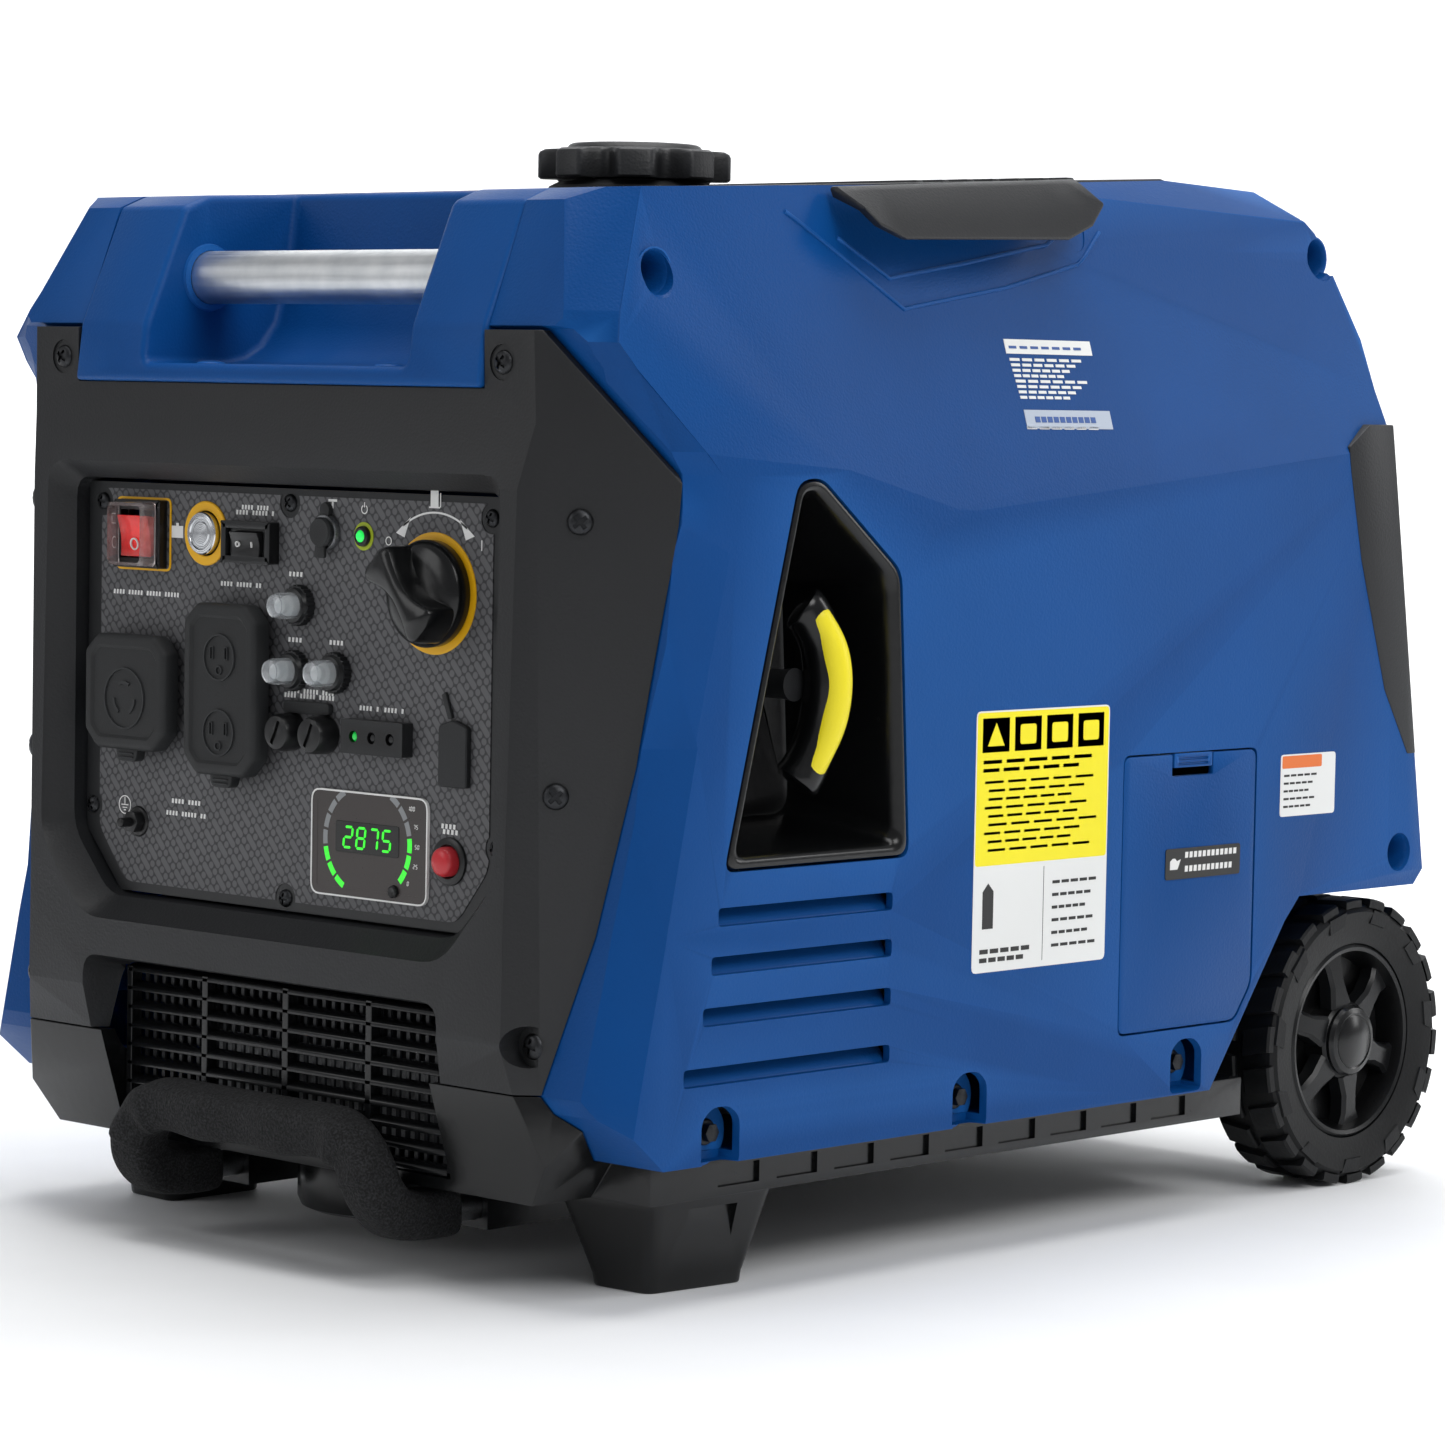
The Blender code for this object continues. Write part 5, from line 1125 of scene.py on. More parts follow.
USB = (0.1165, 0.2473)
EARTH = (-0.1085, 0.2000)
PLATE_SCREWS = [(-0.1375, 0.3560), (0.1375, 0.3560), (0.0, 0.3590), (-0.1435, 0.2060), (0.1435, 0.2060), (0.0, 0.1714)]
INK = 0.00012


def flat(outline, depth=INK, back=0.0):
    """Thin plate facing the front whose back lies a little way behind the plate's face."""
    return prism(outline, "y", PLATE_Y - depth, PLATE_Y + back)


def circle(radius, centre=(0, 0), steps=40):
    return [(centre[0] + radius * math.cos(math.tau * k / steps), centre[1] + radius * math.sin(math.tau * k / steps))
            for k in range(steps)]


def hoop(outline, width, front, back):
    """Closed band round an outline, width inwards."""
    inner = shrunk(outline, width)
    loops = [[(x, y, z) for x, z in points] for points, y in
             ((outline, back), (outline, front), (inner, front), (inner, back))]
    return skin(loops, ring=True)


def bar_mark(x, z, width, height, degrees=0.0):
    """Small straight printed stroke."""
    turn = math.radians(degrees)
    points = [(x + a * math.cos(turn) - b * math.sin(turn), z + a * math.sin(turn) + b * math.cos(turn))
              for a, b in rectangle(width, height)]
    return flat(points)


def arc_mark(centre, radius, start, end, width, steps=24):
    """Printed arc from a start to an end angle in degrees, anticlockwise from +x."""
    angles = [math.radians(start + (end - start) * k / steps) for k in range(steps + 1)]
    outer = [(centre[0] + radius * math.cos(a), centre[1] + radius * math.sin(a)) for a in angles]
    inner = [(centre[0] + (radius - width) * math.cos(a), centre[1] + (radius - width) * math.sin(a)) for a in angles]
    return flat(outer + inner[::-1])


SEGMENTS = {"0": "abcdef", "1": "bc", "2": "abged", "3": "abgcd", "5": "afgcd", "7": "abc", "8": "abcdefg", "6": "afgecd"}


def digit_strokes(character, x, z, width, height, thick, front):
    """Seven-segment figure made of pointed bars, leaning slightly."""
    w, h = width / 2, height / 2
    spots = {"a": (0, h, True), "g": (0, 0, True), "d": (0, -h, True), "b": (w, h / 2, False), "c": (w, -h / 2, False),
             "f": (-w, h / 2, False), "e": (-w, -h / 2, False)}
    shapes = []
    for letter in SEGMENTS[character]:
        cx, cz, level = spots[letter]
        length = (width if level else h) * 0.86 / 2
        t = thick / 2
        outline = [(-length, 0), (-length + t, t), (length - t, t), (length, 0), (length - t, -t), (-length + t, -t)]
        if not level:
            outline = [(b, a) for a, b in outline][::-1]
        shapes.append(prism([(x + cx + a + (cz + b) * 0.12, z + cz + b) for a, b in outline], "y", front, front + 0.0003))
    return shapes


def figures(text, x, z, width, height, thick, front, pitch):
    shapes = []
    for index, character in enumerate(text):
        if character != " ":
            shapes += digit_strokes(character, x + index * pitch, z, width, height, thick, front)
    return shapes


def panel_holes():
    shapes = []
    for x, z, width, height in ((*MAIN_ROCKER, 0.0240, 0.0300), (*ECO_ROCKER, 0.0220, 0.0160),
                                (DUPLEX[0], DUPLEX[1], DUPLEX[2] + 0.0006, DUPLEX[3] + 0.0006),
                                (DISPLAY[0], DISPLAY[1], DISPLAY[2] + 0.0006, DISPLAY[3] + 0.0006)):
        shapes.append(prism(rectangle(width, height, (x, z)), "y", -0.1, 0.0))
    holes = [(*START, 0.0108), (*RESET, 0.0074), (*DIAL, 0.0055), (*ROUND_OUTLET, 0.0223)]
    holes += [(*spot, 0.0054) for spot in BREAKERS.values()] + [(*spot, 0.0064) for spot in PARALLEL.values()]
    shapes += [prism(circle(radius, (x, z), 32), "y", -0.1, 0.0) for x, z, radius in holes]
    return joined(*shapes)


def make_panel():
    outline = [(-0.1487, 0.3657), (-0.1487, 0.1951), (-0.1219, 0.1655), (0.1219, 0.1655), (0.1487, 0.1951),
               (0.1487, 0.3657)]
    plate = place("panel_plate", prism(outline, "y", PLATE_Y + 0.0002, PLATE_Y + 0.003), FINISH["satin_black"],
                  smooth=False, replaces=["control_plate"], slot="control_black")
    combine(plate, panel_holes())
    film_outline = rounded([(-0.1385, 0.3625), (-0.1385, 0.1960), (-0.1180, 0.1700), (0.1180, 0.1700), (0.1385, 0.1960),
                            (0.1385, 0.3625)], 0.006, 5)
    film = place("panel_film", prism(film_outline, "y", PLATE_Y - 0.0002, PLATE_Y + 0.0002), FINISH["film"],
                 smooth=False, slot="panel_print")
    combine(film, panel_holes())
    for x, z in PLATE_SCREWS:
        combine(film, prism(circle(0.0072, (x, z), 32), "y", -0.1, 0.0))
    for index, (x, z) in enumerate(PLATE_SCREWS):
        put_screw(f"panel_screw_{index}", FINISH["screw"], (x, PLATE_Y, z), 0.0043, 0.0022, spin=17 * index + 8)


def rocker_shape(width, height, tilt, at):
    """Rocker with a hollowed face, tipped about its pivot."""
    h = height / 2 - 0.0010
    face = [(-0.0075, -h), (-0.0068, -h * 0.6), (-0.0062, 0.0), (-0.0068, h * 0.6), (-0.0075, h), (0.0045, h * 0.7),
            (0.0045, -h * 0.7)]
    return moved(rotated(prism(face, "x", -width / 2, width / 2), tilt, "X"), (at[0], PLATE_Y, at[1]))


def make_rockers():
    x, z = MAIN_ROCKER
    frame_outline = rounded(rectangle(0.0408, 0.0356, (x, z)), 0.0035, 4)
    place("main_switch_outline", hoop(frame_outline, 0.0011, PLATE_Y - 0.0006, PLATE_Y - 0.0001), FINISH["yellow_ring"],
          slot="panel_print")
    bezel_outline = rounded(rectangle(0.0340, 0.0330, (x, z)), 0.0012, 3)
    place("main_switch_bezel", hoop(bezel_outline, 0.0048, PLATE_Y - 0.0050, PLATE_Y - 0.0001), FINISH["satin_black"],
          bevel=0.0005, slot="control_black")
    place("main_rocker_lens", rocker_shape(0.0220, 0.0225, 8, MAIN_ROCKER), FINISH["red_lit"], "main_rocker",
          bevel=0.0006, replaces=["main_rocker"], slot="red_switch")
    mark = hoop(circle(0.0030, (0, -0.0040)), 0.0007, -0.0074, -0.0066)
    place("main_rocker_mark", moved(rotated(mark, 8, "X"), (x, PLATE_Y, z)), FINISH["white_ink"], "main_rocker",
          slot="red_switch")
    guard_loops = [[(px, y, pz) for px, pz in rounded(rectangle(w, h, (x, z)), 0.0025, 4)] for w, h, y in
                   ((0.0285, 0.0315, PLATE_Y - 0.0052), (0.0275, 0.0305, PLATE_Y - 0.0120),
                    (0.0245, 0.0275, PLATE_Y - 0.0135), (0.0225, 0.0255, PLATE_Y - 0.0128),
                    (0.0255, 0.0285, PLATE_Y - 0.0113), (0.0265, 0.0295, PLATE_Y - 0.0052))]
    place("main_switch_guard", skin(guard_loops[:3] + [[(px, y + 0.0008, pz) for px, y, pz in guard_loops[2]]] +
                                    guard_loops[4:], ring=True), FINISH["guard"], slot="clear_button")
    x, z = ECO_ROCKER
    bezel_outline = rounded(rectangle(0.0350, 0.0200, (x, z)), 0.0010, 3)
    place("eco_switch_bezel", hoop(bezel_outline, 0.0034, PLATE_Y - 0.0065, PLATE_Y - 0.0001), FINISH["satin_black"],
          bevel=0.0005, slot="control_black")
    place("eco_switch_collar", hoop(rectangle(0.0262, 0.0152, (x, z)), 0.0026, PLATE_Y - 0.0045, PLATE_Y - 0.0001),
          FINISH["satin_black"], bevel=0.0003, slot="control_black")
    place("eco_rocker_key", rocker_shape(0.0200, 0.0140, 8, ECO_ROCKER), FINISH["satin_black"], "eco_rocker",
          bevel=0.0005, replaces=["eco_rocker"], slot="control_black")
    marks = joined(hoop(circle(0.0014, (-0.005, 0)), 0.0004, -0.0072, -0.0061),
                   prism(rectangle(0.0004, 0.0028, (0.005, 0)), "y", -0.0072, -0.0061))
    place("eco_rocker_marks", moved(rotated(marks, 8, "X"), (x, PLATE_Y, z)), FINISH["white_ink"], "eco_rocker",
          slot="control_black")


def make_buttons():
    x, z = START
    ring = turned([(0.0109, 0.0001), (0.0155, 0.0001), (0.0155, 0.0008), (0.0150, 0.0012), (0.0114, 0.0012), (0.0109, 0.0008)],
                  "y", 64)
    place("start_ring", moved(ring, (x, PLATE_Y, z)), FINISH["yellow_ring"], slot="panel_print")
    face = [(0, -0.0120), (0.0103, -0.0120), (0.0103, 0.0034), (0.0098, 0.0040), (0.0080, 0.0042), (0.0076, 0.0036),
            (0.0058, 0.0036), (0.0054, 0.0041), (0, 0.0043)]
    place("start_cap", moved(turned(face, "y", 64), (x, PLATE_Y, z)), FINISH["start_metal"], "start_button",
          replaces=["start_button"], slot="chrome_button")
    x, z = RESET
    collar = turned([(0.0075, 0.0001), (0.0112, 0.0001), (0.0110, 0.0014), (0.0100, 0.0020), (0.0080, 0.0020), (0.0075, 0.0012)],
                    "y", 48)
    place("reset_collar", moved(collar, (x, PLATE_Y, z)), FINISH["satin_black"], slot="control_black")
    dome = [(0, -0.0120), (0.0069, -0.0120), (0.0069, 0.0044), (0.0064, 0.0060), (0.0050, 0.0071), (0.0028, 0.0075),
            (0, 0.0076)]
    place("reset_cap", moved(turned(dome, "y", 48), (x, PLATE_Y, z)), FINISH["red"], "reset_button",
          replaces=["reset_button"], slot="red_switch")
    for name, (x, z) in BREAKERS.items():
        nut_points = [((0.0098 if k % 2 else 0.0090) * math.cos(math.tau * k / 48),
                       (0.0098 if k % 2 else 0.0090) * math.sin(math.tau * k / 48)) for k in range(48)]
        place(f"{name}_nut", moved(joined(hoop(nut_points, 0.0034, -0.0045, -0.0002),
                                          turned([(0.0056, 0.0044), (0.0086, 0.0044), (0.0078, 0.0062), (0.0056, 0.0066)], "y", 40)),
                                   (x, PLATE_Y, z)), FINISH["satin_black"], slot="control_black")
        boot = [(0.0054, 0.0060), (0.0064, 0.0060), (0.0062, 0.0150), (0.0054, 0.0176), (0.0034, 0.0186), (0, 0.0188),
                (0, 0.0180), (0.0032, 0.0178), (0.0048, 0.0168), (0.0054, 0.0148)]
        place(f"{name}_boot", moved(turned(boot, "y", 40), (x, PLATE_Y, z)), FINISH["boot"], name,
              slot="clear_button")
        stem = [(0, -0.0200), (0.0050, -0.0200), (0.0050, 0.0100), (0.0036, 0.0112), (0.0036, 0.0140), (0, 0.0144)]
        place(f"{name}_stem", moved(turned(stem, "y", 32), (x, PLATE_Y, z)), FINISH["white_ink"], name,
              replaces=[name], slot="clear_button")


def make_dial():
    x, z = DIAL
    place("dial_disc", moved(turned([(0.0057, 0.0001), (0.0282, 0.0001), (0.0280, 0.0006), (0.0057, 0.0007)], "y", 72),
                             (x, PLATE_Y, z)), FINISH["yellow_ring"], slot="panel_print")
    knob = turned([(0, -0.0200), (0.0050, -0.0200), (0.0050, 0.0010), (0.0246, 0.0010), (0.0248, 0.0060), (0.0238, 0.0084),
                   (0.0210, 0.0104), (0.0150, 0.0118), (0, 0.0122)], "y", 72)
    dial = place("dial_knob", moved(knob, (x, PLATE_Y, z)), FINISH["gloss_black"], "dial", smooth=False,
                 replaces=["fuel_dial"], slot="control_black")
    loops = []
    for depth, grow in ((-0.0090, 0.0016), (-0.0200, 0.0008), (-0.0232, 0.0), (-0.0244, -0.0018)):
        outline = [(-0.0090, 0.0225), (0.0060, 0.0232), (0.0096, 0.0195), (0.0058, 0.0090), (0.0040, 0.0), (0.0052, -0.0090),
                   (0.0104, -0.0200), (0.0040, -0.0236), (-0.0064, -0.0232), (-0.0098, -0.0195), (-0.0060, -0.0090),
                   (-0.0042, 0.0), (-0.0054, 0.0090), (-0.0110, 0.0190)]
        loops.append([(a, depth, b) for a, b in rounded(shrunk(outline, -grow), 0.0045, 5)])
    combine(dial, moved(rotated(skin(loops), -45, "Y"), (x, PLATE_Y, z)), "UNION")
    round_edges(dial, 0.0007, 2, 40)
    shade(dial)
    marks = [arc_mark(DIAL, 0.0375, 55, 125, 0.0009),
             flat([(x + 0.0165, z + 0.0345), (x + 0.0262, z + 0.0270), (x + 0.0205, z + 0.0250)]),
             flat([(x - 0.0165, z + 0.0345), (x - 0.0205, z + 0.0250), (x - 0.0262, z + 0.0270)]),
             hoop(circle(0.0021, (x - 0.0310, z + 0.0230)), 0.0005, PLATE_Y - INK - 0.0002, PLATE_Y - 0.0002),
             bar_mark(x + 0.0310, z + 0.0230, 0.0006, 0.0048),
             flat(rectangle(0.0052, 0.0075, (x - 0.0006, z + 0.0435))), bar_mark(x - 0.0006, z + 0.0394, 0.0072, 0.0007),
             bar_mark(x + 0.0034, z + 0.0428, 0.0006, 0.0066)]
    place("dial_marks", moved(joined(*marks), (0, -0.0002, 0)), FINISH["white_ink"], slot="panel_print")


def lid_outline(width, low, corner):
    w = width / 2
    return [(-w + corner, 0.004), (-w, -0.004), (-w, -low + corner), (-w + corner, -low), (w - corner, -low),
            (w, -low + corner), (w, -0.004), (w - corner, 0.004)]


def make_outlets():
    x, z = ROUND_OUTLET
    body = turned([(0, -0.0350), (0.0220, -0.0350), (0.0220, 0.0030), (0.0210, 0.0040), (0.0180, 0.0040), (0.0175, 0.0030),
                   (0, 0.0030)], "y", 64)
    socket = place("round_socket", moved(body, (x, PLATE_Y, z)), FINISH["satin_black"], smooth=False,
                   replaces=["outlet_round"], slot="control_black")
    for degrees in (90, 210, 330):
        combine(socket, moved(rotated(block((-0.0030, -0.006, 0.0070), (0.0030, 0.0060, 0.0082)), degrees, "Y"), (x, PLATE_Y, z)))
    shade(socket)
    x, z, width, height = DUPLEX
    socket = place("duplex_socket", prism(rectangle(width, height, (x, z)), "y", PLATE_Y - 0.0040, PLATE_Y + 0.0350),
                   FINISH["satin_black"], smooth=False, replaces=["outlet_duplex"], slot="control_black")
    round_edges(socket, 0.0012)
    for centre in (z - 0.0190, z + 0.0190):
        for dx, half in ((-0.0063, 0.0040), (0.0063, 0.0032)):
            combine(socket, block((x + dx - 0.0010, -0.1, centre - half), (x + dx + 0.0010, PLATE_Y + 0.004, centre + half)))
        combine(socket, prism(circle(0.0024, (x, centre - 0.0085), 20), "y", -0.1, PLATE_Y + 0.004))
    shade(socket)
    for name, body, centre, hinge, width, low, corner, wells in (
            ("round_lid", "round_cover", ROUND_OUTLET[0], 0.2880, 0.0600, 0.0520, 0.009, (-0.0270,)),
            ("duplex_lid", "duplex_cover", DUPLEX[0], 0.3060, 0.0520, 0.0780, 0.009, (-0.0215, -0.0575))):
        outline = lid_outline(width, low, corner)
        steps = ((-0.0048, 0.0), (-0.0120, 0.0), (-0.0136, 0.0010), (-0.0144, 0.0026), (-0.0144, 0.0054), (-0.0132, 0.0068))
        loops = [[(px + centre, PLATE_Y + y, pz + hinge) for px, pz in rounded(shrunk(outline, inset), 0.0018, 3)]
                 for y, inset in steps]
        cad = {"round_lid": "outlet_round_cover", "duplex_lid": "outlet_duplex_cover"}[name]
        place(name, skin(loops), FINISH["lid"], body, replaces=[cad], slot="soft_rubber")
        for index, drop in enumerate(wells):
            relief = [hoop(circle(0.0150 if len(wells) == 1 else 0.0112, (0, 0), 56), 0.0008, -0.0140, -0.0131)]
            if len(wells) == 1:
                for degrees in (90, 210, 330):
                    blade = prism([(0.0085 * math.cos(math.radians(degrees + a)), 0.0085 * math.sin(math.radians(degrees + a)))
                                   for a in (-28, -10, 10, 28)] +
                                  [(0.0070 * math.cos(math.radians(degrees + a)), 0.0070 * math.sin(math.radians(degrees + a)))
                                   for a in (28, 10, -10, -28)], "y", -0.0140, -0.0131)
                    relief.append(blade)
            else:
                relief += [hoop(rectangle(0.0022, 0.0062, (dx, 0.0020)), 0.0004, -0.0140, -0.0131) for dx in (-0.0052, 0.0052)]
                relief.append(hoop(circle(0.0022, (0, -0.0062), 20), 0.0005, -0.0140, -0.0131))
            place(f"{name}_relief_{index}", moved(joined(*relief), (centre, PLATE_Y, hinge + drop)), FINISH["lid"], body,
                  slot="soft_rubber")
        barrel = rod(0.0030, -width * 0.36, width * 0.36, "x", 24, 0.0006)
        place(f"{name}_barrel", moved(barrel, (centre, PLATE_Y - 0.0050, hinge)), FINISH["lid"], body,
              slot="soft_rubber")
        tab = rounded([(-0.0085, -low + 0.002), (0.0085, -low + 0.002), (0.0070, -low - 0.0058), (-0.0070, -low - 0.0058)], 0.003, 4)
        place(f"{name}_thumb_tab", prism([(px + centre, pz + hinge) for px, pz in tab], "y", PLATE_Y - 0.0118, PLATE_Y - 0.0060),
              FINISH["lid"], body, bevel=0.0008, slot="soft_rubber")
        grip_ridges = [block((-0.0055, -0.0125, -low - 0.0042 + k * 0.0020), (0.0055, -0.0118, -low - 0.0034 + k * 0.0020))
                       for k in range(2)]
        place(f"{name}_thumb_ridges", moved(joined(*grip_ridges), (centre, PLATE_Y, hinge)), FINISH["lid"], body,
              bevel=0.0002, segments=1, slot="soft_rubber")


def make_small_fittings():
    x, z = USB
    flap = rounded([(-0.0095, -0.0030), (0.0000, 0.0), (0.0095, -0.0030), (0.0095, -0.0310), (-0.0095, -0.0310)], 0.0018, 3)
    place("usb_flap", skin([[(px + x, PLATE_Y + y, pz + z + 0.0160) for px, pz in shrunk(flap, inset)] for y, inset in
                            ((-0.0005, 0.0), (-0.0028, 0.0), (-0.0034, 0.0006))]), FINISH["lid"], "usb_cover",
          replaces=["usb_cover"], slot="soft_rubber")
    strap = [(-0.0045, 0.0012), (-0.0090, 0.0120), (-0.0065, 0.0135), (-0.0018, 0.0018)]
    place("usb_strap", prism([(px + x, pz + z + 0.0150) for px, pz in strap], "y", PLATE_Y - 0.0020, PLATE_Y - 0.0002),
          FINISH["lid"], bevel=0.0003, slot="soft_rubber")
    x, z = DC_SOCKET
    barrel = turned([(0.0062, 0.0002), (0.0086, 0.0002), (0.0086, 0.0024), (0.0080, 0.0034), (0.0062, 0.0034)], "y", 48)
    place("dc_ring", moved(barrel, (x, PLATE_Y, z)), FINISH["steel"], slot="plated_steel")
    cap = [(0, 0.0036), (0.0070, 0.0036), (0.0072, 0.0052), (0.0064, 0.0062), (0.0020, 0.0060), (0, 0.0060)]
    place("dc_cap_disc", moved(turned(cap, "y", 48), (x, PLATE_Y, z)), FINISH["lid"], "dc_cap",
          replaces=["dc_socket_cap"], slot="soft_rubber")
    tab = rounded([(-0.0030, -0.0055), (0.0030, -0.0055), (0.0036, -0.0120), (-0.0036, -0.0120)], 0.0014, 3)
    place("dc_cap_tab", prism([(px + x, pz + z) for px, pz in tab], "y", PLATE_Y - 0.0058, PLATE_Y - 0.0040),
          FINISH["lid"], "dc_cap", bevel=0.0004, slot="soft_rubber")
    strap = rounded([(-0.0028, 0.0052), (0.0028, 0.0052), (0.0034, 0.0120), (0.0, 0.0146), (-0.0034, 0.0120)], 0.0014, 3)
    place("dc_strap", prism([(px + x, pz + z) for px, pz in strap], "y", PLATE_Y - 0.0030, PLATE_Y - 0.0002),
          FINISH["lid"], bevel=0.0004, slot="soft_rubber")
    x, z = LAMP
    place("lamp_ring", moved(turned([(0.0046, 0.0), (0.0066, 0.0), (0.0066, 0.0004), (0.0046, 0.0005)], "y", 40),
                             (x, PLATE_Y - 0.0002, z)), FINISH["green_ring"], slot="panel_print")
    place("lamp_bezel", moved(turned([(0.0028, 0.0002), (0.0050, 0.0002), (0.0046, 0.0024), (0.0036, 0.0032), (0.0028, 0.0028)],
                                     "y", 40), (x, PLATE_Y, z)), FINISH["satin_black"], slot="control_black")
    place("lamp_lens", moved(turned([(0, 0.0002), (0.0029, 0.0002), (0.0028, 0.0028), (0.0018, 0.0038), (0, 0.0041)], "y", 32),
                             (x, PLATE_Y, z)), FINISH["green_lit"], slot="clear_button")
    for label, (x, z) in PARALLEL.items():
        knob = turned([(0, -0.0120), (0.0060, -0.0120), (0.0060, 0.0004), (0.0088, 0.0004), (0.0092, 0.0020), (0.0088, 0.0100),
                       (0.0078, 0.0118), (0.0050, 0.0124), (0, 0.0120)], "y", 48)
        knob_piece = place(f"parallel_knob_{label}", moved(knob, (x, PLATE_Y, z)), FINISH["satin_black"],
                           f"parallel_{label}", smooth=False, replaces=[f"parallel_cap_{label}"], slot="control_black")
        combine(knob_piece, moved(rotated(block((-0.0010, -0.02, -0.006), (0.0010, -0.0108, 0.006)), 25, "Y"), (x, PLATE_Y, z)))
        shade(knob_piece)
    link = rounded(rectangle(0.0320, 0.0058, (0.0163, 0.2630)), 0.0024, 4)
    place("parallel_strap", prism(link, "y", PLATE_Y - 0.0034, PLATE_Y - 0.0002), FINISH["lid"], bevel=0.0005,
          slot="soft_rubber")
    block_piece = place("status_block", prism(rounded(rectangle(0.0420, 0.0160, (0.0660, 0.2520)), 0.0010, 3), "y",
                                              PLATE_Y - 0.0070, PLATE_Y - 0.0002), FINISH["satin_black"], smooth=False,
                        slot="control_black")
    for k in range(3):
        combine(block_piece, prism(circle(0.0028, (0.0535 + k * 0.0125, 0.2520), 28), "y", -0.1, PLATE_Y - 0.0035))
    shade(block_piece)
    for k, finish_name in enumerate(("green_lit", "satin_black", "satin_black")):
        place(f"status_lens_{k}", moved(turned([(0, 0.0020), (0.0026, 0.0020), (0.0024, 0.0052), (0.0014, 0.0062), (0, 0.0064)],
                                               "y", 28), (0.0535 + k * 0.0125, PLATE_Y, 0.2520)), FINISH[finish_name],
              slot="clear_button")
    x, z = EARTH
    place("earth_nut", moved(joined(hex_bolt(0.0076, 0.0058), turned([(0, 0.0050), (0.0024, 0.0050), (0.0024, 0.0120), (0.0018, 0.0126),
                                                                     (0, 0.0126)], "y", 24)), (x, PLATE_Y, z)),
          FINISH["satin_black"], bevel=0.0003, slot="control_black")


def make_display():
    x, z, width, height = DISPLAY
    body = prism(rounded(rectangle(width, height, (x, z)), 0.004, 4), "y", PLATE_Y - 0.0015, PLATE_Y + 0.0150)
    display = place("display_body", body, FINISH["display_film"], smooth=False, replaces=["data_display"],
                    slot="control_black")
    combine(display, prism(circle(0.0032, DISPLAY_BUTTON, 24), "y", -0.1, PLATE_Y + 0.010))
    shade(display)
    outline = rounded(rectangle(0.0800, 0.0500, (x, z)), 0.006, 5)
    place("display_outline", hoop(outline, 0.0008, PLATE_Y - 0.0018, PLATE_Y - 0.0001), FINISH["white_ink"], slot="panel_print")
    film = place("display_apron", hoop(shrunk(outline, 0.0008), 0.0036, PLATE_Y - 0.0016, PLATE_Y - 0.0001),
                 FINISH["display_film"], slot="control_black")
    shade(film)
    window = rounded(rectangle(0.0435, 0.0147, (0.0583, 0.2042)), 0.0012, 3)
    place("display_window", prism(window, "y", PLATE_Y - 0.0018, PLATE_Y - 0.0014), FINISH["dark_window"], bevel=0.0001,
          segments=1, slot="control_black")
    place("display_digits", joined(*figures("2875", 0.0455, 0.2042, 0.0054, 0.0096, 0.0012, PLATE_Y - 0.0021, 0.0088)),
          FINISH["digit"], slot="clear_button")
    greys, lights = [], []
    for centre_x, sign, lit in ((0.0583 - 0.004, -1, 3), (0.0583 + 0.004, 1, 4)):
        for k in range(7):
            start = (118 + k * 18 if sign < 0 else 62 - k * 18)
            if sign > 0 and k == 6:
                continue                   # the key sits where the last mark would be
            a, b = (start, start + 15) if sign < 0 else (start - 15, start)
            mark = moved(arc_mark((centre_x, 0.2030), 0.0265, a, b, 0.0030, 6), (0, -0.0015, 0))
            (lights if k in (range(3, 7) if sign > 0 else range(4, 7)) else greys).append(mark)
    place("display_gauges", joined(*greys), FINISH["gauge_grey"], slot="panel_print")
    place("display_gauges_lit", joined(*lights), FINISH["digit"], slot="clear_button")
    place("display_gauge_figures", joined(*figures("100", 0.0865, 0.2205, 0.0009, 0.0019, 0.0003, PLATE_Y - 0.0018, 0.0017),
                                          *figures("75", 0.0905, 0.2122, 0.0009, 0.0019, 0.0003, PLATE_Y - 0.0018, 0.0017),
                                          *figures("50", 0.0915, 0.2030, 0.0009, 0.0019, 0.0003, PLATE_Y - 0.0018, 0.0017),
                                          *figures("25", 0.0905, 0.1938, 0.0009, 0.0019, 0.0003, PLATE_Y - 0.0018, 0.0017),
                                          *figures("0", 0.0865, 0.1856, 0.0009, 0.0019, 0.0003, PLATE_Y - 0.0018, 0.0017)),
          FINISH["white_ink"], slot="panel_print")
    x, z = DISPLAY_BUTTON
    face = turned([(0, -0.0080), (0.0028, -0.0080), (0.0028, 0.0030), (0.0022, 0.0035), (0.0010, 0.0032), (0, 0.0031)], "y", 28)
    place("display_key", moved(face, (x, PLATE_Y, z)), FINISH["satin_black"], "display_button",
          replaces=["display_button"], slot="control_black")


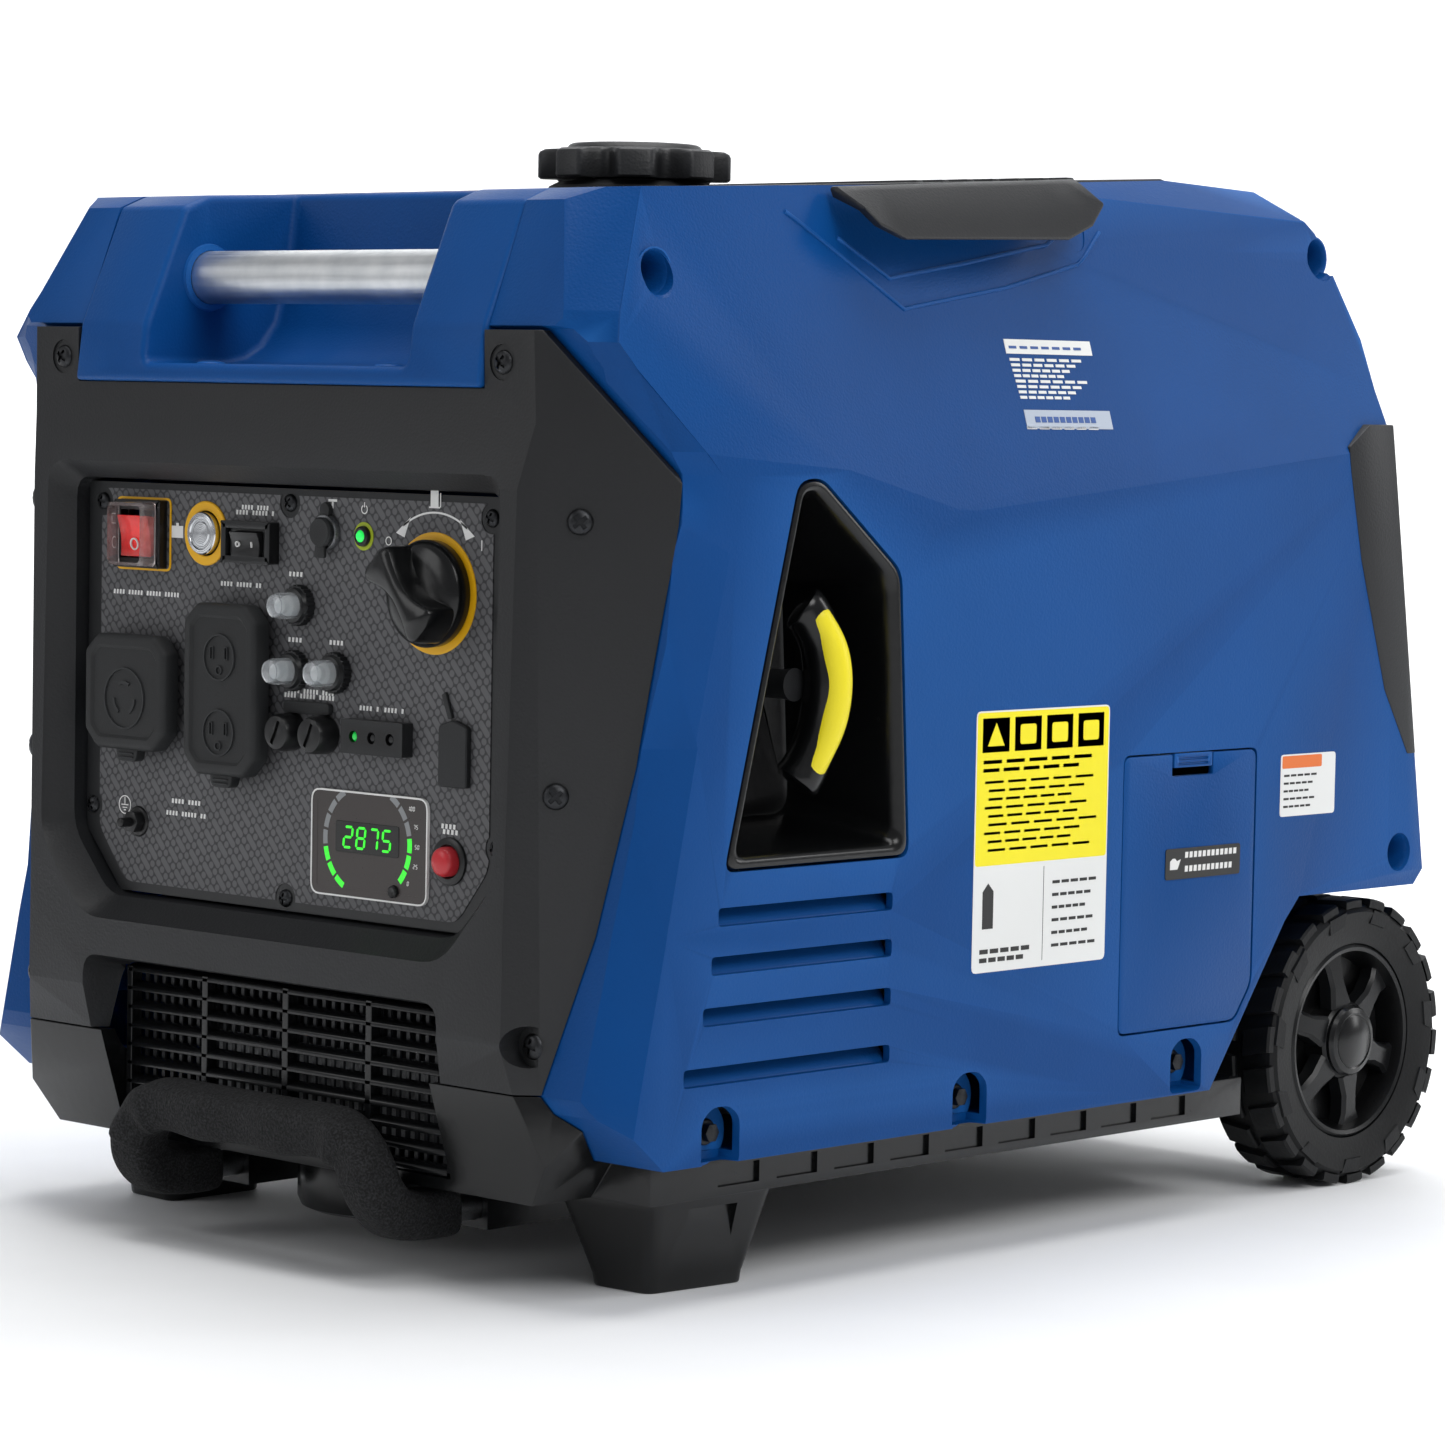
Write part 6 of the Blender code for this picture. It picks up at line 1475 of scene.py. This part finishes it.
def make_panel_marks():
    """White pictograms and plain strokes where the panel carries its small print."""
    marks = []
    for x, z, width in ((-0.1045, 0.3120, 0.0500), (-0.0345, 0.3190, 0.0300), (-0.0249, 0.3560, 0.0200),
                        (-0.0249, 0.3535, 0.0280), (0.0060, 0.3255, 0.0130), (0.0060, 0.2945, 0.0130), (0.0350, 0.2945, 0.0130),
                        (0.0163, 0.2705, 0.0330), (0.0163, 0.2682, 0.0380), (0.0570, 0.2650, 0.0140), (0.0740, 0.2650, 0.0140),
                        (0.1130, 0.2140, 0.0130), (0.1130, 0.2115, 0.0110), (-0.0730, 0.2120, 0.0220), (-0.0730, 0.2060, 0.0300)):
        letters = max(3, int(width / 0.0022))
        for k in range(letters):
            if k % 6 == 4:
                continue
            marks.append(bar_mark(x + (k - (letters - 1) / 2) * width / letters, z, width / letters * 0.55, 0.0022, -6))
    x, z = EARTH
    marks += [hoop(circle(0.0046, (x - 0.0105, z + 0.0075)), 0.0005, PLATE_Y - INK, PLATE_Y),
              bar_mark(x - 0.0105, z + 0.0075, 0.0052, 0.0005), bar_mark(x - 0.0105, z + 0.0061, 0.0034, 0.0005),
              bar_mark(x - 0.0105, z + 0.0049, 0.0016, 0.0005), bar_mark(x - 0.0105, z + 0.0095, 0.0005, 0.0036)]
    x, z = START
    marks += [bar_mark(x - 0.0215, z, 0.0085, 0.0058), bar_mark(x - 0.0215, z + 0.0036, 0.0018, 0.0014)]
    x, z = MAIN_ROCKER
    marks += [hoop(rectangle(0.0070, 0.0052, (x - 0.0245, z + 0.0068)), 0.0005, PLATE_Y - INK, PLATE_Y),
              hoop(circle(0.0030, (x - 0.0245, z - 0.0050)), 0.0005, PLATE_Y - INK, PLATE_Y)]
    x, z = DC_SOCKET
    marks += [bar_mark(x + 0.003, z + 0.0150, 0.0060, 0.0012), bar_mark(x + 0.003, z + 0.0128, 0.0012, 0.0030)]
    x, z = LAMP
    marks += [arc_mark((x, z + 0.0125), 0.0022, -240, 60, 0.0005), bar_mark(x, z + 0.0146, 0.0005, 0.0024)]
    place("panel_marks", moved(joined(*marks), (0, -0.0002, 0)), FINISH["white_ink"], slot="panel_print")


# Generic labels on the right side -------------------------------------------------------
def side_print(outline, depth=0.0003, lift=0.0):
    """Thin label on the right side; outline in (y, z)."""
    return prism(outline, "x", FACE_X - 0.0001 + lift, FACE_X - 0.0001 + lift + depth)


def side_lines(y, z, width, count, pitch, height, indent=0.0):
    """Plain strokes that stand for lines of small print, each line ragged on its right."""
    shapes = []
    for k in range(count):
        length = width * (0.97 - 0.23 * ((k * 7) % 5) / 4)
        start = y + indent * (k % 3 != 0)
        words = 5
        for w in range(words):
            a = start + length * (w + 0.06) / words
            b = start + length * (w + 0.86) / words
            shapes.append(side_print([(a, z - k * pitch), (b, z - k * pitch), (b, z - k * pitch + height),
                                      (a, z - k * pitch + height)], 0.0001, 0.0003))
    return shapes


def label_box(y0, z0, y1, z1, radius=0.002):
    return rounded([(y0, z0), (y1, z0), (y1, z1), (y0, z1)], radius, 3)


def make_labels():
    place("label_paper", side_print(label_box(0.153, 0.139, 0.254, 0.265, 0.003)), FINISH["label_white"])
    place("label_yellow_field", side_print(label_box(0.1538, 0.1905, 0.2532, 0.2642, 0.002), 0.0002, 0.0002),
          FINISH["label_yellow"])
    ink = []
    for k in range(4):
        y = 0.1575 + k * 0.0240
        ink.append(side_print([(y, 0.2450), (y + 0.0200, 0.2450), (y + 0.0200, 0.2615), (y, 0.2615)], 0.0001, 0.0003))
    ink += side_lines(0.1575, 0.2395, 0.088, 2, 0.0040, 0.0018)
    ink += side_lines(0.1590, 0.2300, 0.088, 9, 0.0041, 0.0013, 0.003)
    ink += side_lines(0.1580, 0.1480, 0.040, 2, 0.0042, 0.0022)
    ink += side_lines(0.2120, 0.1790, 0.036, 6, 0.0062, 0.0015)
    ink.append(side_print([(0.1600, 0.1600), (0.1680, 0.1600), (0.1680, 0.1780), (0.1640, 0.1820), (0.1600, 0.1780)], 0.0001, 0.0003))
    ink.append(side_print([(0.2055, 0.1420), (0.2058, 0.1420), (0.2058, 0.1880), (0.2055, 0.1880)], 0.0001, 0.0003))
    place("label_print", joined(*ink), FINISH["label_ink"])
    icons = []
    for k in range(4):
        y, z = 0.1675 + k * 0.0240, 0.2530
        if k == 0:
            icons.append(side_print([(y - 0.0062, z - 0.0050), (y + 0.0062, z - 0.0050), (y, z + 0.0062)], 0.0001, 0.0004))
        else:
            icons.append(side_print(label_box(y - 0.0060, z - 0.0048, y + 0.0060, z + 0.0048, 0.0015), 0.0001, 0.0004))
    place("label_icons", joined(*icons), FINISH["label_yellow"])
    place("notice_paper", side_print(label_box(0.395, 0.2020, 0.442, 0.2340, 0.002)), FINISH["label_white"])
    place("notice_band", side_print(label_box(0.3962, 0.2268, 0.4300, 0.2332, 0.001), 0.0002, 0.0002), FINISH["label_orange"])
    place("notice_print", joined(*side_lines(0.3975, 0.2225, 0.030, 5, 0.0040, 0.0011)), FINISH["label_ink"])
    plate = [(y, z) for y, z in label_box(0.3010, 0.1750, 0.3620, 0.1905, 0.0015)]
    place("door_plate", prism(plate, "x", FACE_X - 0.0001, FACE_X + 0.0004), FINISH["label_ink"], "oil_door")
    drop = [(0.3045, 0.1800), (0.3105, 0.1800), (0.3130, 0.1850), (0.3100, 0.1842), (0.3085, 0.1856), (0.3065, 0.1856), (0.3045, 0.1842)]
    strokes = [side_print(drop, 0.0001, 0.0005)]
    for row, (z, count) in enumerate(((0.1855, 12), (0.1785, 11))):
        for k in range(count):
            y = 0.3165 + k * 0.0036
            strokes.append(side_print([(y, z), (y + 0.0024, z), (y + 0.0026, z + 0.0030), (y + 0.0002, z + 0.0030)], 0.0001, 0.0005))
    place("door_plate_marks", joined(*strokes), FINISH["white_ink"], "oil_door")


def laid_sheet(touch, y0, z0, y1, z1, lift, columns=8, rows=6):
    """Thin sheet that follows the shell's face; touch gives the face at (y, z)."""
    loops = []
    for i in range(columns + 1):
        y = y0 + (y1 - y0) * i / columns
        heights = [z0 + (z1 - z0) * k / rows for k in range(rows + 1)]
        loops.append([(touch(y, z) + lift, y, z) for z in heights]
                     + [(touch(y, z) + lift - 0.0004, y, z) for z in reversed(heights)])
    return skin(loops)


def make_upper_prints():
    """Label on the leaning face, and the raised lines round the shoulder grips on both sides."""
    tree = BVHTree.FromObject(bpy.data.objects["side_shell_right"], bpy.context.evaluated_depsgraph_get())

    def touch(y, z):
        return tree.ray_cast(Vector((0.30, y + SHIFT, z)), Vector((-1, 0, 0)))[0].x

    place("upper_label", laid_sheet(touch, 0.194, 0.4360, 0.258, 0.4430, 0.0003), FINISH["label_white"])
    place("upper_label_band", laid_sheet(touch, 0.198, 0.4000, 0.262, 0.4090, 0.0003), FINISH["label_grey"])
    words, marks = [], []
    for k in range(9):
        z = 0.4325 - k * 0.0026 - (k > 7) * 0.0120
        length = 0.056 * (0.98 - 0.3 * ((k * 5) % 4) / 3)
        for w in range(6):
            start = 0.1955 + k * 0.0003 + length * w / 6
            words.append(laid_sheet(touch, start, z, start + length * 0.13, z + 0.0014, 0.0003, 1, 1))
    for k in range(10):
        marks.append(laid_sheet(touch, 0.205 + k * 0.0046, 0.4030, 0.2085 + k * 0.0046, 0.4058, 0.0005, 1, 1))
    for k in range(7):
        marks.append(laid_sheet(touch, 0.1965 + k * 0.0080, 0.4385, 0.2020 + k * 0.0080, 0.4398, 0.0005, 1, 1))
    place("upper_label_words", joined(*words), FINISH["white_ink"])
    place("upper_label_marks", joined(*marks), FINISH["label_blue_ink"])
    for side, name in ((1, "right"), (-1, "left")):
        ridges = []
        for corners in (((0.050, 0.499), (0.080, 0.4822), (0.1259, 0.4557), (0.2036, 0.4679), (0.2618, 0.4810), (0.2812, 0.4975)),
                        ((0.0850, 0.4880), (0.1193, 0.4700), (0.1778, 0.4790), (0.2400, 0.4900), (0.2580, 0.5000))):
            points = []
            for (ya, za), (yb, zb) in zip(corners, corners[1:]):
                points += [(ya + (yb - ya) * k / 8, za + (zb - za) * k / 8) for k in range(8)]
            path = [Vector((touch(y, z), y, z)) for y, z in points + [corners[-1]]]
            ridges.append(swept(path, lambda t, a: 0.0011, 10))
        place(f"shoulder_lines_{name}", sided(joined(*ridges), side), FINISH["blue"], slot="blue_housing")
    guard = [(0.4648, 0.4040), (0.4469, 0.3922), (0.4492, 0.3793), (0.4602, 0.3334), (0.4839, 0.2646),
             (0.5060, 0.2300), (0.5133, 0.2300), (0.4969, 0.3329), (0.4877, 0.3900), (0.4853, 0.4040)]
    for side, name in ((1, "right"), (-1, "left")):
        place(f"rear_corner_{name}", sided(prism(guard, "x", 0.2080, SIDE_X), side), FINISH["black"], bevel=0.0008,
              slot="black_housing")
# Inner pieces and carried pieces keep their shape and take a finish -----------------------
INNER_FINISHES = {
    "engine_block": "cast", "cylinder_head": "cast", "crankshaft": "steel", "alternator_rotor": "steel",
    "alternator_stator": "copper", "recoil_housing": "black", "recoil_reel": "satin_black", "muffler": "steel",
    "carburettor": "cast", "air_filter_box": "black", "fuel_tank": "tank", "inverter_module": "cast",
    "battery": "satin_black", "oil_fill_cap": "yellow_pad", "oil_drain_pipe": "rubber", "axle": "steel",
}


def finish_inner_pieces():
    for node, finish_name in INNER_FINISHES.items():
        obj = NODES[node]
        for slot in obj.material_slots:
            slot.link = "OBJECT"
            slot.material = FINISH[finish_name]


# Stage -----------------------------------------------------------------------------
def make_stage(settings):
    """Pale sweep of floor, soft lights and the camera."""
    bm = bmesh.new()
    profile = [(-6.0, 0.0), (2.2, 0.0), (2.7, 0.03), (3.1, 0.18), (3.4, 0.5), (3.5, 1.0), (3.5, 5.0)]
    across, ahead = Vector((0.7277, 0.6858, 0)), Vector((-0.6858, 0.7277, 0))
    rows = [[bm.verts.new(tuple(across * s * 7 + ahead * d + Vector((0, 0, h)))) for d, h in profile] for s in (-1, 1)]
    for i in range(len(profile) - 1):
        bm.faces.new((rows[0][i], rows[1][i], rows[1][i + 1], rows[0][i + 1]))
    mesh = bpy.data.meshes.new("floor_sweep")
    bm.to_mesh(mesh)
    bm.free()
    mesh.shade_smooth()
    floor = bpy.data.objects.new("floor_sweep", mesh)
    bpy.context.collection.objects.link(floor)
    mesh.materials.append(FINISH["floor"])

    world = bpy.data.worlds.new("studio")
    bpy.context.scene.world = world
    world.use_nodes = True
    world.node_tree.nodes["Background"].inputs["Color"].default_value = (0.96, 0.97, 1.0, 1.0)
    world.node_tree.nodes["Background"].inputs["Strength"].default_value = settings.ambient
    for name, place_at_, target, power, size in LIGHTS:
        data = bpy.data.lights.new(name, "AREA")
        data.energy = power
        data.shape = "RECTANGLE"
        data.size, data.size_y = size
        lamp = bpy.data.objects.new(name, data)
        bpy.context.collection.objects.link(lamp)
        lamp.location = place_at_
        lamp.rotation_euler = (Vector(target) - Vector(place_at_)).to_track_quat("-Z", "Y").to_euler()

    azimuth, pitch, roll = (math.radians(a) for a in (43.3, 3.94, 1.05))
    ahead = Vector((-math.sin(azimuth) * math.cos(pitch), math.cos(azimuth) * math.cos(pitch), -math.sin(pitch)))
    right = Vector((math.cos(azimuth), math.sin(azimuth), 0))
    up = right.cross(ahead)
    right, up = right * math.cos(roll) + up * math.sin(roll), up * math.cos(roll) - right * math.sin(roll)
    data = bpy.data.cameras.new("view_camera")
    data.sensor_width = 36
    data.lens = settings.lens
    camera = bpy.data.objects.new("view_camera", data)
    bpy.context.collection.objects.link(camera)
    basis = Matrix((right, up, -ahead)).transposed().to_4x4()
    camera.matrix_world = Matrix.Translation((1.71766619, -1.60663001 + SHIFT, 0.41628083)) @ basis
    bpy.context.scene.camera = camera
    bpy.context.scene.view_settings.view_transform = "Standard"


LIGHTS = (  # name, place, target, watts, size in metres
    ("key_softbox", (2.6, -0.6, 2.4), (0.0, 0.0, 0.25), 42, (1.6, 1.6)),
    ("front_softbox", (-1.4, -2.8, 1.6), (0.0, -0.3, 0.25), 14, (1.4, 1.8)),
    ("top_softbox", (0.0, 0.2, 2.9), (0.0, 0.0, 0.3), 62, (2.2, 2.2)),
    ("rear_strip", (1.8, 2.6, 1.4), (0.1, 0.2, 0.3), 16, (0.6, 1.8)),
    ("backdrop_softbox", (-1.0, 1.1, 2.6), (-2.4, 2.5, 0.9), 70, (2.4, 0.8)),
)


# Settings, operators and panel ------------------------------------------------------------
class GeneratorHousing(bpy.types.PropertyGroup):
    """Sizes and colours of the housing."""
    blue: FloatVectorProperty(name="Shell colour", description="Moulded colour of the side shells and top cover, sRGB",
                              subtype="COLOR_GAMMA", size=3, min=0.0, max=1.0, default=(0.016, 0.262, 0.512))
    edge: FloatProperty(name="Shell edge radius", description="Rounding of the blue shells' outer edges",
                        unit="LENGTH", min=0.001, max=0.006, default=0.0034)


class GeneratorWheels(bpy.types.PropertyGroup):
    """Counts for the wheels."""
    tread_blocks: IntProperty(name="Tread blocks", description="Blocks round each shoulder of a tyre",
                              min=12, max=40, default=22)
    spokes: IntProperty(name="Spokes", description="Spokes in each rim", min=3, max=10, default=6)


class GeneratorView(bpy.types.PropertyGroup):
    """Studio light and camera."""
    ambient: FloatProperty(name="Ambient light", description="Strength of the even studio light", min=0.0, max=5.0,
                           default=0.32)
    lens: FloatProperty(name="Lens", description="Focal length in millimetres on a 36 mm sensor", min=20, max=300,
                        default=120.58)


class GENERATOR_OT_finishes(bpy.types.Operator):
    """Make every material and give the inner pieces theirs"""
    bl_idname = "generator.finishes"
    bl_label = "Finishes"

    def execute(self, context):
        FINISH.update(make_materials(context.scene.generator_housing))
        finish_inner_pieces()
        return {"FINISHED"}


class GENERATOR_OT_side_shells(bpy.types.Operator):
    """Blue shells of both sides with louvres, pockets and bolts"""
    bl_idname = "generator.side_shells"
    bl_label = "Side Shells"

    def execute(self, context):
        for side, label in ((1, "right"), (-1, "left")):
            make_shell(side, label, context.scene.generator_housing)
            make_shell_trims(side, label)
        return {"FINISHED"}


class GENERATOR_OT_oil_door(bpy.types.Operator):
    """Oil access door and its latch"""
    bl_idname = "generator.oil_door"
    bl_label = "Oil Door"

    def execute(self, context):
        make_oil_door()
        return {"FINISHED"}


class GENERATOR_OT_front(bpy.types.Operator):
    """Black front bezel with its screws, and the louvred air intake"""
    bl_idname = "generator.front"
    bl_label = "Front Bezel"

    def execute(self, context):
        make_front_frame(context.scene.generator_housing)
        make_grille()
        return {"FINISHED"}


class GENERATOR_OT_base(bpy.types.Operator):
    """Base tray and front feet"""
    bl_idname = "generator.base"
    bl_label = "Base and Feet"

    def execute(self, context):
        make_base()
        return {"FINISHED"}


class GENERATOR_OT_top(bpy.types.Operator):
    """Top cover, carry tube, deck, shoulder grips and filler cap"""
    bl_idname = "generator.top"
    bl_label = "Top"

    def execute(self, context):
        make_top_cover(context.scene.generator_housing)
        make_top_deck()
        make_fuel_cap()
        return {"FINISHED"}


class GENERATOR_OT_rear(bpy.types.Operator):
    """Rear cover and exhaust slats"""
    bl_idname = "generator.rear"
    bl_label = "Rear Cover"

    def execute(self, context):
        make_rear()
        return {"FINISHED"}


class GENERATOR_OT_starter(bpy.types.Operator):
    """Recoil starter funnel, rope guide and pull handle"""
    bl_idname = "generator.starter"
    bl_label = "Recoil Starter"

    def execute(self, context):
        make_starter()
        return {"FINISHED"}


class GENERATOR_OT_wheels(bpy.types.Operator):
    """Treaded tyres, spoked rims and hub caps"""
    bl_idname = "generator.wheels"
    bl_label = "Wheels"

    def execute(self, context):
        for side, label in ((1, "right"), (-1, "left")):
            make_wheel(side, label, context.scene.generator_wheels)
        return {"FINISHED"}


class GENERATOR_OT_tow_handle(bpy.types.Operator):
    """Tow handle with its foam grip"""
    bl_idname = "generator.tow_handle"
    bl_label = "Tow Handle"

    def execute(self, context):
        make_tow_handle()
        return {"FINISHED"}


class GENERATOR_OT_control_panel(bpy.types.Operator):
    """Printed control panel with its switches, buttons, dial and marks"""
    bl_idname = "generator.control_panel"
    bl_label = "Control Panel"

    def execute(self, context):
        make_panel()
        make_rockers()
        make_buttons()
        make_dial()
        make_small_fittings()
        make_display()
        make_panel_marks()
        return {"FINISHED"}


class GENERATOR_OT_outlets(bpy.types.Operator):
    """Mains outlets and their hinged covers"""
    bl_idname = "generator.outlets"
    bl_label = "Outlets"

    def execute(self, context):
        make_outlets()
        return {"FINISHED"}


class GENERATOR_OT_labels(bpy.types.Operator):
    """Generic labels on the right side"""
    bl_idname = "generator.labels"
    bl_label = "Labels"

    def execute(self, context):
        make_labels()
        make_upper_prints()
        return {"FINISHED"}


class GENERATOR_OT_stage(bpy.types.Operator):
    """Floor, studio lights and camera"""
    bl_idname = "generator.stage"
    bl_label = "Stage"

    def execute(self, context):
        make_stage(context.scene.generator_view)
        return {"FINISHED"}


OPERATORS = (GENERATOR_OT_finishes, GENERATOR_OT_stage, GENERATOR_OT_side_shells, GENERATOR_OT_oil_door,
             GENERATOR_OT_front, GENERATOR_OT_base, GENERATOR_OT_top, GENERATOR_OT_rear, GENERATOR_OT_starter,
             GENERATOR_OT_wheels, GENERATOR_OT_tow_handle, GENERATOR_OT_control_panel, GENERATOR_OT_outlets,
             GENERATOR_OT_labels)


class GENERATOR_PT_panel(bpy.types.Panel):
    """Steps and settings of the inverter generator"""
    bl_idname = "GENERATOR_PT_panel"
    bl_label = "Inverter Generator"
    bl_space_type = "VIEW_3D"
    bl_region_type = "UI"
    bl_category = "Generator"

    def draw(self, context):
        scene = context.scene
        for group in (scene.generator_housing, scene.generator_wheels, scene.generator_view):
            box = self.layout.box()
            for name in group.__annotations__:
                box.prop(group, name)
        for operator in OPERATORS:
            self.layout.operator(operator.bl_idname)


GROUPS = {"generator_housing": GeneratorHousing, "generator_wheels": GeneratorWheels, "generator_view": GeneratorView}


def register():
    for cls in (*GROUPS.values(), *OPERATORS, GENERATOR_PT_panel):
        bpy.utils.register_class(cls)
    for name, group in GROUPS.items():
        setattr(bpy.types.Scene, name, PointerProperty(type=group))


def unregister():
    for name in GROUPS:
        delattr(bpy.types.Scene, name)
    for cls in (GENERATOR_PT_panel, *reversed(OPERATORS), *GROUPS.values()):
        bpy.utils.unregister_class(cls)


def main():
    register()
    for operator in OPERATORS:
        group, name = operator.bl_idname.split(".")
        getattr(getattr(bpy.ops, group), name)()
    bpy.context.view_layer.update()


if __name__ == "__main__":
    main()
